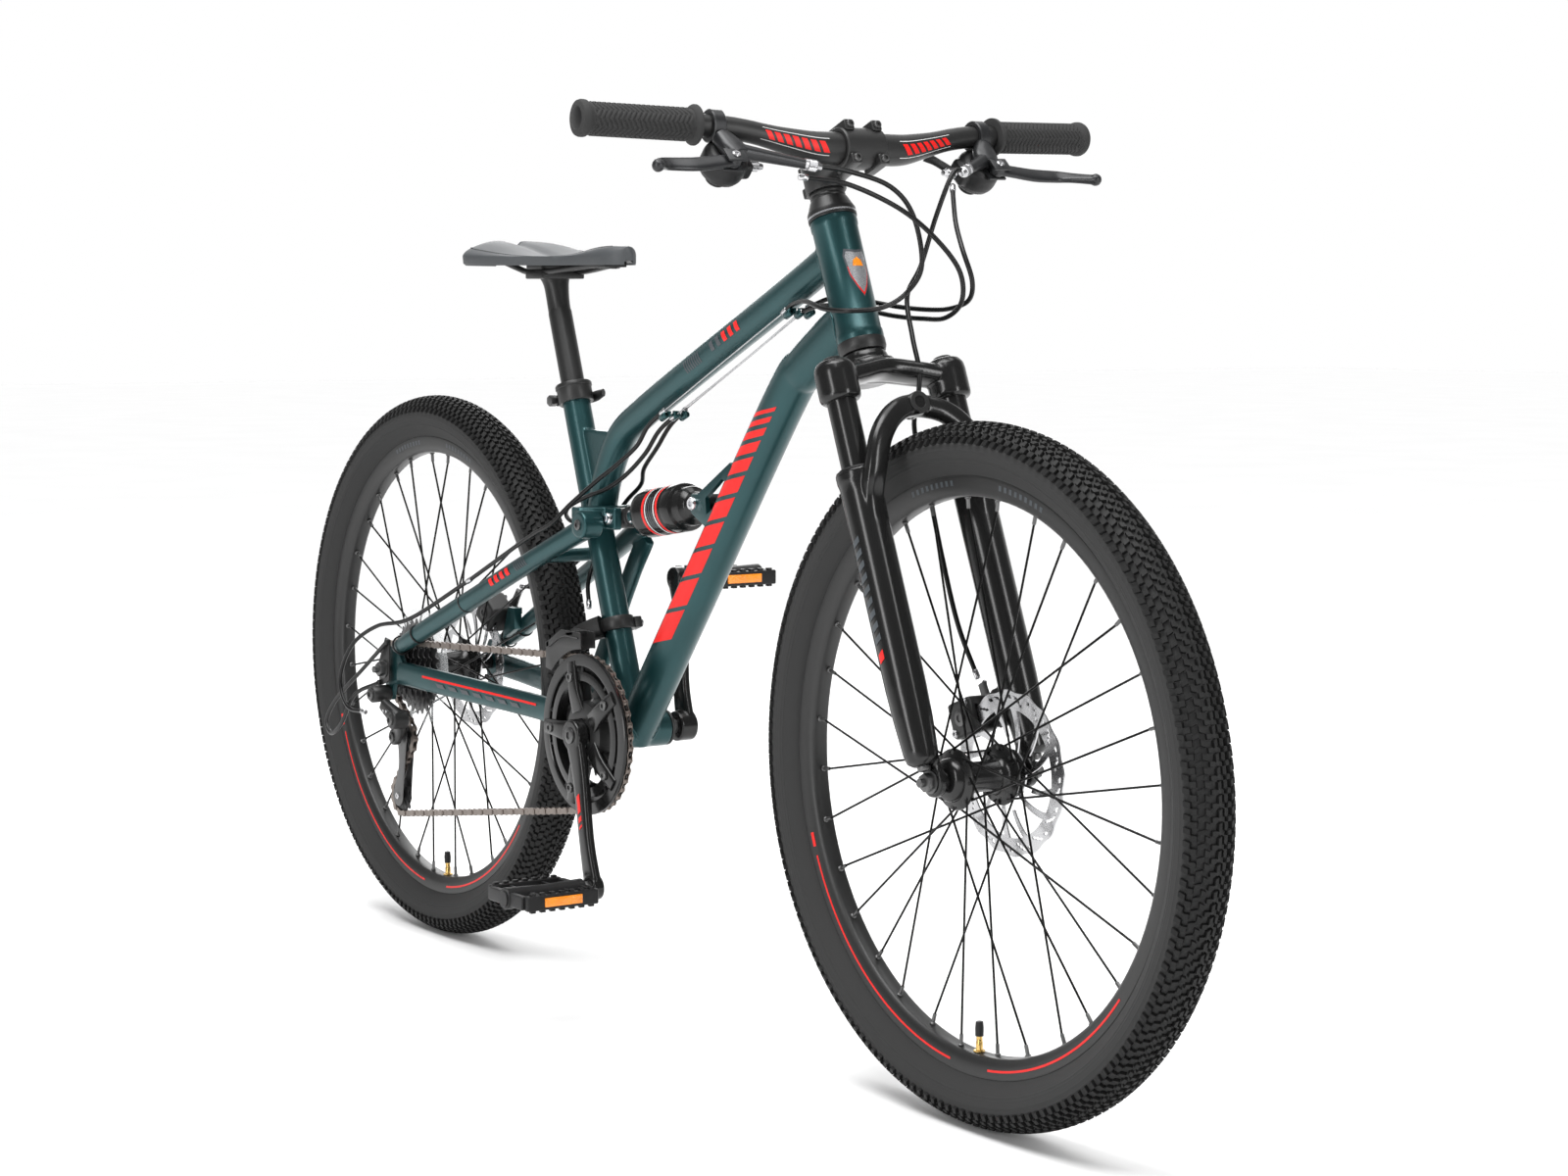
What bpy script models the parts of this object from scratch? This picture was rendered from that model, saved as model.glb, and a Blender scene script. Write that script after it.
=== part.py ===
"""A full-suspension mountain bike, built as separate pieces that could be taken apart on a bench.

Everything is in metres.  X points forward, Y to the rider's left and Z up, and the origin lies on
the ground midway between the axles.  Points in this file are given as (distance ahead of the rear
axle, left, up) and at() moves them to the origin.  Head-tube work uses head(): a distance up the
steering axis, a distance ahead of it, and a distance to the left.
"""

import math

import bmesh
import bpy
from mathutils import Matrix, Vector

# ---------------------------------------------------------------- driving dimensions
WHEELBASE = 1.095
AXLE_Z = 0.3365
TYRE_RADIUS = 0.3365
TYRE_WIDTH = 0.054
RIM_SEAT_RADIUS = 0.2835
RIM_INNER_RADIUS = 0.2655
RIM_WIDTH = 0.027
SPOKE_COUNT = 32
WHEEL_SIDES = 40

HEAD_ANGLE = math.radians(68.27)
HEAD_BASE = (0.8982, 0.7447)
HEAD_LENGTH = 0.130
HEAD_TUBE_R = 0.0230
FORK_OFFSET = 0.0360
FORK_RAKE = 0.0320
AXLE_DROP = 0.4522
LEG_Y = 0.0664
STANCHION_R = 0.0145
LOWER_LEG_R = 0.0200
STEERER_R = 0.0143

BB_X = 0.467
BB_Z = 0.3085
SEAT_ANGLE = math.radians(70.46)
SEAT_TUBE_R = 0.0159
SEATPOST_R = 0.0136
DOWN_TUBE_R = 0.0230
TOP_TUBE_R = 0.0175
BB_SHELL_R = 0.0205
BB_SHELL_HALF = 0.0360

PIVOT = (0.412, 0.322)
SHOCK_REAR = (0.447, 0.5455)
SHOCK_FRONT = (0.619, 0.571)

CRANK_LENGTH = 0.170
CRANK_ANGLE = math.radians(-72.5)
CHAIN_Y = -0.0605
ROTOR_R = 0.080
BAR_HALF = 0.299
GAP = 0.0003

Y = Vector((0, 1, 0))
UP = Vector((0, 0, 1))
STEER_UP = Vector((-math.cos(HEAD_ANGLE), 0, math.sin(HEAD_ANGLE)))
STEER_FORE = Vector((math.sin(HEAD_ANGLE), 0, math.cos(HEAD_ANGLE)))
SEAT_UP = Vector((-math.cos(SEAT_ANGLE), 0, math.sin(SEAT_ANGLE)))

# name: (colour, roughness, metallic)
MATERIALS = {
    "frame_paint": ((0.020, 0.070, 0.080), 0.35, 0.6),
    "gloss_black": ((0.010, 0.010, 0.011), 0.15, 0.2),
    "satin_black": ((0.018, 0.018, 0.019), 0.40, 0.3),
    "black_plastic": ((0.022, 0.022, 0.023), 0.50, 0.0),
    "grip_rubber": ((0.020, 0.020, 0.020), 0.80, 0.0),
    "tyre_rubber": ((0.016, 0.016, 0.016), 0.85, 0.0),
    "saddle_vinyl": ((0.045, 0.047, 0.050), 0.50, 0.0),
    "steel": ((0.55, 0.55, 0.56), 0.25, 1.0),
    "dark_steel": ((0.10, 0.10, 0.10), 0.35, 0.9),
    "chain_steel": ((0.20, 0.17, 0.15), 0.40, 0.9),
    "clear_plastic": ((0.80, 0.82, 0.84), 0.10, 0.0),
    "amber_pedal": ((0.030, 0.030, 0.030), 0.50, 0.0),
}


# ---------------------------------------------------------------- places
def at(x, y, z):
    """A point x ahead of the rear axle, y to the left and z above the ground."""
    return Vector((x - WHEELBASE / 2, y, z))


def head(up, fore=0.0, y=0.0):
    """A point measured up the steering axis from the head tube's lower end."""
    return at(HEAD_BASE[0], y, HEAD_BASE[1]) + STEER_UP * up + STEER_FORE * fore


def seat(up, fore=0.0, y=0.0):
    """A point measured up the seat tube from the bottom bracket's centre."""
    fore_dir = Vector((math.sin(SEAT_ANGLE), 0, math.cos(SEAT_ANGLE)))
    return at(BB_X, y, BB_Z) + SEAT_UP * up + fore_dir * fore


FRONT_AXLE = head(-AXLE_DROP, FORK_RAKE)
REAR_AXLE = at(0, 0, AXLE_Z)
BB = at(BB_X, 0, BB_Z)
CRANK_DIR = Vector((math.cos(CRANK_ANGLE), 0, math.sin(CRANK_ANGLE)))


def side(point, sign):
    """The same point on the left (sign 1) or the right (sign -1)."""
    return Vector((point[0], abs(point[1]) * sign, point[2]))


# ---------------------------------------------------------------- mesh tools
def start_clean():
    for obj in list(bpy.data.objects):
        bpy.data.objects.remove(obj, do_unlink=True)


def material(name):
    """The Principled material of that name, made on first use."""
    found = bpy.data.materials.get(name)
    if found:
        return found
    colour, roughness, metallic = MATERIALS[name]
    made = bpy.data.materials.new(name)
    made.use_nodes = True
    shader = made.node_tree.nodes["Principled BSDF"]
    shader.inputs["Base Color"].default_value = (*colour, 1)
    shader.inputs["Roughness"].default_value = roughness
    shader.inputs["Metallic"].default_value = metallic
    return made


def frame_of(direction, hint=Y):
    """Two unit vectors across a direction, the first as close to the hint as it can be."""
    direction = direction.normalized()
    across = hint - direction * hint.dot(direction)
    if across.length < 1e-4:
        across = UP - direction * UP.dot(direction)
    across.normalize()
    return across, direction.cross(across)


def bridge(bm, rings, closed):
    """Faces between successive rings of vertices; a ring of one vertex is a pole."""
    count = len(rings)
    for i in range(count if closed else count - 1):
        a, b = rings[i], rings[(i + 1) % count]
        steps = max(len(a), len(b))
        for k in range(steps):
            n = (k + 1) % steps
            if len(a) == 1:
                bm.faces.new((a[0], b[n], b[k]))
            elif len(b) == 1:
                bm.faces.new((a[k], a[n], b[0]))
            else:
                bm.faces.new((a[k], a[n], b[n], b[k]))
    if not closed:
        for ring in (rings[0], rings[-1]):
            if len(ring) > 2:
                bm.faces.new(ring)


def lathe(profile, centre, axis=Y, segments=24, closed=False):
    """A turned shape: profile is (radius, distance along the axis)."""
    bm = bmesh.new()
    u, v = frame_of(Vector(axis), UP)
    rings = []
    for radius, along in profile:
        middle = centre + Vector(axis).normalized() * along
        if radius < 1e-6:
            rings.append([bm.verts.new(middle)])
            continue
        angles = [2 * math.pi * k / segments for k in range(segments)]
        rings.append([bm.verts.new(middle + (u * math.cos(a) + v * math.sin(a)) * radius)
                      for a in angles])
    bridge(bm, rings, closed)
    return bm


def rod(a, b, radius, segments=16, end_radius=None):
    """A plain round bar from a to b."""
    end_radius = radius if end_radius is None else end_radius
    return lathe([(radius, 0), (end_radius, (b - a).length)], a, b - a, segments)


def pipe(a, b, outer, inner, segments=20):
    """A round tube with an open bore."""
    length = (b - a).length
    return lathe([(outer, 0), (outer, length), (inner, length), (inner, 0)], a, b - a, segments, True)


def sweep(points, sizes, sides=12, hint=Y, power=2.0):
    """A bar along points; sizes are half widths along the hint and across it."""
    bm = bmesh.new()
    rings = []
    count = len(points)
    for i, point in enumerate(points):
        ahead = points[min(i + 1, count - 1)] - points[max(i - 1, 0)]
        u, v = frame_of(ahead, hint)
        size = sizes[i] if isinstance(sizes, list) else sizes
        wide, tall = size if isinstance(size, tuple) else (size, size)
        ring = []
        for k in range(sides):
            a = 2 * math.pi * (k + 0.5) / sides
            c, s = math.cos(a), math.sin(a)
            grow = (abs(c) ** power + abs(s) ** power) ** (-1 / power)
            ring.append(bm.verts.new(point + u * (c * grow * wide) + v * (s * grow * tall)))
        rings.append(ring)
    bridge(bm, rings, False)
    return bm


def smooth(points, steps):
    """A Catmull-Rom curve through the points, with that many steps between two of them."""
    points = [Vector(p) for p in points]
    ends = [points[0] * 2 - points[1]] + points + [points[-1] * 2 - points[-2]]
    curve = []
    for i in range(1, len(ends) - 2):
        p0, p1, p2, p3 = ends[i - 1:i + 3]
        for k in range(steps):
            t = k / steps
            curve.append(0.5 * (2 * p1 + (p2 - p0) * t + (2 * p0 - 5 * p1 + 4 * p2 - p3) * t * t
                                + (3 * p1 - p0 - 3 * p2 + p3) * t ** 3))
    curve.append(points[-1])
    return curve


def plate(outline, y0, y1):
    """A flat plate: an outline of (x, z) points, between two distances to the left."""
    bm = bmesh.new()
    near = [bm.verts.new(at(x, y0, z)) for x, z in outline]
    far = [bm.verts.new(at(x, y1, z)) for x, z in outline]
    bridge(bm, [near, far], False)
    return bm


def block(centre, size, turn=0.0, axis="Y"):
    """A box of the given size, turned about one axis."""
    bm = bmesh.new()
    bmesh.ops.create_cube(bm, size=1)
    spin = Matrix.Rotation(turn, 4, axis)
    bmesh.ops.transform(bm, verts=bm.verts, matrix=Matrix.Translation(centre) @ spin
                        @ Matrix.Diagonal((*size, 1)))
    return bm


def slotted_disc(radii, centre, thickness, segments, keep):
    """A disc in the XZ plane made of cells; keep(ring, sector) says which cells are solid."""
    bm = bmesh.new()

    def ring_of(y):
        return [[bm.verts.new(centre + Vector((math.cos(a) * r, y, math.sin(a) * r)))
                 for a in (2 * math.pi * k / segments for k in range(segments))] for r in radii]

    low, high = ring_of(-thickness / 2), ring_of(thickness / 2)
    cells = [(i, k) for i in range(len(radii) - 1) for k in range(segments) if keep(i, k)]
    solid_cells = set(cells)
    for i, k in cells:
        n = (k + 1) % segments
        bm.faces.new((low[i][k], low[i][n], low[i + 1][n], low[i + 1][k]))
        bm.faces.new((high[i][k], high[i + 1][k], high[i + 1][n], high[i][n]))
        edges = (((i - 1, k), (i, k), (i, n)), ((i + 1, k), (i + 1, n), (i + 1, k)),
                 ((i, (k - 1) % segments), (i + 1, k), (i, k)), ((i, n), (i, n), (i + 1, n)))
        for neighbour, (ia, ka), (ib, kb) in edges:
            if neighbour not in solid_cells:
                bm.faces.new((low[ia][ka], high[ia][ka], high[ib][kb], low[ib][kb]))
    loose = [v for v in bm.verts if not v.link_faces]
    bmesh.ops.delete(bm, geom=loose, context="VERTS")
    return bm


def place(name, bm, material_name, axis_point=None, sharp=35):
    """Turns a bmesh into the named object, with its origin on its joint's axis if one is given."""
    bmesh.ops.recalc_face_normals(bm, faces=bm.faces)
    if bm.calc_volume(signed=True) < 0:
        bmesh.ops.reverse_faces(bm, faces=bm.faces)
    if axis_point is not None:
        bmesh.ops.translate(bm, verts=bm.verts, vec=-axis_point)
    mesh = bpy.data.meshes.new(name)
    bm.to_mesh(mesh)
    bm.free()
    mesh.shade_smooth()
    mesh.set_sharp_from_angle(angle=math.radians(sharp))
    mesh.materials.append(material(material_name))
    obj = bpy.data.objects.new(name, mesh)
    bpy.context.scene.collection.objects.link(obj)
    if axis_point is not None:
        obj.location = axis_point
    return obj


def combine(name, material_name, shapes, cuts=(), axis_point=None):
    """One closed body: the shapes joined and the cuts taken out of them."""
    base = place(name + "_base", shapes[0], material_name)
    helpers = []
    for operation, group in (("UNION", shapes[1:]), ("DIFFERENCE", cuts)):
        for shape in group:
            helper = place(name + "_helper", shape, material_name)
            helpers.append(helper)
            modifier = base.modifiers.new("join", "BOOLEAN")
            modifier.operation = operation
            modifier.solver = "EXACT"
            modifier.object = helper
    bpy.context.view_layer.update()
    evaluated = base.evaluated_get(bpy.context.evaluated_depsgraph_get())
    bm = bmesh.new()
    bm.from_mesh(evaluated.to_mesh())
    evaluated.to_mesh_clear()
    for obj in [base, *helpers]:
        bpy.data.objects.remove(obj, do_unlink=True)
    bmesh.ops.remove_doubles(bm, verts=bm.verts, dist=2e-6)
    bmesh.ops.dissolve_degenerate(bm, edges=bm.edges, dist=2e-6)
    return place(name, bm, material_name, axis_point)


# ---------------------------------------------------------------- main frame
def main_frame():
    """Head tube, top, down and seat tubes, shell, gusset, shock ears and pivot lugs."""
    down = smooth([at(0.462, 0, 0.304), at(0.60, 0, 0.4775), at(0.765, 0, 0.685),
                   at(0.808, 0, 0.722), at(0.889, 0, 0.772)], 2)
    top = smooth([at(0.866, 0, 0.8370), at(0.7637, 0, 0.7895), at(0.60, 0, 0.7165),
                  at(0.4931, 0, 0.6675), at(0.440, 0, 0.637), at(0.4085, 0, 0.592),
                  at(0.3925, 0, 0.548), at(0.386, 0, 0.530)], 2)
    gusset = [(0.340, 0.643), (0.428, 0.641), (0.405, 0.560), (0.385, 0.540), (0.372, 0.560)]
    ear = [(0.6077, 0.5690), (0.6147, 0.5600), (0.640, 0.548), (0.670, 0.560),
           (0.704, 0.604), (0.690, 0.618), (0.627, 0.582), (0.6147, 0.5815)]
    lug = [(0.398, 0.320), (0.404, 0.309), (0.418, 0.307), (0.455, 0.300),
           (0.460, 0.345), (0.430, 0.337), (0.404, 0.334)]
    shapes = [
        rod(head(0), head(HEAD_LENGTH), HEAD_TUBE_R, 16),
        sweep(down, [(0.0215, DOWN_TUBE_R + 0.001)] * 7 + [(0.0215, 0.0225)] * 2, 10),
        sweep(top, (0.0165, TOP_TUBE_R), 10),
        rod(seat(0), seat(0.403), SEAT_TUBE_R, 12),
        rod(BB - Y * BB_SHELL_HALF, BB + Y * BB_SHELL_HALF, BB_SHELL_R, 16),
        plate(gusset, -0.005, 0.005),
    ]
    for s in (1, -1):
        shapes.append(plate(ear, s * 0.0140, s * 0.0195))
        shapes.append(plate(lug, s * 0.0215, s * 0.0275))
        shapes.append(block(at(0.453, s * 0.018, 0.322), (0.012, 0.014, 0.040)))
    pivot = at(PIVOT[0], 0, PIVOT[1])
    shock = at(SHOCK_FRONT[0], 0, SHOCK_FRONT[1])
    cuts = [
        rod(head(-0.01), head(HEAD_LENGTH + 0.01), 0.0170, 12),
        rod(seat(0.165), seat(0.42), SEATPOST_R + 0.0005, 12),
        rod(BB - Y * 0.05, BB + Y * 0.05, 0.0179, 16),
        rod(pivot - Y * 0.04, pivot + Y * 0.04, 0.0066, 8),
        rod(shock - Y * 0.03, shock + Y * 0.03, 0.0046, 8),
    ]
    combine("main_frame", "frame_paint", shapes, cuts)


def headset():
    """The two cups that the steerer turns in."""
    upper = [(0.0245, HEAD_LENGTH + GAP), (0.0245, 0.140), (0.0190, 0.1515), (0.0150, 0.1515),
             (0.0150, HEAD_LENGTH + GAP)]
    lower = [(0.0240, -GAP), (0.0240, -0.0090), (0.0225, -0.0125), (0.0150, -0.0125), (0.0150, -GAP)]
    place("headset_upper_cup", lathe(upper, head(0), STEER_UP, 16, True), "satin_black")
    place("headset_lower_cup", lathe(lower, head(0), STEER_UP, 16, True), "satin_black")


def bottom_bracket():
    """The bearing cartridge inside the shell; its left cup's flange shows."""
    profile = [(0.0174, -0.0345), (0.0174, 0.0363), (0.0200, 0.0363), (0.0200, 0.0395),
               (0.0092, 0.0395), (0.0092, -0.0345)]
    place("bottom_bracket", lathe(profile, BB, Y, 16, True), "satin_black")


def seat_clamp():
    """The collar that grips the seatpost, its skewer bosses, and its lever."""
    collar = pipe(seat(0.385), seat(0.4075), 0.0200, SEAT_TUBE_R + GAP, 12)
    boss = seat(0.396, -0.0245)
    ears = rod(boss - Y * 0.011, boss + Y * 0.011, 0.0065, 8)
    neck = block(seat(0.396, -0.0205), (0.009, 0.016, 0.012), math.radians(19.5))
    skewer = rod(boss - Y * 0.020, boss + Y * 0.013, 0.0028, 8)
    nut = rod(boss - Y * 0.0215, boss - Y * 0.0125, 0.0062, 8)
    combine("seat_clamp", "satin_black", [collar, ears, neck, skewer, nut],
            [rod(seat(0.38), seat(0.42), SEAT_TUBE_R + GAP, 12)])
    cam = seat(0.396, -0.0245, 0.0190)
    path = smooth([cam - STEER_FORE * 0.004, cam + Vector((0.012, 0.004, 0.002)),
                   cam + Vector((0.032, 0.005, 0.006)), cam + Vector((0.052, 0.002, 0.010))], 2)
    sizes = [(0.0052, 0.0062)] * 3 + [(0.0030, 0.0062)] * (len(path) - 4) + [(0.0022, 0.0045)]
    place("seat_clamp_lever", sweep(path, sizes, 8), "satin_black", cam)


def pins():
    """The bolts of the main pivot and of the shock's two eyes."""
    spots = (("main_pivot_bolt", PIVOT, 0.0060, 0.0278, 0.0095, 0.0045),
             ("shock_front_bolt", SHOCK_FRONT, 0.0040, 0.0198, 0.0070, 0.0045),
             ("shock_rear_bolt", SHOCK_REAR, 0.0040, 0.0223, 0.0070, 0.0045))
    for name, (x, z), shank, reach, cap, thick in spots:
        profile = [(0, -reach - thick), (cap * 0.8, -reach - thick), (cap, -reach - thick * 0.6),
                   (cap, -reach), (shank, -reach), (shank, reach), (cap, reach),
                   (cap, reach + thick * 0.6), (cap * 0.8, reach + thick), (0, reach + thick)]
        place(name, lathe(profile, at(x, 0, z), Y, 8), "steel")


# ---------------------------------------------------------------- seat
def rail_path():
    """The saddle's one bent rail, from its left end round the nose to its right end."""
    half = [at(0.232, 0.036, 0.8340), at(0.250, 0.0250, 0.8255), at(0.268, 0.0220, 0.8215),
            at(0.312, 0.0220, 0.8215), at(0.345, 0.0200, 0.8235), at(0.395, 0.0135, 0.8275),
            at(0.418, 0.0085, 0.8270)]
    nose = [at(0.4245, 0, 0.8265)]
    return smooth(half + nose + [side(p, -1) for p in reversed(half)], 2)


def seatpost():
    """The post with its clamp head round the rails."""
    post = rod(seat(0.235), seat(0.497), SEATPOST_R, 12)
    middle = at(0.290, 0, 0.8225)
    cradle = block(middle, (0.038, 0.056, 0.018))
    neck = rod(seat(0.490), middle, 0.0125, 12)
    ears = [rod(middle + Vector((d, 0, -0.016)), middle + Vector((d, 0, 0.012)), 0.0038, 8)
            for d in (-0.012, 0.012)]
    combine("seatpost", "satin_black", [post, neck, cradle, *ears],
            [sweep(rail_path(), 0.0041, 6)])


def saddle_rails():
    place("saddle_rails", sweep(rail_path(), 0.0035, 6), "satin_black")


def saddle_section(x):
    """Half width, top height and edge height of the saddle, x ahead of the rear axle."""
    t = (x - 0.187) / (0.455 - 0.187)
    wide = 0.0225 + 0.059 * (0.5 + 0.5 * math.cos(math.pi * min(1, max(0, (t - 0.13) / 0.60))))
    ends = math.sqrt(max(0.02, 1 - max(0, (0.13 - t) / 0.135) ** 2))
    nose = math.sqrt(max(0.05, 1 - max(0, (t - 0.86) / 0.145) ** 2))
    top = 0.8575 - 0.016 * math.sin(math.pi * min(1, t * 1.05)) ** 2 - 0.010 * t
    return wide * ends * nose, top, 0.8395 - 0.002 * t


def saddle():
    """The padded saddle as one plain closed form."""
    bm = bmesh.new()
    rings = []
    count = 14
    for i in range(count + 1):
        x = 0.187 + (0.455 - 0.187) * (0.5 - 0.5 * math.cos(math.pi * i / count))
        wide, top, edge = saddle_section(x)
        ring = []
        for k in range(9):
            a = math.pi * k / 8
            y = wide * math.cos(a)
            rise = (top - edge) * math.sin(a) ** 0.6
            ring.append(bm.verts.new(at(x, y, edge + rise)))
        for share in (-0.72, 0.0, 0.72):
            ring.append(bm.verts.new(at(x, share * wide, edge - 0.004 + 0.006 * (1 - abs(share)))))
        rings.append(ring)
    bridge(bm, rings, False)
    place("saddle", bm, "saddle_vinyl")


# ---------------------------------------------------------------- fork and cockpit
def fork_crown():
    """Steerer, crown and both stanchions, pressed together into one piece."""
    race = lathe([(0, -0.0130), (0.0215, -0.0130), (0.0235, -0.0190), (0.0235, -0.0260), (0, -0.0260)],
                 head(0), STEER_UP, 16)
    steerer = rod(head(-0.038), head(0.196), STEERER_R, 12)
    arch = smooth([head(-0.052, 0.036, -LEG_Y), head(-0.044, 0.024, -0.042), head(-0.034, 0.008, -0.018),
                   head(-0.032, 0.002, 0), head(-0.034, 0.008, 0.018), head(-0.044, 0.024, 0.042),
                   head(-0.052, 0.036, LEG_Y)], 2)
    shapes = [steerer, race, sweep(arch, (0.0105, 0.0135), 8, STEER_UP)]
    for s in (1, -1):
        ear = lathe([(0.0, -0.032), (0.012, -0.033), (0.0185, -0.037), (0.0205, -0.044),
                     (0.0205, -0.072), (0.0170, -0.076), (0, -0.076)],
                    head(0, FORK_OFFSET, s * LEG_Y), STEER_UP, 12)
        shapes.append(ear)
        shapes.append(rod(head(-0.060, FORK_OFFSET, s * LEG_Y), head(-0.300, FORK_OFFSET, s * LEG_Y),
                          STANCHION_R, 12))
    combine("fork_crown", "gloss_black", shapes)


LOWERS_TOP = -0.1433
LEG_END = -0.432


def fork_lowers():
    """Both lower legs, the arch over the tyre, the dropouts and the brake's mount."""
    shapes, cuts = [], []
    for s in (1, -1):
        profile = [(0.0172, LOWERS_TOP), (0.0215, LOWERS_TOP - 0.002), (0.0215, LOWERS_TOP - 0.013),
                   (0.0200, LOWERS_TOP - 0.015), (0.0200, -0.36), (0.0165, LEG_END), (0.0, LEG_END - 0.006)]
        shapes.append(lathe([(0.0, LOWERS_TOP), *profile], head(0, FORK_OFFSET, s * LEG_Y), STEER_UP, 12))
        low = head(-AXLE_DROP, FORK_RAKE, s * 0.0549)
        shapes.append(rod(low - Y * 0.0045, low + Y * 0.0045, 0.0150, 12))
        tab = smooth([head(-0.412, FORK_OFFSET, s * 0.0600), head(-0.435, 0.034, s * 0.0560),
                      head(-AXLE_DROP, FORK_RAKE, s * 0.0549)], 1)
        shapes.append(sweep(tab, (0.0045, 0.0135), 8))
        cuts.append(rod(head(LOWERS_TOP + 0.02, FORK_OFFSET, s * LEG_Y),
                        head(-0.372, FORK_OFFSET, s * LEG_Y), STANCHION_R + 0.0006, 12))
    half = [head(-0.178, 0.046, LEG_Y), head(-0.152, 0.062, 0.0640), head(-0.120, 0.0670, 0.0520),
            head(-0.098, 0.0660, 0.0300)]
    arch = half + [head(-0.089, 0.0600, 0)] + [side(p, -1) for p in reversed(half)]
    shapes.append(sweep(smooth(arch, 1), (0.0085, 0.0090), 8, STEER_FORE))
    shapes.append(rod(head(-0.0885, 0.0485), head(-0.0885, 0.0700), 0.0110, 8))
    post = [head(-0.384, 0.026, 0.0530), head(-0.384, 0.0104, 0.0530)]
    shapes.append(sweep(post, (0.0050, 0.0200), 8))
    axle = FRONT_AXLE
    cuts.append(rod(axle - Y * 0.07, axle + Y * 0.07, 0.0050, 8))
    combine("fork_lowers", "gloss_black", shapes, cuts)


BAR_CLAMP = head(0.1792, 0.0631)


def bar_path():
    """The bar's centre line, from the right end to the left end."""
    half = [at(0.8905, 0.0, 0.9345), at(0.8905, 0.030, 0.9345), at(0.8895, 0.055, 0.9352),
            at(0.8860, 0.085, 0.9405), at(0.8805, 0.125, 0.9485), at(0.8765, 0.160, 0.9520)]
    tip = at(0.8670, BAR_HALF, 0.9550)
    half.append(half[-1].lerp(tip, 0.5))
    half.append(tip)
    return [side(p, -1) for p in reversed(half)] + half[1:]


def bar_radius(y):
    """The bar is thick in the clamp and thin under the grips."""
    share = min(1, max(0, (abs(y) - 0.040) / 0.075))
    return 0.0159 + (0.0111 - 0.0159) * share


def stem():
    """The stem round the steerer and the bar, with its faceplate's corners."""
    steer_clamp = rod(head(0.1520), head(0.2005), 0.0205, 12)
    spacer = head(0.176)
    body = sweep([spacer, head(0.1785, 0.020), head(0.1790, 0.044), head(0.1792, 0.0631)],
                 [(0.0190, 0.0180), (0.0165, 0.0150), (0.0190, 0.0150), (0.0230, 0.0170)], 8)
    bar_clamp = rod(BAR_CLAMP - Y * 0.0245, BAR_CLAMP + Y * 0.0245, 0.0215, 12)
    corners = [block(BAR_CLAMP + STEER_UP * (0.0175 * v) + Y * (0.0165 * s) + STEER_FORE * 0.004,
                     (0.030, 0.011, 0.011), -math.pi / 2 + HEAD_ANGLE) for v in (1, -1) for s in (1, -1)]
    cuts = [rod(head(0.150), head(0.1965), STEERER_R + GAP, 12),
            rod(BAR_CLAMP - Y * 0.05, BAR_CLAMP + Y * 0.05, 0.0159 + 2 * GAP, 14)]
    combine("stem", "satin_black", [steer_clamp, body, bar_clamp, *corners], cuts)


def handlebar():
    path = bar_path()
    sizes = [bar_radius(p.y) for p in path]
    place("handlebar", sweep(path, sizes, 12, UP), "satin_black")


def grip_line(s):
    """Where a grip starts and ends on the bar, and the direction outwards."""
    inner = side(at(0.8765, 0.160, 0.9520), s)
    tip = side(at(0.8670, BAR_HALF, 0.9550), s)
    return inner, (tip - inner).normalized()


def grips():
    for s, name in ((-1, "grip_right"), (1, "grip_left")):
        start, out = grip_line(s)
        profile = [(0.0115, 0.0185), (0.0195, 0.0185), (0.0195, 0.0225), (0.0160, 0.0255),
                   (0.0155, 0.1340), (0.0175, 0.1370), (0.0175, 0.1425), (0.0150, 0.1450), (0, 0.1450),
                   (0, 0.1405), (0.0115, 0.1405)]
        bm = lathe(profile[:9], start, out, 12)
        bore = rod(start + out * 0.010, start + out * 0.1402, 0.0111 + 2 * GAP, 12)
        combine(name, "grip_rubber", [bm], [bore])


def lever_frame(s):
    """A lever unit's clamp centre on the bar and its forward-and-down direction."""
    start, out = grip_line(s)
    return start - out * 0.001, out, Vector((0.72, 0, -0.69)).normalized()


ARM_END = {"right": 0.080, "left": 0.112}


def controls():
    """The brake and shift units: clamp, lever perch, shifter pod and cable barrels."""
    for s, name in ((-1, "right"), (1, "left")):
        centre, out, fore = lever_frame(s)
        up = Vector((0.69, 0, 0.72))
        clamp = pipe(centre - out * 0.0065, centre + out * 0.0065, 0.0165, 0.0125, 12)
        perch = sweep([centre + fore * 0.0135, centre + fore * 0.030 - out * 0.006,
                       centre + fore * 0.046 - out * 0.010],
                      [(0.0085, 0.0085), (0.0140, 0.0085), (0.0120, 0.0080)], 8)
        tip = side(at(0.9225, ARM_END[name], 0.9155), s)
        root = centre + fore * 0.034 - out * 0.008
        arm = sweep([root, root.lerp(tip, 0.6), tip], [0.0080, 0.0060, 0.0045], 8, UP)
        pod_at = centre + fore * 0.030 - up * 0.020 - out * 0.006
        pod = lathe([(0.0, -0.016), (0.0190, -0.014), (0.0230, -0.006), (0.0230, 0.008),
                     (0.0170, 0.014), (0, 0.014)], pod_at, up, 12)
        barrel = rod(pod_at - out * 0.018 - up * 0.002, pod_at - out * 0.040 - up * 0.002, 0.0045, 8)
        slot_at = centre + fore * 0.0520
        slot = block(slot_at + out * 0.001, (0.034, 0.034, 0.0096), 0)
        bmesh.ops.rotate(slot, verts=slot.verts, cent=slot_at,
                         matrix=Matrix.Rotation(math.atan2(0.69, 0.72), 3, "Y"))
        bar = rod(centre - out * 0.02, centre + out * 0.02, 0.0125, 12)
        combine("control_" + name, "black_plastic", [perch, clamp, arm, pod, barrel], [slot, bar])


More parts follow.
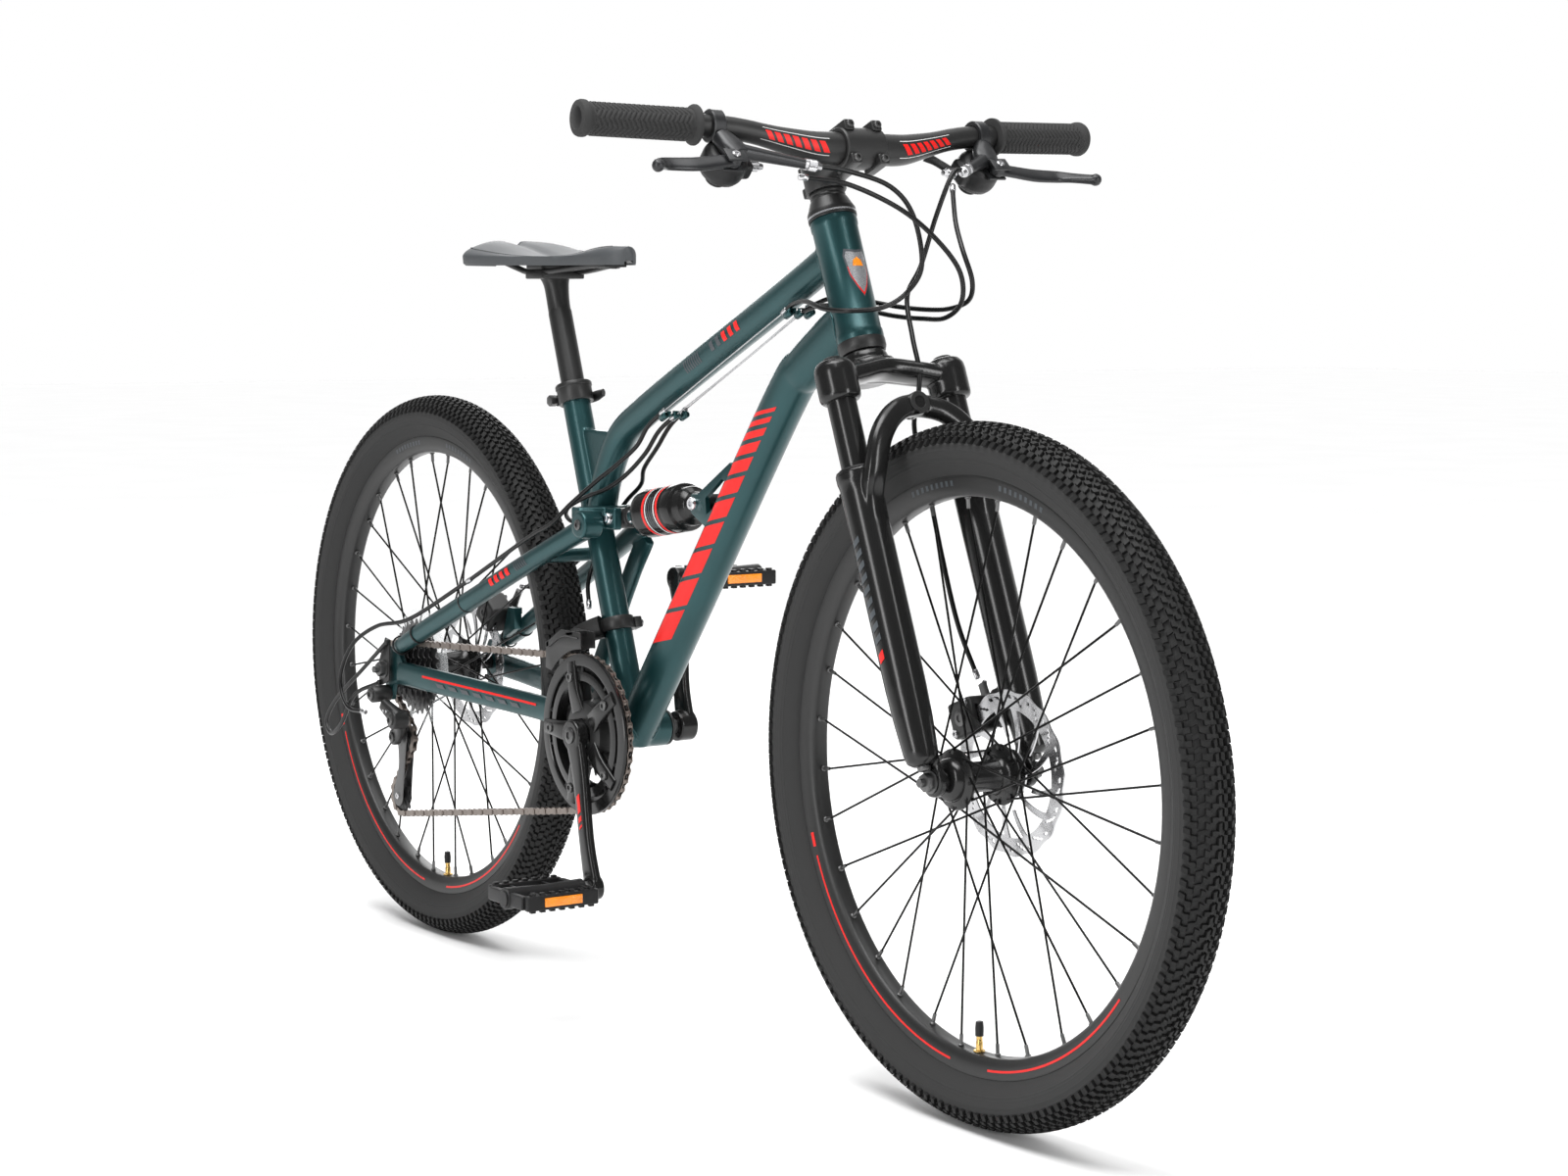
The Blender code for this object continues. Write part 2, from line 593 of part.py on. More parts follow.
def brake_levers():
    """Each lever blade, pivoted ahead of the bar."""
    for s, name in ((-1, "right"), (1, "left")):
        centre, out, fore = lever_frame(s)
        pivot = centre + fore * 0.0490
        root = pivot - out * 0.004
        path = smooth([root, pivot + out * 0.014 + fore * 0.003, pivot + out * 0.045 + fore * 0.009,
                       pivot + out * 0.080 + fore * 0.011, side(at(0.9430, 0.262, 0.9090), s)], 3)
        count = len(path)
        sizes = [(0.0040, 0.0055 + 0.0025 * math.sin(math.pi * i / (count - 1))) for i in range(count)]
        sizes[-1] = (0.0055, 0.0055)
        place("brake_lever_" + name, sweep(path, sizes, 8, Vector((0.69, 0, 0.72))), "satin_black", pivot)


def shift_levers():
    """Each thumb lever, under its pod."""
    for s, name in ((-1, "right"), (1, "left")):
        centre, out, fore = lever_frame(s)
        up = Vector((0.69, 0, 0.72))
        hub = centre + fore * 0.030 - up * 0.040 - out * 0.006
        path = smooth([hub, hub - fore * 0.018 - out * 0.006, hub - fore * 0.036 - out * 0.020,
                       hub - fore * 0.046 - out * 0.032], 2)
        sizes = [(0.0028, 0.0090)] * 2 + [(0.0028, 0.0060)] * (len(path) - 3) + [(0.0028, 0.0075)]
        place("shift_lever_" + name, sweep(path, sizes, 8, up), "black_plastic", hub)


# ---------------------------------------------------------------- wheels
def tyre_profile(width, outer):
    """The tyre's outline: a flat crown, shoulders and sidewalls down to the open bead."""
    half = width / 2
    right = [(outer, half * 0.40), (outer - half * 0.28, half * 0.88), (outer - half * 0.95, half),
             (RIM_SEAT_RADIUS + half * 0.28, half * 0.70), (RIM_SEAT_RADIUS + 0.0015, half * 0.39)]
    return right + [(radius, -y) for radius, y in reversed(right)]


def rim_profile():
    """A box-section rim with two short hooks that hold the tyre."""
    half = RIM_WIDTH / 2
    return [(RIM_INNER_RADIUS, -half * 0.5), (RIM_INNER_RADIUS, half * 0.5),
            (RIM_INNER_RADIUS + 0.007, half * 0.95), (RIM_SEAT_RADIUS + 0.0005, half),
            (RIM_SEAT_RADIUS + 0.0005, -half), (RIM_INNER_RADIUS + 0.007, -half * 0.95)]


def spokes(name, centre, flanges, flange_r):
    """All spokes of a wheel, held together by a thin ring in the rim's bed."""
    bm = bmesh.new()
    half_width = 0.0010
    inner_r, outer_r = 0.2622, 0.2640
    ring_half = 0.0018
    lows, highs, seats = [], [], []
    for k in range(SPOKE_COUNT):
        middle = 2 * math.pi * (k + 0.5) / SPOKE_COUNT
        for a in (middle - half_width / inner_r, middle + half_width / inner_r):
            ray = Vector((math.cos(a), 0, math.sin(a)))
            seats.append([bm.verts.new(centre + ray * r + Y * y) for r, y in
                          ((inner_r, -ring_half), (inner_r, ring_half),
                           (outer_r, ring_half), (outer_r, -ring_half))])
    count = len(seats)
    for i in range(count):
        a, b = seats[i], seats[(i + 1) % count]
        for k in range(4):
            n = (k + 1) % 4
            if k == 0 and i % 2 == 0:
                continue
            bm.faces.new((a[k], a[n], b[n], b[k]))
    for k in range(SPOKE_COUNT):
        a, b = seats[2 * k], seats[2 * k + 1]
        flange = flanges[k % 2]
        leading = 1 if (k // 2) % 2 else -1
        lean = math.radians(62) * leading
        angle = 2 * math.pi * (k + 0.5) / SPOKE_COUNT + lean
        y = flange + (0.0026 * leading if flange > 0 else -0.0026 * leading)
        ray = Vector((math.cos(angle), 0, math.sin(angle)))
        across = Vector((-math.sin(angle - lean), 0, math.cos(angle - lean))) * half_width
        middle = centre + ray * flange_r + Y * y
        tips = [bm.verts.new(middle + across * u + Y * (half_width * v))
                for u, v in ((-1, -1), (-1, 1), (1, 1), (1, -1))]
        mouth = [a[0], a[1], b[1], b[0]]
        for i in range(4):
            n = (i + 1) % 4
            bm.faces.new((mouth[i], mouth[n], tips[n], tips[i]))
        bm.faces.new(tips)
    place(name, bm, "satin_black", centre)


def rotor(name, centre):
    """A slotted brake rotor: carrier ring, six arms and the brake track."""
    def keep(ring, sector):
        return ring != 1 or sector % 4 == 0
    bm = slotted_disc([0.0172, 0.0240, 0.0640, ROTOR_R], centre, 0.0018, 16, keep)
    place(name, bm, "steel", centre)


def wheel(prefix, centre, flanges, flange_r, hub_profile):
    """Tyre, rim, spokes and hub on one centre."""
    place(prefix + "_tyre", lathe(tyre_profile(TYRE_WIDTH, TYRE_RADIUS), centre, Y, WHEEL_SIDES, True),
          "tyre_rubber", centre)
    place(prefix + "_rim", lathe(rim_profile(), centre, Y, WHEEL_SIDES, True), "satin_black", centre)
    spokes(prefix + "_spokes", centre, flanges, flange_r)
    place(prefix + "_hub", lathe(hub_profile, centre, Y, 16, True), "satin_black", centre)


def front_wheel():
    flange_r = 0.0290
    profile = [(0.0052, -0.0495), (0.0090, -0.0495), (0.0090, -0.0440), (0.0170, -0.0420),
               (0.0180, -0.0345), (0.0280, -0.0325), (0.0280, -0.0290), (0.0150, -0.0240),
               (0.0150, 0.0180), (0.0280, 0.0210), (0.0280, 0.0245), (0.0168, 0.0262),
               (0.0168, 0.0400), (0.0090, 0.0420), (0.0090, 0.0495), (0.0052, 0.0495)]
    wheel("front", FRONT_AXLE, (0.0228, -0.0308), flange_r, profile)
    rotor("front_rotor", FRONT_AXLE + Y * 0.0360)


def rear_wheel():
    flange_r = 0.0310
    profile = [(0.0052, -0.0310), (0.0150, -0.0310), (0.0200, -0.0275), (0.0300, -0.0255),
               (0.0300, -0.0220), (0.0160, -0.0170), (0.0160, 0.0250), (0.0300, 0.0290),
               (0.0300, 0.0325), (0.0168, 0.0345), (0.0168, 0.0470), (0.0095, 0.0490),
               (0.0095, 0.0670), (0.0052, 0.0670)]
    wheel("rear", REAR_AXLE, (0.0308, -0.0238), flange_r, profile)
    rotor("rear_rotor", REAR_AXLE + Y * 0.0430)
    disc = lathe([(0.0310, -0.0313), (0.0720, -0.0303), (0.0720, -0.0290), (0.0310, -0.0298)],
                 REAR_AXLE, Y, 24, True)
    place("spoke_protector", disc, "clear_plastic", REAR_AXLE)


def axles():
    """The wheel axles with their nuts outside the dropouts."""
    spots = (("front_axle", FRONT_AXLE, 0.0598, 0.0685, 0.0740),
             ("rear_axle", REAR_AXLE, 0.0812, 0.0900, 0.0960))
    for name, centre, inner, outer, tip in spots:
        profile = [(0, -tip), (0.0042, -tip), (0.0042, -outer), (0.0095, -outer), (0.0110, -inner),
                   (0.0042, -inner), (0.0042, inner), (0.0110, inner), (0.0095, outer),
                   (0.0042, outer), (0.0042, tip), (0, tip)]
        place(name, lathe(profile, centre, Y, 8), "dark_steel")


# ---------------------------------------------------------------- swingarm
def stay_path(s):
    return smooth([side(at(0.020, 0.0713, 0.3640), s), side(at(0.05, 0.0755, 0.3735), s),
                   side(at(0.13, 0.0680, 0.4085), s), side(at(0.33, 0.0495, 0.4950), s),
                   side(at(0.430, 0.0365, 0.5375), s)], 1)


def chainstay_path(s):
    return smooth([side(at(0.028, 0.0715, 0.3340), s), side(at(0.10, 0.0660, 0.3310), s),
                   side(at(0.30, 0.0455, 0.3225), s), side(at(0.386, 0.0405, 0.3180), s)], 1)


def swingarm():
    """The rigid rear triangle with its yoke round the seat tube."""
    pivot = at(PIVOT[0], 0, PIVOT[1])
    eye = at(SHOCK_REAR[0], 0, SHOCK_REAR[1])
    shapes = [rod(pivot - Y * 0.0205, pivot + Y * 0.0205, 0.0140, 12),
              block(at(0.396, 0, 0.320), (0.024, 0.038, 0.020)),
              rod(at(0.384, -0.044, 0.3180), at(0.384, 0.044, 0.3180), 0.0100, 10),
              rod(at(0.338, -0.050, 0.4970), at(0.338, 0.050, 0.4970), 0.0080, 8)]
    yoke = [(0.410, 0.0500), (0.428, 0.0500), (0.4382, 0.0220), (0.4580, 0.0220), (0.4580, -0.0220),
            (0.4382, -0.0220), (0.428, -0.0500), (0.410, -0.0500), (0.410, -0.0300), (0.4175, -0.0190),
            (0.4175, 0.0190), (0.410, 0.0300)]
    bm = bmesh.new()
    low = [bm.verts.new(at(x, y, 0.5330)) for x, y in yoke]
    high = [bm.verts.new(at(x, y, 0.5580)) for x, y in yoke]
    bridge(bm, [low, high], False)
    shapes.append(bm)
    dropout = [(-0.016, 0.330), (-0.010, 0.322), (-0.006, 0.300), (0.006, 0.298), (0.012, 0.318),
               (0.034, 0.320), (0.040, 0.345), (0.020, 0.366), (-0.004, 0.364), (-0.014, 0.350)]
    for s in (1, -1):
        shapes.append(sweep(stay_path(s), [0.0075, 0.0095, 0.0115, 0.0115, 0.0130], 8))
        shapes.append(sweep(chainstay_path(s), (0.0062, 0.0145), 8, Y, 3.0))
        shapes.append(rod(at(0.430, s * 0.0275, 0.5385), at(0.430, s * 0.0525, 0.5385), 0.0155, 12))
        shapes.append(plate(dropout, s * 0.0680, s * 0.0745))
    shapes += hanger_knuckle()
    strut = [at(0.426, 0.0400, 0.522), at(0.385, 0.0420, 0.470), at(0.285, 0.0485, 0.330)]
    shapes.append(sweep(strut, [(0.0055, 0.0150), (0.0055, 0.0150), (0.0050, 0.0110)], 8, Y, 3.0))
    tab = [(0.060, 0.372), (0.092, 0.386), (0.092, 0.412), (0.076, 0.412)]
    shapes.append(plate(tab, 0.0520, 0.0625))
    shapes.append(plate([(0.062, 0.376), (0.090, 0.385), (0.090, 0.392), (0.069, 0.392)], 0.0525, 0.0690))
    cuts = [rod(pivot - Y * 0.05, pivot + Y * 0.05, 0.0066, 8),
            rod(eye - Y * 0.04, eye + Y * 0.04, 0.0046, 8),
            block(at(0.451, 0, 0.5455), (0.038, 0.0260, 0.040)),
            rod(REAR_AXLE - Y * 0.1, REAR_AXLE + Y * 0.1, 0.0048, 8)]
    combine("swingarm", "frame_paint", shapes, cuts)


def derailleur_guard():
    """The bent wire that fends off the derailleur, on a plate under the axle nut."""
    half = [at(0.014, -0.0830, 0.372), at(-0.040, -0.0880, 0.335), at(-0.100, -0.0960, 0.292),
            at(-0.122, -0.1010, 0.262), at(-0.104, -0.1040, 0.246), at(-0.074, -0.1040, 0.262),
            at(-0.050, -0.0970, 0.300), at(-0.012, -0.0830, 0.318)]
    wire = sweep(smooth(half, 2), 0.0026, 6)
    strap = plate([(-0.013, 0.314), (0.013, 0.322), (0.016, 0.374), (0.004, 0.376), (-0.014, 0.345)],
                  -0.0811, -0.0791)
    cut = rod(REAR_AXLE - Y * 0.1, REAR_AXLE - Y * 0.06, 0.0048, 8)
    link = rod(at(0.012, -0.0800, 0.371), at(0.012, -0.0840, 0.371), 0.0035, 8)
    foot = rod(at(-0.0105, -0.0800, 0.3185), at(-0.0105, -0.0840, 0.3185), 0.0035, 8)
    combine("derailleur_guard", "satin_black", [strap, wire, link, foot], [cut])


# ---------------------------------------------------------------- shock
def shock():
    """The shock's body on its front eye and its shaft on its rear eye."""
    front = at(SHOCK_FRONT[0], 0, SHOCK_FRONT[1])
    rear = at(SHOCK_REAR[0], 0, SHOCK_REAR[1])
    back = (rear - front).normalized()
    bore = rod(front - Y * 0.03, front + Y * 0.03, 0.0046, 8)
    body = lathe([(0.0, 0.010), (0.0120, 0.0105), (0.0150, 0.026), (0.0215, 0.032), (0.0225, 0.042),
                  (0.0265, 0.045), (0.0265, 0.122), (0.0210, 0.128), (0.0, 0.128)], front, back, 14)
    eye = rod(front - Y * 0.0135, front + Y * 0.0135, 0.0105, 12)
    well = rod(front + back * 0.070, front + back * 0.140, 0.0112, 10)
    combine("shock_body", "gloss_black", [body, eye], [bore, well])
    shaft = rod(rear, front + back * 0.106, 0.0105, 10)
    eye = rod(rear - Y * 0.0122, rear + Y * 0.0122, 0.0115, 12)
    hole = rod(rear - Y * 0.03, rear + Y * 0.03, 0.0060, 8)
    combine("shock_shaft", "dark_steel", [shaft, eye], [hole])


# ---------------------------------------------------------------- drivetrain
SPROCKETS = (14, 16, 18, 20, 22, 24, 28)
SPROCKET_Y = -0.0652
SPROCKET_STEP = 0.0050
RINGS = ((42, -0.0605), (34, -0.0530), (24, -0.0455))
LINK = 0.0127
CHAIN_COG = 16
GUIDE = (0.018, 0.2535)
TENSION = (0.006, 0.1775)
PULLEY_TEETH = 11
TOOTH_ROOM = 0.0064


def pitch_radius(teeth):
    return LINK / 2 / math.sin(math.pi / teeth)


def cassette():
    """Seven sprockets as one stepped block, with the body that they slide on."""
    profile = [(0.0056, -0.0318), (0.0170, -0.0318)]
    for i, teeth in reversed(list(enumerate(SPROCKETS))):
        y = SPROCKET_Y + SPROCKET_STEP * i
        root = pitch_radius(teeth) - TOOTH_ROOM
        profile += [(root, min(-0.0330, y + 0.0040)), (root, y - 0.0010)]
    profile += [(0.0150, profile[-1][1]), (0.0056, profile[-1][1])]
    place("cassette", lathe(profile, REAR_AXLE, Y, 12, True), "dark_steel", REAR_AXLE)


def chainrings():
    """Three chainrings and the round guard outside them, bolted into one stack."""
    profile = [(0.0300, -0.0440)]
    for teeth, y in reversed(RINGS):
        root = pitch_radius(teeth) - TOOTH_ROOM
        profile += [(root, y + 0.0010), (root, y - 0.0010)]
        profile += [(0.0390, y - 0.0012)]
    profile += [(0.0600, -0.0645), (0.0840, -0.0650), (0.0895, -0.0660), (0.0895, -0.0685),
                (0.0600, -0.0700), (0.0300, -0.0700)]
    place("chainrings", lathe(profile, BB, Y, 20, True), "black_plastic", BB)


def pedal_axis(s):
    """The centre of a pedal's body; the right crank points down and the left one up."""
    reach = CRANK_DIR * (CRANK_LENGTH if s < 0 else -CRANK_LENGTH)
    return BB + reach + Y * (s * 0.1500)


def cranks():
    """Right crank with its spider arms, left crank with the spindle, and both pedal axles."""
    right_end = BB + CRANK_DIR * CRANK_LENGTH
    hub = rod(BB - Y * 0.0710, BB - Y * 0.0850, 0.0175, 12)
    arm = sweep([BB - Y * 0.0785, BB + CRANK_DIR * 0.05 - Y * 0.0795, BB + CRANK_DIR * 0.12 - Y * 0.0860,
                 right_end - Y * 0.0870],
                [(0.0062, 0.0150), (0.0060, 0.0120), (0.0060, 0.0110), (0.0062, 0.0130)], 8, Y, 3.0)
    eye = rod(right_end - Y * 0.0800, right_end - Y * 0.0935, 0.0135, 10)
    spider = [rod(BB - Y * 0.0730, BB - Y * 0.0730 + Vector((math.cos(a), 0, math.sin(a))) * 0.060,
                  0.0024, 6) for a in (CRANK_ANGLE + math.pi * (2 * k + 1) / 5 for k in range(5))]
    axle = rod(right_end - Y * 0.0900, right_end - Y * 0.1990, 0.0055, 8)
    well = rod(BB - Y * 0.0500, BB - Y * 0.0805, 0.0092, 12)
    combine("crank_right", "satin_black", [hub, arm, eye, axle, *spider], [well], BB)
    left_end = BB - CRANK_DIR * CRANK_LENGTH
    arm = sweep([BB + Y * 0.0650, BB - CRANK_DIR * 0.05 + Y * 0.0690, BB - CRANK_DIR * 0.12 + Y * 0.0830,
                 left_end + Y * 0.0860],
                [(0.0075, 0.0150), (0.0060, 0.0125), (0.0060, 0.0110), (0.0062, 0.0130)], 8, Y, 3.0)
    hub = rod(BB + Y * 0.0500, BB + Y * 0.0725, 0.0170, 12)
    eye = rod(left_end + Y * 0.0800, left_end + Y * 0.0935, 0.0135, 10)
    spindle = rod(BB - Y * 0.0795, BB + Y * 0.0600, 0.0086, 12)
    axle = rod(left_end + Y * 0.0900, left_end + Y * 0.1990, 0.0055, 8)
    combine("crank_left", "satin_black", [hub, arm, eye, spindle, axle], [], BB)


def pedals():
    """A cage pedal: frame with two windows round the axle's barrel."""
    for s, name in ((-1, "pedal_right"), (1, "pedal_left")):
        centre = pedal_axis(s)
        body = block(centre, (0.094, 0.094, 0.0200))
        rails = [block(centre + Vector((d, 0, 0)), (0.0100, 0.088, 0.0260)) for d in (-0.038, 0.038)]
        barrel = rod(centre - Y * 0.0500, centre + Y * 0.0500, 0.0120, 10)
        windows = [block(centre + Vector((d, 0, 0)), (0.0190, 0.0740, 0.05)) for d in (-0.0230, 0.0230)]
        bore = rod(centre - Y * 0.06, centre + Y * 0.06, 0.0064, 8)
        combine(name, "amber_pedal", [body, barrel, *rails], [*windows, bore], centre)


def tangent(c1, r1, turn1, c2, r2, turn2):
    """Where a taut line leaves circle 1 and meets circle 2; turn is 1 for anticlockwise."""
    dx, dz = c2[0] - c1[0], c2[1] - c1[1]
    span = math.hypot(dx, dz)
    base = math.atan2(dz, dx)
    lean = math.acos((r1 * turn1 - r2 * turn2) / span)
    a = base - lean
    first = (c1[0] + turn1 * r1 * math.cos(a), c1[1] + turn1 * r1 * math.sin(a))
    second = (c2[0] + turn2 * r2 * math.cos(a), c2[1] + turn2 * r2 * math.sin(a))
    return first, second


def chain_loop():
    """The chain's centre line round ring, sprocket and both pulleys, as (x, z) points."""
    circles = [((BB_X, BB_Z), pitch_radius(42), 1), ((0.0, AXLE_Z), pitch_radius(CHAIN_COG), 1),
               (GUIDE, pitch_radius(PULLEY_TEETH), -1), (TENSION, pitch_radius(PULLEY_TEETH), 1)]
    count = len(circles)
    lines = [tangent(*circles[i], *circles[(i + 1) % count]) for i in range(count)]
    points = []
    for i, (centre, radius, turn) in enumerate(circles):
        arrive, leave = lines[i - 1][1], lines[i][0]
        a0 = math.atan2(arrive[1] - centre[1], arrive[0] - centre[0])
        a1 = math.atan2(leave[1] - centre[1], leave[0] - centre[0])
        sweep_angle = (a1 - a0) * turn % (2 * math.pi)
        steps = max(2, math.ceil(sweep_angle / math.radians(15)))
        for k in range(steps + 1):
            a = a0 + turn * sweep_angle * k / steps
            points.append((centre[0] + radius * math.cos(a), centre[1] + radius * math.sin(a)))
    return points


def chain():
    """The closed chain as one plain band."""
    points = [at(x, CHAIN_Y, z) for x, z in chain_loop()]
    bm = bmesh.new()
    rings = []
    count = len(points)
    for i, point in enumerate(points):
        ahead = (points[(i + 1) % count] - points[i - 1]).normalized()
        out = ahead.cross(Y)
        rings.append([bm.verts.new(point + Y * (0.0028 * u) + out * (0.0036 * v))
                      for u, v in ((-1, -1), (1, -1), (1, 1), (-1, 1))])
    bridge(bm, rings, True)
    place("chain", bm, "chain_steel")


def hanger_knuckle():
    """The derailleur's fixed upper knuckle, bolted to the right dropout."""
    return [rod(at(0.000, -0.0760, 0.306), at(0.000, -0.0990, 0.306), 0.0105, 10),
            rod(at(0.000, -0.0740, 0.306), at(0.000, -0.0780, 0.306), 0.0048, 8)]


def rear_derailleur():
    """The moving half: the link's lower end, its knuckle, and the foot that carries the cage."""
    link = sweep([at(0.020, -0.0890, 0.2930), at(0.030, -0.0870, 0.2870), at(0.044, -0.0830, 0.280)],
                 [(0.0065, 0.0080), (0.0075, 0.0100), (0.0085, 0.0100)], 8, Y, 3.0)
    low = rod(at(0.040, -0.0720, 0.278), at(0.040, -0.0930, 0.278), 0.0115, 10)
    foot = sweep([at(0.040, -0.0800, 0.278), at(0.030, -0.0760, 0.262), at(GUIDE[0], -0.0755, GUIDE[1])],
                 [(0.0070, 0.0090), (0.0055, 0.0090), (0.0045, 0.0100)], 8, Y, 3.0)
    nut = rod(at(GUIDE[0], -0.0707, GUIDE[1]), at(GUIDE[0], -0.0800, GUIDE[1]), 0.0100, 10)
    combine("rear_derailleur", "satin_black", [link, low, foot, nut], [])


def derailleur_cage():
    """The sprung cage: two plates with the guide and tension pulleys between them."""
    guide, tension = at(GUIDE[0], CHAIN_Y, GUIDE[1]), at(TENSION[0], CHAIN_Y, TENSION[1])
    shapes = []
    for y in (-0.0056, 0.0056):
        shapes.append(sweep([guide + Y * y, guide.lerp(tension, 0.5) + Y * y + Vector((0.003, 0, 0)),
                             tension + Y * y],
                            [(0.0009, 0.0120), (0.0009, 0.0085), (0.0009, 0.0120)], 8, Y, 3.0))
        for spot in (guide, tension):
            shapes.append(rod(spot + Y * (y - 0.0009), spot + Y * (y + 0.0009), 0.0125, 8))
    for spot in (guide, tension):
        shapes.append(rod(spot - Y * 0.0058, spot + Y * 0.0058, 0.0050, 8))
        shapes.append(rod(spot - Y * 0.0011, spot + Y * 0.0011, pitch_radius(PULLEY_TEETH) - TOOTH_ROOM, 8))
    shapes.append(rod(guide - Y * 0.0050, guide - Y * 0.0098, 0.0060, 8))
    combine("derailleur_cage", "dark_steel", shapes, [], guide)


def front_derailleur():
    """The band on the seat tube with the parallelogram body, and the cage over the chain."""
    low, high = seat(0.114), seat(0.129)
    band = pipe(low, high, 0.0195, SEAT_TUBE_R + GAP, 12)
    lug = block(seat(0.1215, 0.004, 0.0215), (0.016, 0.010, 0.013), math.radians(19.5))
    body = sweep([seat(0.1215, -0.004, -0.0180), seat(0.120, -0.020, -0.0300), seat(0.117, -0.034, -0.0400)],
                 [(0.0090, 0.0130), (0.0085, 0.0120), (0.0070, 0.0100)], 8, Y, 3.0)
    bolt = rod(seat(0.1215, 0.004, 0.0220), seat(0.1215, 0.004, 0.0330), 0.0042, 8)
    combine("front_derailleur", "dark_steel", [band, lug, body, bolt],
            [rod(seat(0.09), seat(0.15), SEAT_TUBE_R + GAP, 12)])
    reach = 0.0945
    arc = [math.radians(a) for a in range(92, 141, 8)]
    inner = [(BB_X + reach * math.cos(a), BB_Z + reach * math.sin(a)) for a in arc]
    rear_low = (0.384, 0.3755)
    outline = inner[:-1] + [rear_low, (0.386, 0.404), (0.420, 0.422), (0.463, 0.421)]
    shapes = [plate(outline, -0.0520, -0.0508), plate(outline, -0.0668, -0.0656),
              plate([(0.392, 0.408), (0.384, 0.404), (0.384, 0.397), (0.392, 0.400)], -0.0668, -0.0508),
              plate([(0.430, 0.4195), (0.446, 0.4215), (0.446, 0.4170), (0.430, 0.4150)], -0.0668, -0.0470)]
    combine("front_derailleur_cage", "dark_steel", shapes, [], at(0.438, -0.0490, 0.420))


# ---------------------------------------------------------------- brakes
CALIPER_R = 0.0820
CALIPER_ANGLE = {"front": math.radians(146), "rear": math.radians(55)}
ROTOR_Y = {"front": 0.0360, "rear": 0.0430}


def calipers():
    """Both mechanical calipers and the arms that their cables pull."""
    for name, axle in (("front", FRONT_AXLE), ("rear", REAR_AXLE)):
        track, angle = ROTOR_Y[name], CALIPER_ANGLE[name]
        ray = Vector((math.cos(angle), 0, math.sin(angle)))
        middle = axle + ray * CALIPER_R + Y * (track + 0.0060)
        turn = HEAD_ANGLE - math.pi / 2 if name == "front" else -angle
        body = block(middle, (0.036, 0.030, 0.036), turn)
        cap = rod(middle + Y * 0.012, middle + Y * 0.0210, 0.0145, 12)
        if name == "front":
            mount = sweep([head(-0.384, 0.0100, 0.0520), head(-0.384, -0.010, 0.0520)], (0.0040, 0.0170), 8)
        else:
            mount = plate([(0.060, 0.4035), (0.084, 0.4035), (0.084, 0.4115), (0.060, 0.4115)], 0.0630, 0.0680)
        clear = rod(axle + Y * (track - 0.0017), axle + Y * (track + 0.0017), ROTOR_R + 0.002, 20)
        combine(name + "_caliper", "black_plastic", [body, cap, mount], [clear])
        root = middle + Y * 0.0240
        tip = root + (Vector((-0.016, 0, 0.030)) if name == "front" else Vector((0.020, 0, 0.026)))
        arm = sweep([root - (tip - root) * 0.25, root, tip],
                    [(0.0022, 0.0080), (0.0022, 0.0085), (0.0022, 0.0055)], 6, Y, 3.0)
        hub = rod(root - Y * 0.0024, root + Y * 0.0040, 0.0055, 8)
        combine(name + "_caliper_arm", "dark_steel", [arm, hub], [], root)


# ---------------------------------------------------------------- cables
CABLE_R = 0.0025


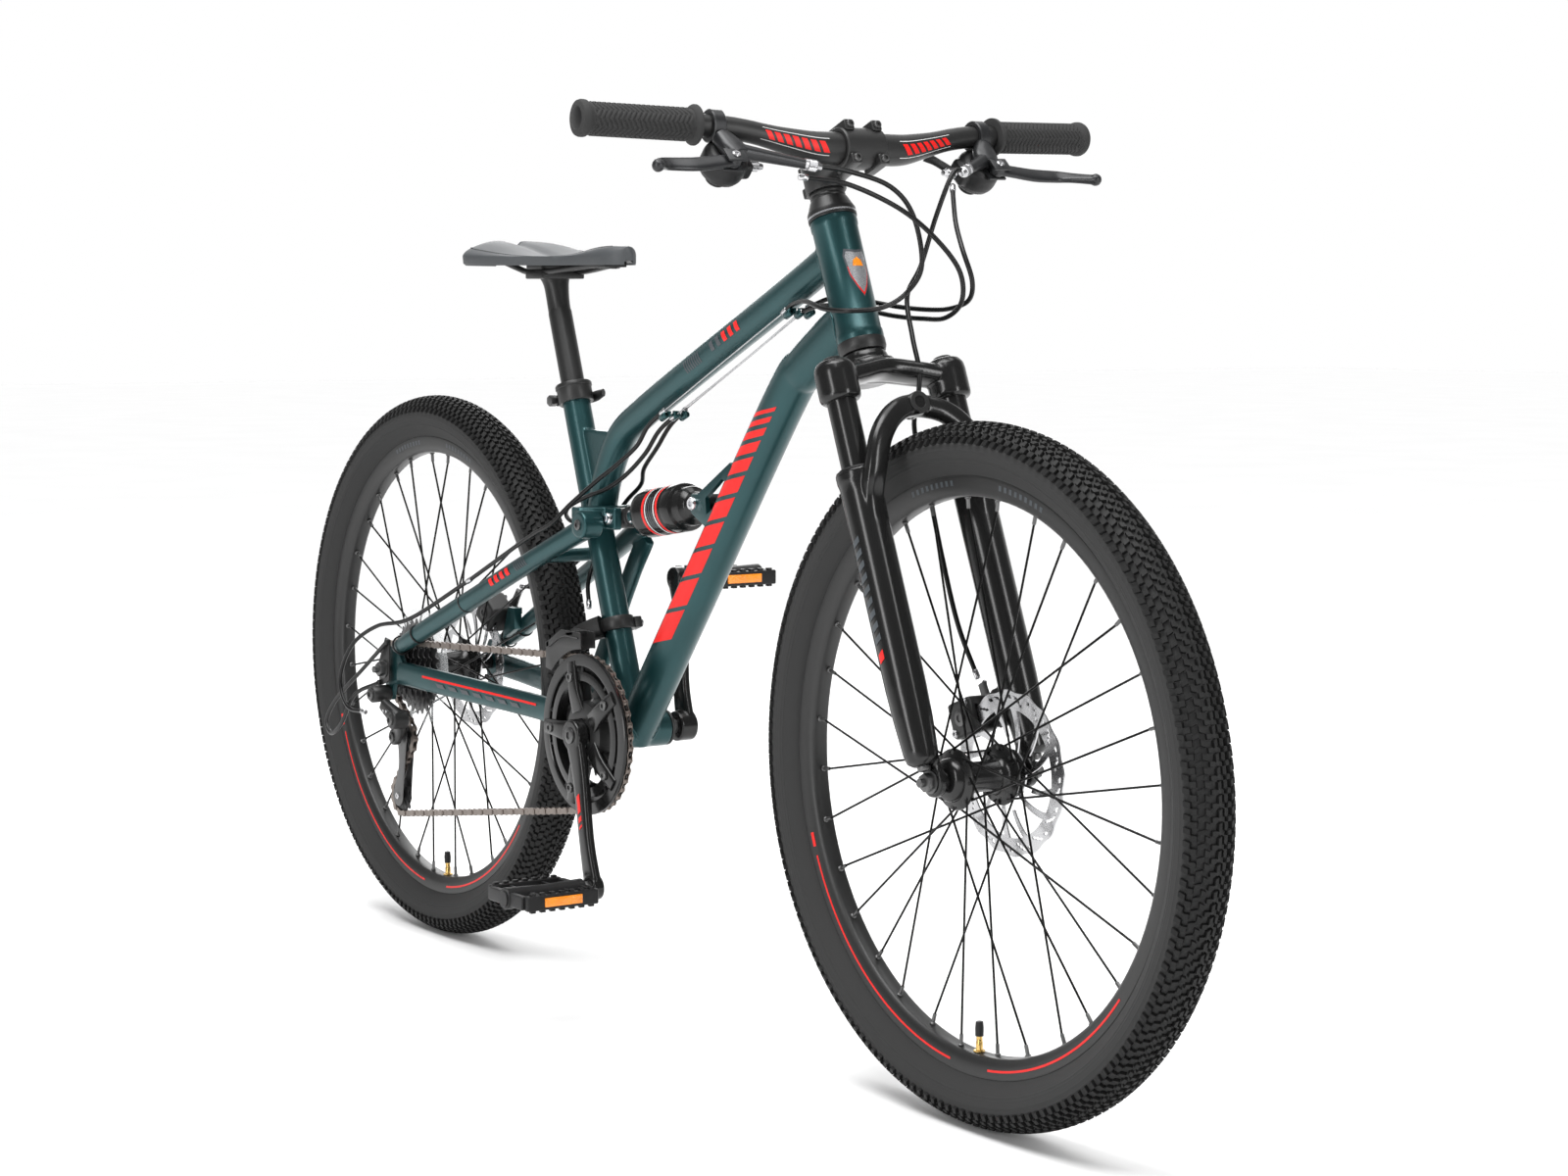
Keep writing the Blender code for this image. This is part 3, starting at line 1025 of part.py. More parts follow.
def cable_routes():
    """Each cable's route, from its lever to the part it works."""
    return {
        "rear_brake_cable": [
            at(0.9150, -0.0820, 0.9040), at(0.9300, -0.0400, 0.8980), at(0.9450, 0.0100, 0.8760),
            at(0.9660, 0.0380, 0.8480), at(0.9790, 0.0600, 0.8150), at(0.9780, 0.0640, 0.7850),
            at(0.9550, 0.0620, 0.7690), at(0.9200, 0.0590, 0.7680), at(0.8850, 0.0480, 0.7710),
            at(0.8600, 0.0260, 0.7780), at(0.8420, 0.0080, 0.7810), at(0.8250, -0.0040, 0.7800),
            at(0.8000, -0.0060, 0.7740),
            at(0.7000, -0.0060, 0.7260), at(0.5600, -0.0070, 0.6620), at(0.5300, -0.0080, 0.6450),
            at(0.5050, -0.0100, 0.6200), at(0.4700, -0.0140, 0.5950), at(0.4400, -0.0220, 0.5780),
            at(0.4050, -0.0265, 0.5680), at(0.3720, -0.0225, 0.5530), at(0.3520, -0.0050, 0.5400),
            at(0.3400, 0.0240, 0.5250), at(0.2900, 0.0450, 0.4990), at(0.2000, 0.0560, 0.4590),
            at(0.1300, 0.0680, 0.4290), at(0.0980, 0.0755, 0.4360), at(0.0755, 0.0740, 0.4365)],
        "front_brake_cable": [
            at(0.9240, 0.1080, 0.9150), at(0.9310, 0.0880, 0.9110), at(0.9310, 0.0680, 0.8700),
            at(0.9270, 0.0520, 0.8200), at(0.9140, 0.0450, 0.7900), at(0.9380, 0.0340, 0.7500),
            at(0.9540, 0.0300, 0.7200), at(0.9550, 0.0290, 0.6950), at(0.9430, 0.0330, 0.6600),
            at(0.9500, 0.0430, 0.6100), at(0.9700, 0.0470, 0.5366),
            at(0.9900, 0.0520, 0.4700), at(1.0080, 0.0620, 0.4200)],
        "rear_shift_cable": [
            at(0.9240, -0.0765, 0.9150), at(0.9330, -0.0400, 0.9100), at(0.9400, 0.0050, 0.8960),
            at(0.9440, 0.0300, 0.8680), at(0.9448, 0.0400, 0.8207), at(0.9342, 0.0300, 0.7939),
            at(0.9290, 0.0040, 0.7790), at(0.9160, -0.0260, 0.7758), at(0.8842, -0.0350, 0.7778),
            at(0.8450, -0.0290, 0.7850), at(0.8100, -0.0200, 0.7830), at(0.7900, -0.0180, 0.7750),
            at(0.7000, -0.0180, 0.7340), at(0.5600, -0.0200, 0.6680), at(0.5290, -0.0210, 0.6510),
            at(0.5050, -0.0215, 0.6280), at(0.4700, -0.0280, 0.6050), at(0.4449, -0.0350, 0.5891),
            at(0.4050, -0.0480, 0.5600), at(0.3776, -0.0570, 0.5370), at(0.3300, -0.0610, 0.5180),
            at(0.2000, -0.0680, 0.4600), at(0.0700, -0.0790, 0.4050), at(0.0000, -0.0900, 0.3900),
            at(-0.0500, -0.1000, 0.3620), at(-0.0760, -0.1040, 0.3180), at(-0.0520, -0.1060, 0.2860),
            at(-0.0140, -0.1020, 0.2830)],
        "front_shift_cable": [
            at(0.9150, 0.1000, 0.8980), at(0.9300, 0.0900, 0.8820), at(0.9500, 0.0780, 0.8600),
            at(0.9739, 0.0680, 0.8350), at(0.9867, 0.0700, 0.8050), at(0.9760, 0.0740, 0.7860),
            at(0.9500, 0.0710, 0.7780), at(0.9180, 0.0670, 0.7770), at(0.8850, 0.0540, 0.7800),
            at(0.8600, 0.0330, 0.7860), at(0.8450, 0.0180, 0.7890), at(0.8300, 0.0090, 0.7880),
            at(0.8000, 0.0060, 0.7800),
            at(0.7000, 0.0060, 0.7330), at(0.5600, 0.0060, 0.6680), at(0.5300, 0.0060, 0.6500),
            at(0.5050, 0.0060, 0.6270), at(0.4700, 0.0100, 0.6020), at(0.4400, 0.0240, 0.5820),
            at(0.4050, 0.0265, 0.5620), at(0.3750, 0.0215, 0.5320), at(0.3740, 0.0060, 0.5020),
            at(0.3830, -0.0120, 0.4700), at(0.3960, -0.0190, 0.4440)],
    }


def cables():
    for name, route in cable_routes().items():
        place(name, sweep(smooth(route, 2), CABLE_R, 4), "black_plastic")


def build():
    start_clean()
    main_frame()
    headset()
    bottom_bracket()
    seat_clamp()
    pins()
    seatpost()
    saddle_rails()
    saddle()
    fork_crown()
    fork_lowers()
    stem()
    handlebar()
    grips()
    controls()
    brake_levers()
    shift_levers()
    front_wheel()
    rear_wheel()
    axles()
    swingarm()
    derailleur_guard()
    shock()
    cassette()
    chainrings()
    cranks()
    pedals()
    chain()
    rear_derailleur()
    derailleur_cage()
    front_derailleur()
    calipers()
    cables()


build()
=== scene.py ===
"""The finished looks of the mountain bike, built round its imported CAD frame.

All lengths are metres in the CAD frame: X forward, Y to the rider's left, Z up.  Points are given
as (ahead of the rear axle, left, up) through at(), along the steering axis through head(), or up the
seat tube through seat().
"""

import math

import bmesh
import bpy
from mathutils import Matrix, Vector
from mathutils.bvhtree import BVHTree


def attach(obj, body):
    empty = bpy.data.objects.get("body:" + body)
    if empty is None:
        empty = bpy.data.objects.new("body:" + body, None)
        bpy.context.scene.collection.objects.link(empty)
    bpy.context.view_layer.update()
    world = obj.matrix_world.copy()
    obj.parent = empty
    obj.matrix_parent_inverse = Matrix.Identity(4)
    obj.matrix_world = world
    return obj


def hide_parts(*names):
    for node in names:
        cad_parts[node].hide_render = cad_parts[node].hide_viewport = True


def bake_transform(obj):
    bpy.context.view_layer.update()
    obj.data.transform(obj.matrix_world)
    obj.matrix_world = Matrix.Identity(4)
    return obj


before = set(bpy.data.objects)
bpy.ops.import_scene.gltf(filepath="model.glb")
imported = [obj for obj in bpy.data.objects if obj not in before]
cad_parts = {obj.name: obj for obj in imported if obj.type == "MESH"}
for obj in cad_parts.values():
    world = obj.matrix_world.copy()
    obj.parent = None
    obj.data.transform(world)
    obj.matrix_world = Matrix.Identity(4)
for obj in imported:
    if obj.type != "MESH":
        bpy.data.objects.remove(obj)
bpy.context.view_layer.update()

# ---------------------------------------------------------------- sizes shared with the CAD
WHEELBASE = 1.095
HEAD_ANGLE = math.radians(68.27)
HEAD_BASE = (0.8982, 0.7447)
HEAD_LENGTH = 0.130
SEAT_ANGLE = math.radians(70.46)
LEG_Y = 0.0664
FORK_OFFSET = 0.0360
BB_X, BB_Z = 0.467, 0.3085
PIVOT = (0.412, 0.322)
SHOCK_REAR = (0.447, 0.5455)
SHOCK_FRONT = (0.619, 0.571)
CRANK_ANGLE = math.radians(-72.5)
CRANK_LENGTH = 0.170
CHAIN_Y = -0.0605
LINK = 0.0127
GUIDE = (0.018, 0.2535)
TENSION = (0.006, 0.1775)
SPOKE_COUNT = 32
SKIN = 0.00025

X = Vector((1, 0, 0))
Y = Vector((0, 1, 0))
UP = Vector((0, 0, 1))
STEER_UP = Vector((-math.cos(HEAD_ANGLE), 0, math.sin(HEAD_ANGLE)))
STEER_FORE = Vector((math.sin(HEAD_ANGLE), 0, math.cos(HEAD_ANGLE)))
SEAT_UP = Vector((-math.cos(SEAT_ANGLE), 0, math.sin(SEAT_ANGLE)))
SEAT_FORE = Vector((math.sin(SEAT_ANGLE), 0, math.cos(SEAT_ANGLE)))
CRANK_DIR = Vector((math.cos(CRANK_ANGLE), 0, math.sin(CRANK_ANGLE)))


def at(x, y, z):
    """A point x ahead of the rear axle, y to the left and z above the ground."""
    return Vector((x - WHEELBASE / 2, y, z))


def head(up, fore=0.0, y=0.0):
    """A point measured up the steering axis from the head tube's lower end."""
    return at(HEAD_BASE[0], y, HEAD_BASE[1]) + STEER_UP * up + STEER_FORE * fore


def seat(up, fore=0.0, y=0.0):
    """A point measured up the seat tube from the bottom bracket's centre."""
    return at(BB_X, y, BB_Z) + SEAT_UP * up + SEAT_FORE * fore


FRONT_AXLE = head(-0.4522, 0.0320)
REAR_AXLE = at(0, 0, 0.3365)
BB = at(BB_X, 0, BB_Z)
BAR_CLAMP = head(0.1792, 0.0631)


def side(point, sign):
    """The same point on the left (sign 1) or the right (sign -1)."""
    return Vector((point[0], abs(point[1]) * sign, point[2]))


def polar(angle):
    """A unit vector in the bike's plane."""
    return Vector((math.cos(angle), 0, math.sin(angle)))


# ---------------------------------------------------------------- mesh tools
def frame_of(direction, hint=Y):
    """Two unit vectors across a direction, the first as close to the hint as it can be."""
    direction = direction.normalized()
    across = hint - direction * hint.dot(direction)
    if across.length < 1e-4:
        across = UP - direction * UP.dot(direction)
    across.normalize()
    return across, direction.cross(across)


def bridge(bm, rings, closed):
    """Faces between successive rings of vertices; a ring of one vertex is a pole."""
    count = len(rings)
    for i in range(count if closed else count - 1):
        a, b = rings[i], rings[(i + 1) % count]
        steps = max(len(a), len(b))
        for k in range(steps):
            n = (k + 1) % steps
            if len(a) == 1:
                bm.faces.new((a[0], b[n], b[k]))
            elif len(b) == 1:
                bm.faces.new((a[k], a[n], b[0]))
            else:
                bm.faces.new((a[k], a[n], b[n], b[k]))
    if not closed:
        for ring in (rings[0], rings[-1]):
            if len(ring) > 2:
                bm.faces.new(ring)


def lathe(profile, centre, axis=Y, segments=48, closed=False):
    """A turned shape: profile is (radius, distance along the axis)."""
    bm = bmesh.new()
    u, v = frame_of(Vector(axis), UP)
    rings = []
    for radius, along in profile:
        middle = centre + Vector(axis).normalized() * along
        if radius < 1e-6:
            rings.append([bm.verts.new(middle)])
            continue
        rings.append([bm.verts.new(middle + (u * math.cos(a) + v * math.sin(a)) * radius)
                      for a in (2 * math.pi * k / segments for k in range(segments))])
    bridge(bm, rings, closed)
    return bm


def rod(a, b, radius, segments=24, edge=0.0):
    """A round bar from a to b, its ends chamfered by edge."""
    length = (b - a).length
    if edge:
        profile = [(0, 0), (radius - edge, 0), (radius, edge), (radius, length - edge),
                   (radius - edge, length), (0, length)]
    else:
        profile = [(0, 0), (radius, 0), (radius, length), (0, length)]
    return lathe(profile, a, b - a, segments)


def pipe(a, b, outer, inner, segments=40, edge=0.0005):
    """A round tube with an open bore and chamfered rims."""
    n = (b - a).length
    return lathe([(outer - edge, 0), (outer, edge), (outer, n - edge), (outer - edge, n), (inner, n),
                  (inner, 0)], a, b - a, segments, True)


def sweep(points, sizes, sides=20, hint=Y, power=2.0):
    """A bar along points; sizes are half widths along the hint and across it."""
    bm = bmesh.new()
    rings = []
    count = len(points)
    for i, point in enumerate(points):
        ahead = points[min(i + 1, count - 1)] - points[max(i - 1, 0)]
        u, v = frame_of(ahead, hint)
        size = sizes[i] if isinstance(sizes, list) else sizes
        wide, tall = size if isinstance(size, tuple) else (size, size)
        ring = []
        for k in range(sides):
            a = 2 * math.pi * (k + 0.5) / sides
            c, s = math.cos(a), math.sin(a)
            grow = (abs(c) ** power + abs(s) ** power) ** (-1 / power)
            ring.append(bm.verts.new(point + u * (c * grow * wide) + v * (s * grow * tall)))
        rings.append(ring)
    bridge(bm, rings, False)
    return bm


def smooth(points, steps):
    """A Catmull-Rom curve through points or tuples, with that many steps between two of them."""
    points = [Vector(p) for p in points]
    ends = [points[0] * 2 - points[1]] + points + [points[-1] * 2 - points[-2]]
    curve = []
    for i in range(1, len(ends) - 2):
        p0, p1, p2, p3 = ends[i - 1:i + 3]
        for k in range(steps):
            t = k / steps
            curve.append(0.5 * (2 * p1 + (p2 - p0) * t + (2 * p0 - 5 * p1 + 4 * p2 - p3) * t * t
                                + (3 * p1 - p0 - 3 * p2 + p3) * t ** 3))
    curve.append(points[-1])
    return curve


def bar(route, sizes, steps=6, sides=20, hint=Y, power=2.0):
    """A smooth bar through few points; each point has its own half widths, blended between them."""
    pairs = [size if isinstance(size, tuple) else (size, size) for size in sizes]
    path = smooth(route, steps)
    widths = smooth([(w, t, 0) for w, t in pairs], steps)
    return sweep(path, [(w.x, w.y) for w in widths], sides, hint, power)


def rounded(bm, width, segments=2, angle=30):
    """Bevels every edge sharper than the angle."""
    bmesh.ops.recalc_face_normals(bm, faces=bm.faces)
    sharp = [e for e in bm.edges if len(e.link_faces) == 2 and e.calc_face_angle() > math.radians(angle)]
    bmesh.ops.bevel(bm, geom=sharp, offset=width, segments=segments, profile=0.6, affect="EDGES",
                    clamp_overlap=True)
    return bm


def plate(outline, y0, y1, edge=0.0008):
    """A flat plate with eased edges: an outline of (x, z) points between two distances to the left."""
    bm = bmesh.new()
    near = [bm.verts.new(at(x, y0, z)) for x, z in outline]
    far = [bm.verts.new(at(x, y1, z)) for x, z in outline]
    bridge(bm, [near, far], False)
    return rounded(bm, edge) if edge else bm


def block(centre, size, axes=(X, Y, UP), edge=0.001, segments=2):
    """A box with rounded edges, its sides along three given axes."""
    bm = bmesh.new()
    bmesh.ops.create_cube(bm, size=1)
    turn = Matrix([axis.normalized() for axis in axes]).transposed().to_4x4()
    bmesh.ops.transform(bm, verts=bm.verts, matrix=Matrix.Translation(centre) @ turn
                        @ Matrix.Diagonal((*size, 1)))
    return rounded(bm, edge, segments) if edge else bm


def hex_bolt(centre, axis, radius, height, socket=True):
    """A round bolt head with a hexagon socket, or a six-sided nut."""
    if not socket:
        return rounded(lathe([(0, 0), (radius, 0), (radius, height), (0, height)], centre, axis, 6), 0.0006)
    rim = [(0, 0), (radius, 0), (radius, height * 0.7), (radius * 0.85, height), (radius * 0.52, height)]
    bm = lathe(rim + [(radius * 0.52, height * 0.35), (0, height * 0.35)], centre, axis, 24)
    hexagon = [v for v in bm.verts if abs(((v.co - centre) - axis * (v.co - centre).dot(axis)).length
                                          - radius * 0.52) < 1e-5]
    u, v_axis = frame_of(axis, UP)
    for vert in hexagon:
        off = vert.co - centre
        angle = math.atan2(off.dot(v_axis), off.dot(u)) % (math.pi / 3) - math.pi / 6
        along = axis * off.dot(axis)
        vert.co = centre + along + (off - along) * (math.cos(math.pi / 6) / math.cos(angle))
    return bm


def gear(teeth, y, thickness, bore, centre, root_drop=0.0038, tip_rise=0.0030):
    """A toothed ring standing across Y."""
    bm = bmesh.new()
    pitch = LINK / 2 / math.sin(math.pi / teeth)
    rings = {"low": [], "high": [], "low_in": [], "high_in": []}
    for k in range(teeth):
        for share, radius in ((-0.50, pitch - root_drop), (-0.26, pitch - root_drop * 0.55),
                              (-0.09, pitch + tip_rise), (0.09, pitch + tip_rise),
                              (0.26, pitch - root_drop * 0.55)):
            ray = polar(2 * math.pi * (k + share) / teeth)
            squeeze = 0.45 if radius > pitch else 1.0
            for level, sign in (("low", -1), ("high", 1)):
                half = Y * (sign * thickness / 2)
                rings[level].append(bm.verts.new(centre + Y * y + ray * radius + half * squeeze))
                rings[level + "_in"].append(bm.verts.new(centre + Y * y + ray * bore + half))
    bridge(bm, [rings["low"], rings["high"], rings["high_in"], rings["low_in"]], True)
    return bm


def patterned_disc(radii, sectors, thickness, centre, keep, twist, wave):
    """A flat disc made of polar cells: keep() says which are solid, twist() and wave() bend them."""
    bm = bmesh.new()

    def level(y):
        rows = []
        for i, radius in enumerate(radii):
            angles = [2 * math.pi * k / sectors + twist(radius) for k in range(sectors)]
            rows.append([bm.verts.new(centre + Y * y + polar(a) * wave(i, radius, a)) for a in angles])
        return rows

    low, high = level(-thickness / 2), level(thickness / 2)
    solid = {(i, k) for i in range(len(radii) - 1) for k in range(sectors) if keep(i, k)}
    for i, k in sorted(solid):
        n = (k + 1) % sectors
        bm.faces.new((low[i][k], low[i][n], low[i + 1][n], low[i + 1][k]))
        bm.faces.new((high[i][k], high[i + 1][k], high[i + 1][n], high[i][n]))
        edges = (((i - 1, k), (i, k), (i, n)), ((i + 1, k), (i + 1, n), (i + 1, k)),
                 ((i, (k - 1) % sectors), (i + 1, k), (i, k)), ((i, n), (i, n), (i + 1, n)))
        for neighbour, (ia, ka), (ib, kb) in edges:
            if neighbour not in solid:
                bm.faces.new((low[ia][ka], high[ia][ka], high[ib][kb], low[ib][kb]))
    bmesh.ops.delete(bm, geom=[v for v in bm.verts if not v.link_faces], context="VERTS")
    return bm


def piece(name, body, shapes, replaced=(), sharp=38, between=None):
    """One object made of (mesh, finish) pairs, which rides on a body; one given two bodies is left
    unattached, in place.
    """
    whole = bmesh.new()
    finishes = []
    for bm, finish in shapes:
        if finish not in finishes:
            finishes.append(finish)
        bmesh.ops.recalc_face_normals(bm, faces=bm.faces)
        for face in bm.faces:
            face.material_index = finishes.index(finish)
        part = bpy.data.meshes.new("part")
        bm.to_mesh(part)
        bm.free()
        whole.from_mesh(part)
        bpy.data.meshes.remove(part)
    mesh = bpy.data.meshes.new(name)
    whole.to_mesh(mesh)
    whole.free()
    for finish in finishes:
        mesh.materials.append(bpy.data.materials[finish])
    mesh.shade_smooth()
    mesh.set_sharp_from_angle(angle=math.radians(sharp))
    obj = bpy.data.objects.new(name, mesh)
    bpy.context.scene.collection.objects.link(obj)
    if between:
        first, second, start, end = between
        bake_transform(obj)
        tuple(start)
        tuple(end)
    else:
        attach(obj, body)
    if replaced:
        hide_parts(*replaced)
    return obj


def decal(outline, surface, step=0.006, turn_step=0.20):
    """A thin printed patch: an outline of (along, angle) points laid on a surface(along, angle)."""
    bm = bmesh.new()
    bm.faces.new([bm.verts.new((u, v, 0)) for u, v in outline])
    for axis, spacing in ((0, step), (1, turn_step)):
        low = min(p[axis] for p in outline)
        high = max(p[axis] for p in outline)
        normal = X if axis == 0 else Y
        for k in range(1, math.ceil((high - low) / spacing)):
            place = normal * (low + k * spacing)
            bmesh.ops.bisect_plane(bm, geom=bm.verts[:] + bm.edges[:] + bm.faces[:], plane_co=place,
                                   plane_no=normal)
    for vert in bm.verts:
        vert.co = surface(vert.co.x, vert.co.y)
    return bm


def tube_surface(path, radii, facing):
    """A surface(along, angle) on a swept tube: along is a length, and angle 0 is the facing side."""
    lengths = [0.0]
    for a, b in zip(path, path[1:]):
        lengths.append(lengths[-1] + (b - a).length)

    def surface(along, angle):
        i = next((k for k in range(len(path) - 2) if lengths[k + 1] > along), len(path) - 2)
        share = (along - lengths[i]) / (lengths[i + 1] - lengths[i])
        centre = path[i].lerp(path[i + 1], share)
        u, v = frame_of(path[min(i + 2, len(path) - 1)] - path[max(i - 1, 0)], facing)
        wide, tall = radii(centre) if callable(radii) else radii
        return centre + u * (math.cos(angle) * (wide + SKIN)) + v * (math.sin(angle) * (tall + SKIN))

    return surface


# ---------------------------------------------------------------- camera, light and floor
def make_camera():
    """The photographer's place: ahead of the bike on its right, at bar height."""
    yaw, pitch = -0.9758, 0.0914
    data = bpy.data.cameras.new("camera")
    data.lens = 68.09
    data.sensor_width = 36
    data.dof.use_dof = False
    camera = bpy.data.objects.new("camera", data)
    camera.location = (2.7453, -1.7125, 0.7705)
    look = Vector((math.sin(yaw) * math.cos(pitch), math.cos(yaw) * math.cos(pitch), -math.sin(pitch)))
    camera.rotation_euler = look.to_track_quat("-Z", "Y").to_euler()
    bpy.context.scene.collection.objects.link(camera)
    bpy.context.scene.camera = camera


def area_light(name, place, target, size, power, colour=(1, 1, 1)):
    """A rectangular soft box aimed at a target."""
    data = bpy.data.lights.new(name, "AREA")
    data.shape = "RECTANGLE"
    data.size, data.size_y = size
    data.energy = power
    data.color = colour
    light = bpy.data.objects.new(name, data)
    light.location = place
    light.rotation_euler = (Vector(target) - Vector(place)).to_track_quat("-Z", "Y").to_euler()
    bpy.context.scene.collection.objects.link(light)


def make_sky(tree):
    """A dim studio with one white backdrop, on the far side of the bike from the camera."""
    coords = tree.nodes.new("ShaderNodeTexCoord").outputs["Generated"]
    facing = tree.nodes.new("ShaderNodeVectorMath")
    facing.operation = "DOT_PRODUCT"
    facing.inputs[1].default_value = (-0.828, 0.561, 0.0)
    tree.links.new(coords, facing.inputs[0])
    spread = tree.nodes.new("ShaderNodeMapRange")
    spread.interpolation_type = "SMOOTHSTEP"
    spread.inputs["From Min"].default_value = 0.35
    spread.inputs["From Max"].default_value = 0.85
    spread.inputs["To Min"].default_value = 0.20
    spread.inputs["To Max"].default_value = 1.0
    tree.links.new(facing.outputs["Value"], spread.inputs["Value"])
    sky = tree.nodes["Background"]
    sky.inputs["Color"].default_value = (1.0, 1.0, 1.0, 1)
    tree.links.new(spread.outputs["Result"], sky.inputs["Strength"])


def make_studio():
    """A pale floor, a white backdrop, a high soft sun and four soft boxes."""
    bm = bmesh.new()
    bmesh.ops.create_grid(bm, x_segments=2, y_segments=2, size=30)
    mesh = bpy.data.meshes.new("floor")
    bm.to_mesh(mesh)
    bm.free()
    mesh.materials.append(bpy.data.materials["floor_paper"])
    floor = bpy.data.objects.new("floor", mesh)
    floor.location = (0, 0, -0.0005)
    bpy.context.scene.collection.objects.link(floor)
    world = bpy.data.worlds.new("studio")
    bpy.context.scene.world = world
    world.use_nodes = True
    make_sky(world.node_tree)
    area_light("top_box", (0.5, -0.9, 3.0), (0.1, 0, 0.4), (2.6, 1.4), 70)
    area_light("right_box", (1.3, -3.4, 1.3), (0.1, 0, 0.45), (0.7, 2.4), 46)
    area_light("front_box", (3.6, 0.6, 1.5), (0.2, 0, 0.5), (0.6, 2.2), 42)
    area_light("back_box", (-2.8, 1.6, 1.8), (0, 0, 0.4), (1.4, 2.0), 30)
    overhead = bpy.data.lights.new("overhead", "SUN")
    overhead.energy = 2.5
    overhead.angle = math.radians(60)
    bpy.context.scene.collection.objects.link(bpy.data.objects.new("overhead", overhead))
    bpy.context.scene.view_settings.view_transform = "Standard"


# ---------------------------------------------------------------- finishes
def noise_node(tree, coords, scale, detail=3.0, stretch=None):
    """A noise texture in the piece's own metres, drawn out along an axis if stretch is given."""
    texture = tree.nodes.new("ShaderNodeTexNoise")
    texture.inputs["Scale"].default_value = scale
    texture.inputs["Detail"].default_value = detail
    if stretch:
        mapping = tree.nodes.new("ShaderNodeMapping")
        mapping.inputs["Scale"].default_value = stretch
        tree.links.new(coords, mapping.inputs["Vector"])
        tree.links.new(mapping.outputs["Vector"], texture.inputs["Vector"])
    else:
        tree.links.new(coords, texture.inputs["Vector"])
    return texture.outputs["Fac"]


def ramp_node(tree, value, low, high):
    """Spreads a noise value between two colours."""
    ramp = tree.nodes.new("ShaderNodeValToRGB")
    ramp.color_ramp.elements[0].position = 0.35
    ramp.color_ramp.elements[1].position = 0.65
    ramp.color_ramp.elements[0].color = (*low, 1)
    ramp.color_ramp.elements[1].color = (*high, 1)
    tree.links.new(value, ramp.inputs["Fac"])
    return ramp.outputs["Color"]


def range_node(tree, value, low, high):
    """Spreads a noise value between two numbers."""
    spread = tree.nodes.new("ShaderNodeMapRange")
    spread.inputs["From Min"].default_value = 0.3
    spread.inputs["From Max"].default_value = 0.7
    spread.inputs["To Min"].default_value = low
    spread.inputs["To Max"].default_value = high
    tree.links.new(value, spread.inputs["Value"])
    return spread.outputs["Result"]


def bump_node(tree, height, strength, distance, before=None):
    """A normal from a height, stacked on another normal when one is given."""
    bump = tree.nodes.new("ShaderNodeBump")
    bump.inputs["Strength"].default_value = strength
    bump.inputs["Distance"].default_value = distance
    tree.links.new(height, bump.inputs["Height"])
    if before:
        tree.links.new(before, bump.inputs["Normal"])
    return bump.outputs["Normal"]


def cells_node(tree, coords, scale):
    """Distances in a cellular pattern, for leather-like grain."""
    cells = tree.nodes.new("ShaderNodeTexVoronoi")
    cells.feature = "F1"
    cells.inputs["Scale"].default_value = scale
    tree.links.new(coords, cells.inputs["Vector"])
    return cells.outputs["Distance"]


def finish(name, colour, roughness, metallic=0.0, vary=0.12, patch=25.0, spread=0.06, grain=0.15,
           grain_scale=1400.0, cells=0.0, cells_scale=700.0, stretch=None, fixed=None):
    """A procedural finish: uneven colour and roughness, a fine grain, and optional leather-like cells."""
    made = bpy.data.materials.new(name)
    made.use_nodes = True
    tree = made.node_tree
    shader = tree.nodes["Principled BSDF"]
    coords = tree.nodes.new("ShaderNodeTexCoord").outputs["Object"]
    large = noise_node(tree, coords, patch)
    low = tuple(c * (1 - vary) for c in colour)
    high = tuple(min(1, c * (1 + vary)) for c in colour)
    tree.links.new(ramp_node(tree, large, low, high), shader.inputs["Base Color"])
    fine = noise_node(tree, coords, grain_scale, 2.0, stretch)
    tree.links.new(range_node(tree, fine, roughness - spread, roughness + spread),
                   shader.inputs["Roughness"])
    normal = bump_node(tree, fine, grain, 0.0003)
    if cells:
        normal = bump_node(tree, cells_node(tree, coords, cells_scale), cells, 0.0005, normal)
    tree.links.new(normal, shader.inputs["Normal"])
    shader.inputs["Metallic"].default_value = metallic
    for socket, value in (fixed or {}).items():
        shader.inputs[socket].default_value = value
    return made


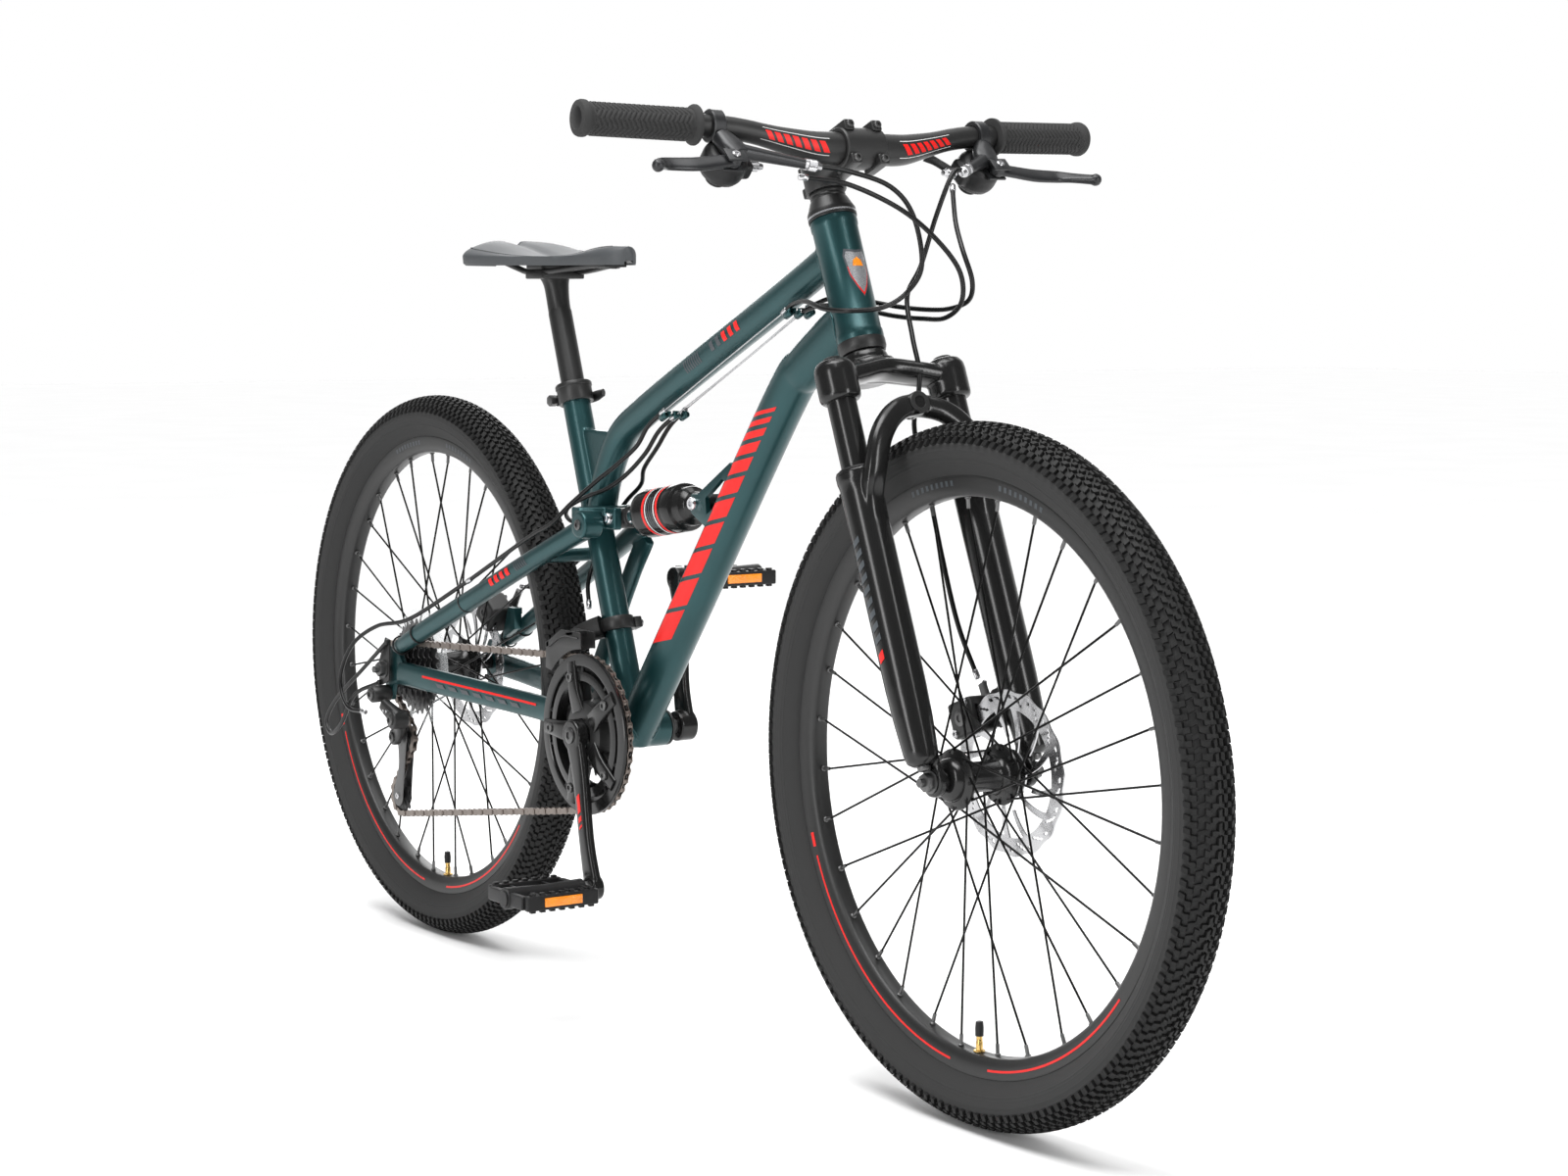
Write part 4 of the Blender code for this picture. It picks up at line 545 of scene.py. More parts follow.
def make_finishes():
    """Every finish on the bike, and the floor's."""
    dull = {"Specular IOR Level": 0.28}
    finish("petrol_paint", (0.011, 0.053, 0.057), 0.36, 0.62, 0.08, 12, 0.04, 0.06, 5200,
           fixed={"Coat Weight": 0.20, "Coat Roughness": 0.20})
    finish("gloss_black", (0.004, 0.004, 0.0045), 0.16, 0.0, 0.10, 20, 0.03, 0.02, 900,
           fixed={"Specular IOR Level": 0.45})
    finish("spoke_black", (0.0030, 0.0030, 0.0030), 0.30, 0.0, 0.10, 40, 0.05, 0.02, 900,
           fixed={"Specular IOR Level": 0.10})
    finish("satin_black", (0.0060, 0.0060, 0.0064), 0.36, 0.0, 0.12, 30, 0.05, 0.08, 1600, fixed=dull)
    finish("matte_black", (0.0085, 0.0085, 0.0088), 0.55, 0.0, 0.12, 40, 0.06, 0.25, 1500, fixed=dull)
    finish("moulded_plastic", (0.0080, 0.0080, 0.0084), 0.44, 0.0, 0.10, 40, 0.06, 0.30, 1900, fixed=dull)
    finish("grip_rubber", (0.0130, 0.0130, 0.0134), 0.66, 0.0, 0.12, 60, 0.06, 0.40, 1500, fixed=dull)
    finish("tyre_rubber", (0.0050, 0.0050, 0.0050), 0.52, 0.0, 0.16, 18, 0.07, 0.30, 1100,
           fixed={"Specular IOR Level": 0.12})
    finish("tread_rubber", (0.0085, 0.0085, 0.0085), 0.60, 0.0, 0.22, 50, 0.06, 0.40, 900,
           fixed={"Specular IOR Level": 0.22})
    finish("saddle_vinyl", (0.020, 0.021, 0.023), 0.46, 0.0, 0.08, 14, 0.05, 0.18, 1800, 0.40, 850,
           fixed={"Specular IOR Level": 0.45})
    finish("brushed_steel", (0.50, 0.50, 0.51), 0.26, 1.0, 0.02, 60, 0.03, 0.05, 2500)
    finish("chrome", (0.76, 0.76, 0.78), 0.12, 1.0, 0.04, 20, 0.04, 0.04, 900)
    finish("dark_steel", (0.030, 0.030, 0.032), 0.32, 0.70, 0.14, 40, 0.07, 0.12, 1200)
    finish("chain_steel", (0.060, 0.050, 0.043), 0.36, 0.85, 0.22, 160, 0.08, 0.15, 1500)
    finish("brass", (0.66, 0.44, 0.15), 0.26, 1.0, 0.08, 60, 0.05, 0.08, 1200)
    finish("clear_plastic", (0.86, 0.88, 0.90), 0.14, 0.0, 0.02, 20, 0.03, 0.04, 900,
           fixed={"Transmission Weight": 0.85, "IOR": 1.45, "Alpha": 0.55})
    finish("amber_lens", (0.90, 0.27, 0.012), 0.16, 0.0, 0.10, 60, 0.04, 0.05, 600, 0.9, 520,
           fixed={"Coat Weight": 0.5, "Coat Roughness": 0.06})
    finish("red_print", (0.70, 0.012, 0.010), 0.40, 0.0, 0.04, 30, 0.05, 0.04, 1500, fixed=dull)
    finish("grey_print", (0.050, 0.058, 0.066), 0.42, 0.1, 0.08, 40, 0.05, 0.05, 1500)
    finish("white_print", (0.62, 0.62, 0.62), 0.42, 0.0, 0.05, 40, 0.05, 0.05, 1500)
    finish("silver_print", (0.52, 0.53, 0.55), 0.28, 0.80, 0.06, 60, 0.05, 0.06, 1500)
    finish("cable_housing", (0.0050, 0.0050, 0.0052), 0.32, 0.0, 0.08, 30, 0.04, 0.05, 1200, fixed=dull)
    finish("bare_wire", (0.50, 0.50, 0.51), 0.30, 1.0, 0.08, 200, 0.06, 0.30, 2500)
    finish("lever_grey", (0.020, 0.0205, 0.022), 0.32, 0.35, 0.08, 30, 0.05, 0.08, 1600)
    finish("shield_window", (0.16, 0.17, 0.18), 0.14, 0.1, 0.06, 80, 0.03, 0.03, 1200)
    finish("floor_paper", (0.90, 0.90, 0.90), 0.95, 0.0, 0.01, 2, 0.02, 0.02, 300)


# ---------------------------------------------------------------- wheels
TYRE_MIDDLE = 0.3095
CARCASS_HIGH = 0.0232
CARCASS_HALF = 0.0264
KNOB_HEIGHT = 0.0037


def carcass_point(angle, lift=0.0):
    """Radius and distance to the left on the tyre's skin; angle 0 is the crown."""
    return (TYRE_MIDDLE + (CARCASS_HIGH + lift) * math.cos(angle), (CARCASS_HALF + lift) * math.sin(angle))


def tyre_body():
    """The tyre's turned skin, with fine moulding ribs on its sidewalls and its beads in the rim."""
    profile = []
    for k in range(-46, 47):
        angle = math.radians(128) * k / 46
        turned = abs(math.degrees(angle))
        rib = 0.0
        if 74 < turned < 79 or 112 < turned < 116:
            rib = 0.00045
        if 88 < turned < 91 or 104 < turned < 106:
            rib = 0.00030
        profile.append(carcass_point(angle, rib))
    right = [(0.2885, 0.0168), (0.2862, 0.0132), (0.2790, 0.0118)]
    return [(r, -y) for r, y in reversed(right)] + profile + right


def tread(bm, centre):
    """Rows of small tapered knobs, staggered, closer together than they are long."""
    rows = ((5.5, 0.0070, 0.0030), (16, 0.0050, 0.0044), (28, 0.0062, 0.0042), (40, 0.0046, 0.0056),
            (53, 0.0060, 0.0050), (67, 0.0056, 0.0064))
    pitches = 176
    for index, (lean, length, width) in enumerate(rows):
        for sign in (1, -1):
            for k in range(pitches):
                shift = 0.5 * (index % 2) + 0.04 * index
                turn = 2 * math.pi * (k + shift) / pitches
                knob(bm, centre, math.radians(lean) * sign, turn, length, width, index)


def knob(bm, centre, lean, turn, length, width, index):
    """One knob: a block whose top is smaller than its foot, skewed towards the outside."""
    ray, along = polar(turn), polar(turn + math.pi / 2)
    corners = []
    skew = 0.0009 * (1 if lean > 0 else -1) * (index % 3 - 1)
    for lift, grow in ((-0.0004, 1.0), (KNOB_HEIGHT, 0.84)):
        ring = []
        for u, v in ((-1, -1), (1, -1), (1, 1), (-1, 1)):
            half_angle = v * width * grow / 2 / CARCASS_HIGH
            radius, out = carcass_point(lean + half_angle, lift)
            ring.append(bm.verts.new(centre + ray * radius + Y * out
                                     + along * (u * length * grow / 2 + skew * v)))
        corners.append(ring)
    low, high = corners
    for k in range(4):
        n = (k + 1) % 4
        bm.faces.new((low[k], low[n], high[n], high[k]))
    bm.faces.new(high)
    bm.faces.new(low[::-1])


def rim_shape(centre):
    """The rim's box section with its two hooks."""
    half = [(0.2656, 0.0062), (0.2668, 0.0086), (0.2705, 0.0112), (0.2745, 0.0124), (0.2832, 0.0135),
            (0.2852, 0.0134), (0.2856, 0.0124), (0.2850, 0.0114), (0.2788, 0.0108), (0.2770, 0.0060)]
    profile = [(0.2656, -0.0062)] + half + [(r, -y) for r, y in reversed(half[1:])]
    return lathe(profile, centre, Y, 144, True)


def rim_stripe(centre, y, r0, r1, from_deg, to_deg):
    """A printed arc on the rim's flank."""
    bm = bmesh.new()
    steps = max(2, int(abs(to_deg - from_deg)))
    rows = []
    for k in range(steps + 1):
        ray = polar(math.radians(from_deg + (to_deg - from_deg) * k / steps))
        rows.append([bm.verts.new(centre + ray * r + Y * (y + math.copysign((r - r0) * 0.12, y)))
                     for r in (r0, r1)])
    for a, b in zip(rows, rows[1:]):
        bm.faces.new((a[0], b[0], b[1], a[1]))
    return bm


def rim_graphics(centre):
    """Plain red arcs low on each flank, and a grey hatch near the top."""
    shapes = []
    for s in (1, -1):
        y = s * 0.01285
        for start, end, r0, r1 in ((204, 264, 0.2762, 0.2784), (276, 322, 0.2762, 0.2784),
                                   (199, 202, 0.2752, 0.2794), (300, 336, 0.2792, 0.2804)):
            shapes.append((rim_stripe(centre, y, r0, r1, start, end), "red_print"))
        for k in range(9):
            shapes.append((rim_stripe(centre, y, 0.2760, 0.2812, 96 + k * 1.6, 96.8 + k * 1.6), "grey_print"))
            shapes.append((rim_stripe(centre, y, 0.2760, 0.2812, 68 + k * 1.6, 68.8 + k * 1.6), "grey_print"))
    return shapes


def spoke_set(centre, flanges, flange_r):
    """32 spokes with their bent heads in the flanges and nipples at the rim."""
    shapes, nipples = [], []
    for k in range(SPOKE_COUNT):
        angle = 2 * math.pi * (k + 0.5) / SPOKE_COUNT
        flange = flanges[k % 2]
        leading = 1 if (k // 2) % 2 else -1
        out = math.copysign(1, flange)
        hub_angle = angle + math.radians(62) * leading
        root = centre + polar(hub_angle) * flange_r + Y * flange
        bend = root + Y * (out * 0.0026 * leading)
        seat_y = out * 0.0022
        tip = centre + polar(angle) * 0.2560 + Y * seat_y
        outer = centre + polar(angle) * 0.2660 + Y * (seat_y * 0.9)
        direction = (tip - bend).normalized()
        shapes.append((sweep([bend - direction * 0.0004, bend + direction * 0.002, tip], 0.0012, 8),
                       "spoke_black"))
        head_at = root - Y * (out * 0.0030 * leading)
        shapes.append((rod(head_at, bend + Y * (out * 0.0006 * leading), 0.0012, 8), "satin_black"))
        shapes.append((rod(head_at - Y * (out * 0.0009 * leading), head_at, 0.0021, 10), "satin_black"))
        nipples.append((lathe([(0, 0), (0.0016, 0), (0.0019, 0.0008), (0.0019, 0.0090), (0.0031, 0.0100),
                               (0.0031, 0.0110), (0, 0.0110)], tip - direction * 0.002,
                              outer - tip, 8), "dark_steel"))
    return shapes + nipples


def rotor_disc(name, centre, body):
    """A wavy brake disc: twisted arms, a slotted track, and six bolts on the hub."""
    radii = [0.0172, 0.0195, 0.0235, 0.0290, 0.0350, 0.0420, 0.0490, 0.0560, 0.0620, 0.0645, 0.0662,
             0.0690, 0.0718, 0.0744, 0.0762, 0.0782, 0.0800]
    sectors = 192

    def keep(i, k):
        if i in (0, 1, 8, 9, 15):
            return True
        if 2 <= i <= 7:
            arm = k % 32
            return arm < 4 or (14 <= arm < 17 and i >= 4)
        phase = k % 12
        if i in (10, 11, 12, 13):
            shift = i - 10
            return not (3 + shift <= phase < 5 + shift) and not (phase in (9, 10) and i in (12, 13))
        return True

    def twist(radius):
        return 0.55 * (radius - 0.0172) / 0.063 * min(1, (0.0800 - radius) / 0.010 + 0.6)

    def wave(i, radius, angle):
        if i >= 14:
            return radius + 0.0011 * math.sin(angle * 16) * (i - 13) / 3 - 0.0009
        return radius

    disc = patterned_disc(radii, sectors, 0.0018, centre, keep, twist, wave)
    shapes = [(disc, "brushed_steel")]
    for k in range(6):
        spot = centre + polar(math.pi * k / 3 + 0.2) * 0.0205 + Y * 0.0009
        shapes.append((hex_bolt(spot, Y, 0.0032, 0.0022), "dark_steel"))
    piece(name + "_wavy", body, shapes, [name])


def valve(centre, angle):
    """A brass valve stem with its lock ring and black cap, pointing at the hub."""
    ray = polar(angle)
    base = centre + ray * 0.2660
    return [(lathe([(0, 0), (0.0034, 0), (0.0034, 0.010), (0.0030, 0.011), (0.0030, 0.018), (0, 0.018)],
                   base, -ray, 16), "brass"),
            (hex_bolt(base - ray * 0.0005, -ray, 0.0058, 0.0022, False), "brass"),
            (lathe([(0, 0.016), (0.0040, 0.016), (0.0042, 0.024), (0.0036, 0.030), (0, 0.031)],
                   base, -ray, 14), "moulded_plastic")]


def front_hub_shapes():
    """Two bell-shaped flange shells on a barrel."""
    profile = [(0.0052, -0.0495), (0.0088, -0.0495), (0.0092, -0.0485), (0.0092, -0.0445),
               (0.0150, -0.0440), (0.0185, -0.0425), (0.0205, -0.0395), (0.0215, -0.0355),
               (0.0262, -0.0338), (0.0290, -0.0322), (0.0296, -0.0305), (0.0288, -0.0290),
               (0.0205, -0.0270), (0.0165, -0.0235), (0.0150, -0.0190), (0.0146, 0.0000),
               (0.0150, 0.0130), (0.0170, 0.0175), (0.0215, 0.0205), (0.0288, 0.0216),
               (0.0296, 0.0230), (0.0288, 0.0246), (0.0240, 0.0256), (0.0200, 0.0262),
               (0.0190, 0.0280), (0.0168, 0.0300), (0.0168, 0.0400), (0.0092, 0.0424),
               (0.0092, 0.0490), (0.0052, 0.0495)]
    return [(lathe(profile, FRONT_AXLE, Y, 64, True), "gloss_black")]


def rear_hub_shapes():
    """The rear hub's shell, one turned profile with both flanges."""
    profile = [(0.0052, -0.0310), (0.0150, -0.0310), (0.0200, -0.0285), (0.0290, -0.0262),
               (0.0308, -0.0250), (0.0308, -0.0228), (0.0290, -0.0215), (0.0200, -0.0190),
               (0.0166, -0.0150), (0.0158, 0.0000), (0.0166, 0.0220), (0.0210, 0.0275),
               (0.0295, 0.0295), (0.0308, 0.0305), (0.0308, 0.0322), (0.0290, 0.0334),
               (0.0200, 0.0345), (0.0168, 0.0360), (0.0168, 0.0470), (0.0110, 0.0486),
               (0.0095, 0.0495), (0.0095, 0.0665), (0.0052, 0.0670)]
    return [(lathe(profile, REAR_AXLE, Y, 64, True), "gloss_black")]


def make_wheel(prefix, centre, flanges, flange_r, hub_shapes, valve_angle):
    """Tyre, rim, spokes and hub, each its own piece on the wheel's body."""
    body = prefix + "_wheel"
    knobs = bmesh.new()
    tread(knobs, centre)
    piece(prefix + "_tyre_knobbly", body,
          [(lathe(tyre_body(), centre, Y, 180, True), "tyre_rubber"), (knobs, "tread_rubber")],
          [prefix + "_tyre"], 32)
    piece(prefix + "_rim_box", body,
          [(rim_shape(centre), "satin_black")] + rim_graphics(centre) + valve(centre, valve_angle),
          [prefix + "_rim"], 30)
    piece(prefix + "_spoke_set", body, spoke_set(centre, flanges, flange_r),
          [prefix + "_spokes"])
    piece(prefix + "_hub_shell", body, hub_shapes, [prefix + "_hub"])


def make_wheels():
    """Both wheels, their brake discs, and the clear shield behind the sprockets."""
    make_wheel("front", FRONT_AXLE, (0.0231, -0.0306), 0.0262, front_hub_shapes(), math.radians(-90))
    make_wheel("rear", REAR_AXLE, (0.0313, -0.0239), 0.0274, rear_hub_shapes(), math.radians(-88))
    rotor_disc("front_rotor", FRONT_AXLE + Y * 0.0360, "front_wheel")
    rotor_disc("rear_rotor", REAR_AXLE + Y * 0.0430, "rear_wheel")
    disc = lathe([(0.0312, -0.0313), (0.0500, -0.0309), (0.0700, -0.0303), (0.0718, -0.0306),
                  (0.0722, -0.0298), (0.0716, -0.0290), (0.0312, -0.0299)], REAR_AXLE, Y, 72, True)
    piece("spoke_shield", "rear_wheel", [(disc, "clear_plastic")], ["spoke_protector"])


# ---------------------------------------------------------------- frame
DOWN_TUBE = (0.0215, 0.0240)
TOP_TUBE = (0.0165, 0.0175)


def fused(meshes, cell=0.0014, passes=6):
    """Meshes melted into one skin, whose joints come out as soft fillets."""
    whole = bmesh.new()
    for bm in meshes:
        bmesh.ops.recalc_face_normals(bm, faces=bm.faces)
        part = bpy.data.meshes.new("part")
        bm.to_mesh(part)
        bm.free()
        whole.from_mesh(part)
        bpy.data.meshes.remove(part)
    mesh = bpy.data.meshes.new("fused")
    whole.to_mesh(mesh)
    whole.free()
    holder = bpy.data.objects.new("fused", mesh)
    bpy.context.scene.collection.objects.link(holder)
    remesh = holder.modifiers.new("skin", "REMESH")
    remesh.mode = "VOXEL"
    remesh.voxel_size = cell
    soften = holder.modifiers.new("soften", "SMOOTH")
    soften.factor = 0.5
    soften.iterations = passes
    shown = holder.evaluated_get(bpy.context.evaluated_depsgraph_get())
    done = bmesh.new()
    done.from_mesh(shown.to_mesh())
    shown.to_mesh_clear()
    bpy.data.objects.remove(holder)
    bpy.data.meshes.remove(mesh)
    return done


def tree_of(bm):
    """A search tree over the faces of a mesh."""
    bm.faces.ensure_lookup_table()
    return BVHTree.FromBMesh(bm)


def weld(target, path, radii, count=72, bead=0.0017):
    """A rippled weld bead where a tube along path meets the target's surface."""
    direction = (path[-1] - path[0]).normalized()
    u, v = frame_of(direction)
    points = []
    for k in range(count):
        a = 2 * math.pi * k / count
        start = path[0] + u * (radii[0] * math.cos(a)) + v * (radii[1] * math.sin(a))
        hit = target.ray_cast(start, direction, (path[-1] - path[0]).length * 1.6)[0]
        if hit is not None:
            points.append(hit)
    bm = bmesh.new()
    rings = []
    total = len(points)
    for i, point in enumerate(points):
        ahead = points[(i + 1) % total] - points[i - 1]
        a, b = frame_of(ahead, direction)
        size = bead * (1.0 + 0.16 * math.cos(math.pi * i))
        rings.append([bm.verts.new(point + (a * math.cos(t) + b * math.sin(t)) * size)
                      for t in (2 * math.pi * j / 8 for j in range(8))])
    bridge(bm, rings, True)
    return bm


def down_path(steps):
    """The middle line of the down tube."""
    return smooth([at(0.462, 0, 0.304), at(0.60, 0, 0.4775), at(0.765, 0, 0.685),
                   at(0.808, 0, 0.722), at(0.889, 0, 0.772)], steps)


def top_path(steps):
    """The middle line of the curved top tube."""
    return smooth([at(0.866, 0, 0.8370), at(0.7637, 0, 0.7895), at(0.60, 0, 0.7165),
                   at(0.4931, 0, 0.6675), at(0.440, 0, 0.637), at(0.4085, 0, 0.592),
                   at(0.3925, 0, 0.548), at(0.386, 0, 0.530)], steps)


def frame_tubes():
    """The welded tubes as one painted skin with its beads and its small fittings."""
    shell = [rod(BB - Y * 0.0360, BB + Y * 0.0360, 0.0205, 48)]
    column = lathe([(0.0145, 0.0), (0.0236, 0.0), (0.0240, 0.0035), (0.0238, 0.0085), (0.0230, 0.0100),
                    (0.0230, 0.1200), (0.0238, 0.1215), (0.0240, 0.1265), (0.0236, 0.1300),
                    (0.0145, 0.1300)], head(0), STEER_UP, 56, True)
    gusset = plate([(0.340, 0.643), (0.428, 0.641), (0.405, 0.560), (0.385, 0.540), (0.372, 0.560)],
                   -0.006, 0.006, 0.002)
    down, top = down_path(14), top_path(10)
    skin = fused([rod(head(0.001), head(HEAD_LENGTH - 0.001), 0.0229, 56), sweep(down, DOWN_TUBE, 48),
                  sweep(top, TOP_TUBE, 40), rod(seat(0), seat(0.403), 0.0159, 40), gusset, *shell])
    beads = []
    neck = tree_of(rod(head(-0.02), head(0.16), 0.0230, 48))
    beads.append(weld(neck, [down[-8], down[-1]], DOWN_TUBE))
    beads.append(weld(neck, [top[6], top[0]], TOP_TUBE))
    barrel = tree_of(rod(BB - Y * 0.05, BB + Y * 0.05, 0.0206, 64))
    beads.append(weld(barrel, [down[10], down[2]], (0.0205, DOWN_TUBE[1])))
    beads.append(weld(barrel, [seat(0.06), seat(0.0)], (0.0159, 0.0159)))
    mast = tree_of(rod(seat(0.10), seat(0.42), 0.0160, 48))
    beads.append(weld(mast, [top[46], top[54]], TOP_TUBE, 48, 0.0014))
    shapes = [(skin, "petrol_paint"), (column, "petrol_paint")]
    shapes += [(bead, "petrol_paint") for bead in beads]
    shapes += frame_fittings()
    shapes += frame_graphics(down, top)
    piece("frame_welded", "frame", shapes, ["main_frame"], 50)


def frame_fittings():
    """Shock ears, pivot lugs, and the guides that hold the cables."""
    ear = [(0.6077, 0.5690), (0.6147, 0.5600), (0.640, 0.548), (0.670, 0.560),
           (0.704, 0.604), (0.690, 0.618), (0.627, 0.582), (0.6147, 0.5815)]
    lug = [(0.398, 0.320), (0.404, 0.309), (0.418, 0.307), (0.455, 0.300),
           (0.460, 0.345), (0.430, 0.337), (0.404, 0.334)]
    shapes = []
    for s in (1, -1):
        window = plate([(0.6440, 0.5610), (0.6640, 0.5700), (0.6860, 0.5960), (0.6740, 0.6000),
                        (0.6420, 0.5780)], s * 0.0100, s * 0.0240, 0)
        shapes.append((bored(plate(ear, s * 0.0140, s * 0.0195), [window]), "petrol_paint"))
        shapes.append((plate(lug, s * 0.0215, s * 0.0275), "petrol_paint"))
        shapes.append((block(at(0.453, s * 0.018, 0.322), (0.012, 0.014, 0.040)), "petrol_paint"))
    for x, z, lean in ((0.800, 0.7730, 0.44), (0.560, 0.6625, 0.42)):
        along = Vector((math.cos(lean), 0, math.sin(lean)))
        for y in (-0.0195, -0.0060, 0.0060):
            foot = at(x, y, z)
            shapes.append((pipe(foot - along * 0.006, foot + along * 0.006, 0.0040, 0.0020, 20),
                           "petrol_paint"))
            shapes.append((block(foot + Vector((0.001, -0.2 * y, 0.0028)), (0.010, 0.0030, 0.006),
                                 edge=0.0005), "petrol_paint"))
    return shapes


def slanted(start, end, low, high, lean):
    """A leaning bar's outline: along the tube from start to end, between two angles."""
    return [(start, low), (end, low), (end + lean, high), (start + lean, high)]


def frame_graphics(down, top):
    """Plain bars and blocks on the tubes, and an empty shield on the head tube."""
    shapes = []
    for sign in (-1, 1):
        wall = tube_surface(down, DOWN_TUBE, Y * sign)
        flip = -sign
        start = 0.130
        for width in (0.044, 0.040, 0.035, 0.031, 0.027, 0.023, 0.019, 0.015, 0.011, 0.008, 0.006):
            outline = slanted(start, start + width, -0.50 * flip, 0.56 * flip, 0.030)
            shapes.append((decal(outline, wall), "red_print"))
            start += width + 0.0070
        wall = tube_surface(top, TOP_TUBE, Y * sign)
        for k in range(5):
            outline = slanted(0.180 + k * 0.013, 0.187 + k * 0.013, -0.30 * flip, 0.36 * flip, 0.003)
            shapes.append((decal(outline, wall), "red_print" if k < 3 else "grey_print"))
        for k in range(8):
            outline = slanted(0.262 + k * 0.0042, 0.2642 + k * 0.0042, -0.42 * flip, 0.42 * flip, 0.004)
            shapes.append((decal(outline, wall), "grey_print"))
    shapes += head_shield()
    return shapes


def head_shield():
    """A plain silver shield on the head tube's front, with a red lower edge and an amber dome."""
    wall = tube_surface([head(0.010), head(0.065), head(0.120)], (0.0230, 0.0230), STEER_FORE)
    over = tube_surface([head(0.010), head(0.065), head(0.120)], (0.0232, 0.0232), STEER_FORE)
    shield = [(0.029, 0.0), (0.040, 0.28), (0.052, 0.50), (0.074, 0.60), (0.081, 0.50), (0.079, 0.0),
              (0.081, -0.50), (0.074, -0.60), (0.052, -0.50), (0.040, -0.28)]
    face = [(0.034, 0.0), (0.043, 0.24), (0.054, 0.43), (0.073, 0.52), (0.078, 0.43), (0.076, 0.0),
            (0.078, -0.43), (0.073, -0.52), (0.054, -0.43), (0.043, -0.24)]
    lower = [(0.031, 0.0), (0.041, 0.25), (0.0535, 0.465), (0.062, 0.50), (0.062, -0.50), (0.0535, -0.465),
             (0.041, -0.25)]
    dome = [(0.062, -0.26), (0.062, 0.26), (0.068, 0.20), (0.0715, 0.0), (0.068, -0.20)]
    lifted = tube_surface([head(0.010), head(0.065), head(0.120)], (0.0234, 0.0234), STEER_FORE)
    topmost = tube_surface([head(0.010), head(0.065), head(0.120)], (0.0236, 0.0236), STEER_FORE)
    return [(decal(shield, wall), "grey_print"), (decal(lower, over), "red_print"),
            (decal(face, lifted), "silver_print"), (decal(dome, topmost), "amber_lens")]


def headset_cups():
    """The upper and lower bearing cups, and the bright band on the upper one."""
    upper = lathe([(0.0245, 0.1303), (0.0247, 0.1310), (0.0247, 0.1385), (0.0240, 0.1400),
                   (0.0222, 0.1440), (0.0198, 0.1500), (0.0190, 0.1515), (0.0150, 0.1515),
                   (0.0150, 0.1303)], head(0), STEER_UP, 56, True)
    lower = lathe([(0.0240, -0.0003), (0.0242, -0.0012), (0.0242, -0.0080), (0.0236, -0.0096),
                   (0.0225, -0.0125), (0.0150, -0.0125), (0.0150, -0.0003)], head(0), STEER_UP, 56, True)
    band = lathe([(0.0249, 0.1330), (0.0249, 0.1348), (0.0240, 0.1348), (0.0240, 0.1330)], head(0),
                 STEER_UP, 56, True)
    piece("headset_upper", "frame", [(upper, "satin_black"), (band, "silver_print")],
          ["headset_upper_cup"])
    piece("headset_lower", "frame", [(lower, "satin_black")], ["headset_lower_cup"])


def seat_collar():
    """The collar with its skewer, barrel, nut and lever."""
    boss = seat(0.396, -0.0245)
    collar = lathe([(0.0162, 0.3850), (0.0196, 0.3850), (0.0202, 0.3858), (0.0202, 0.4020),
                    (0.0212, 0.4030), (0.0212, 0.4065), (0.0205, 0.4075), (0.0162, 0.4075)], seat(0),
                   SEAT_UP, 48, True)
    shapes = [(collar, "satin_black"), (rod(boss - Y * 0.011, boss + Y * 0.011, 0.0065, 28, 0.0008),
                                        "satin_black"),
              (block(seat(0.396, -0.0205), (0.016, 0.009, 0.012), (SEAT_FORE, Y, SEAT_UP)), "satin_black"),
              (rod(boss - Y * 0.020, boss + Y * 0.013, 0.0026, 16), "brushed_steel"),
              (hex_bolt(boss - Y * 0.0125, -Y, 0.0066, 0.0085, False), "dark_steel")]
    piece("seat_collar", "frame", shapes, ["seat_clamp"])
    cam = seat(0.396, -0.0245, 0.0190)
    route = [cam, cam + Vector((0.012, 0.004, 0.002)),
             cam + Vector((0.032, 0.005, 0.006)), cam + Vector((0.052, 0.002, 0.010))]
    lever = bar(route, [(0.0052, 0.0062), (0.0034, 0.0060), (0.0028, 0.0062), (0.0022, 0.0045)], 8, 20)
    piece("seat_collar_lever", "seat_clamp_lever",
          [(lever, "satin_black"), (rod(cam - SEAT_UP * 0.006, cam + SEAT_UP * 0.006, 0.0054, 28, 0.0008),
                                     "satin_black")], ["seat_clamp_lever"])


def pivot_bolts():
    """The turned bolts of the main pivot and of the shock's eyes, each with a hexagon socket."""
    spots = (("main_pivot_bolt", "frame", PIVOT, 0.0278, 0.0095, 0.0045),
             ("shock_front_bolt", "frame", SHOCK_FRONT, 0.0198, 0.0070, 0.0045),
             ("shock_rear_bolt", "swingarm", SHOCK_REAR, 0.0223, 0.0070, 0.0045))
    for name, body, (x, z), reach, cap, thick in spots:
        centre = at(x, 0, z)
        shapes = [(rod(centre - Y * reach, centre + Y * reach, 0.0040, 20), "chrome")]
        for s in (1, -1):
            shapes.append((hex_bolt(centre + Y * (s * reach), Y * s, cap, thick), "chrome"))
        piece(name + "_chromed", body, shapes, [name])


def make_frame():
    """The welded tubes with their cups, collar and bolts, and the bearing cartridge."""
    frame_tubes()
    headset_cups()
    seat_collar()
    pivot_bolts()
    cup = lathe([(0.0174, -0.0345), (0.0174, 0.0363), (0.0200, 0.0363), (0.0202, 0.0370),
                 (0.0202, 0.0388), (0.0194, 0.0395), (0.0092, 0.0395), (0.0092, -0.0345)], BB, Y, 40, True)
    piece("bearing_cartridge", "frame", [(cup, "satin_black")], ["bottom_bracket"])


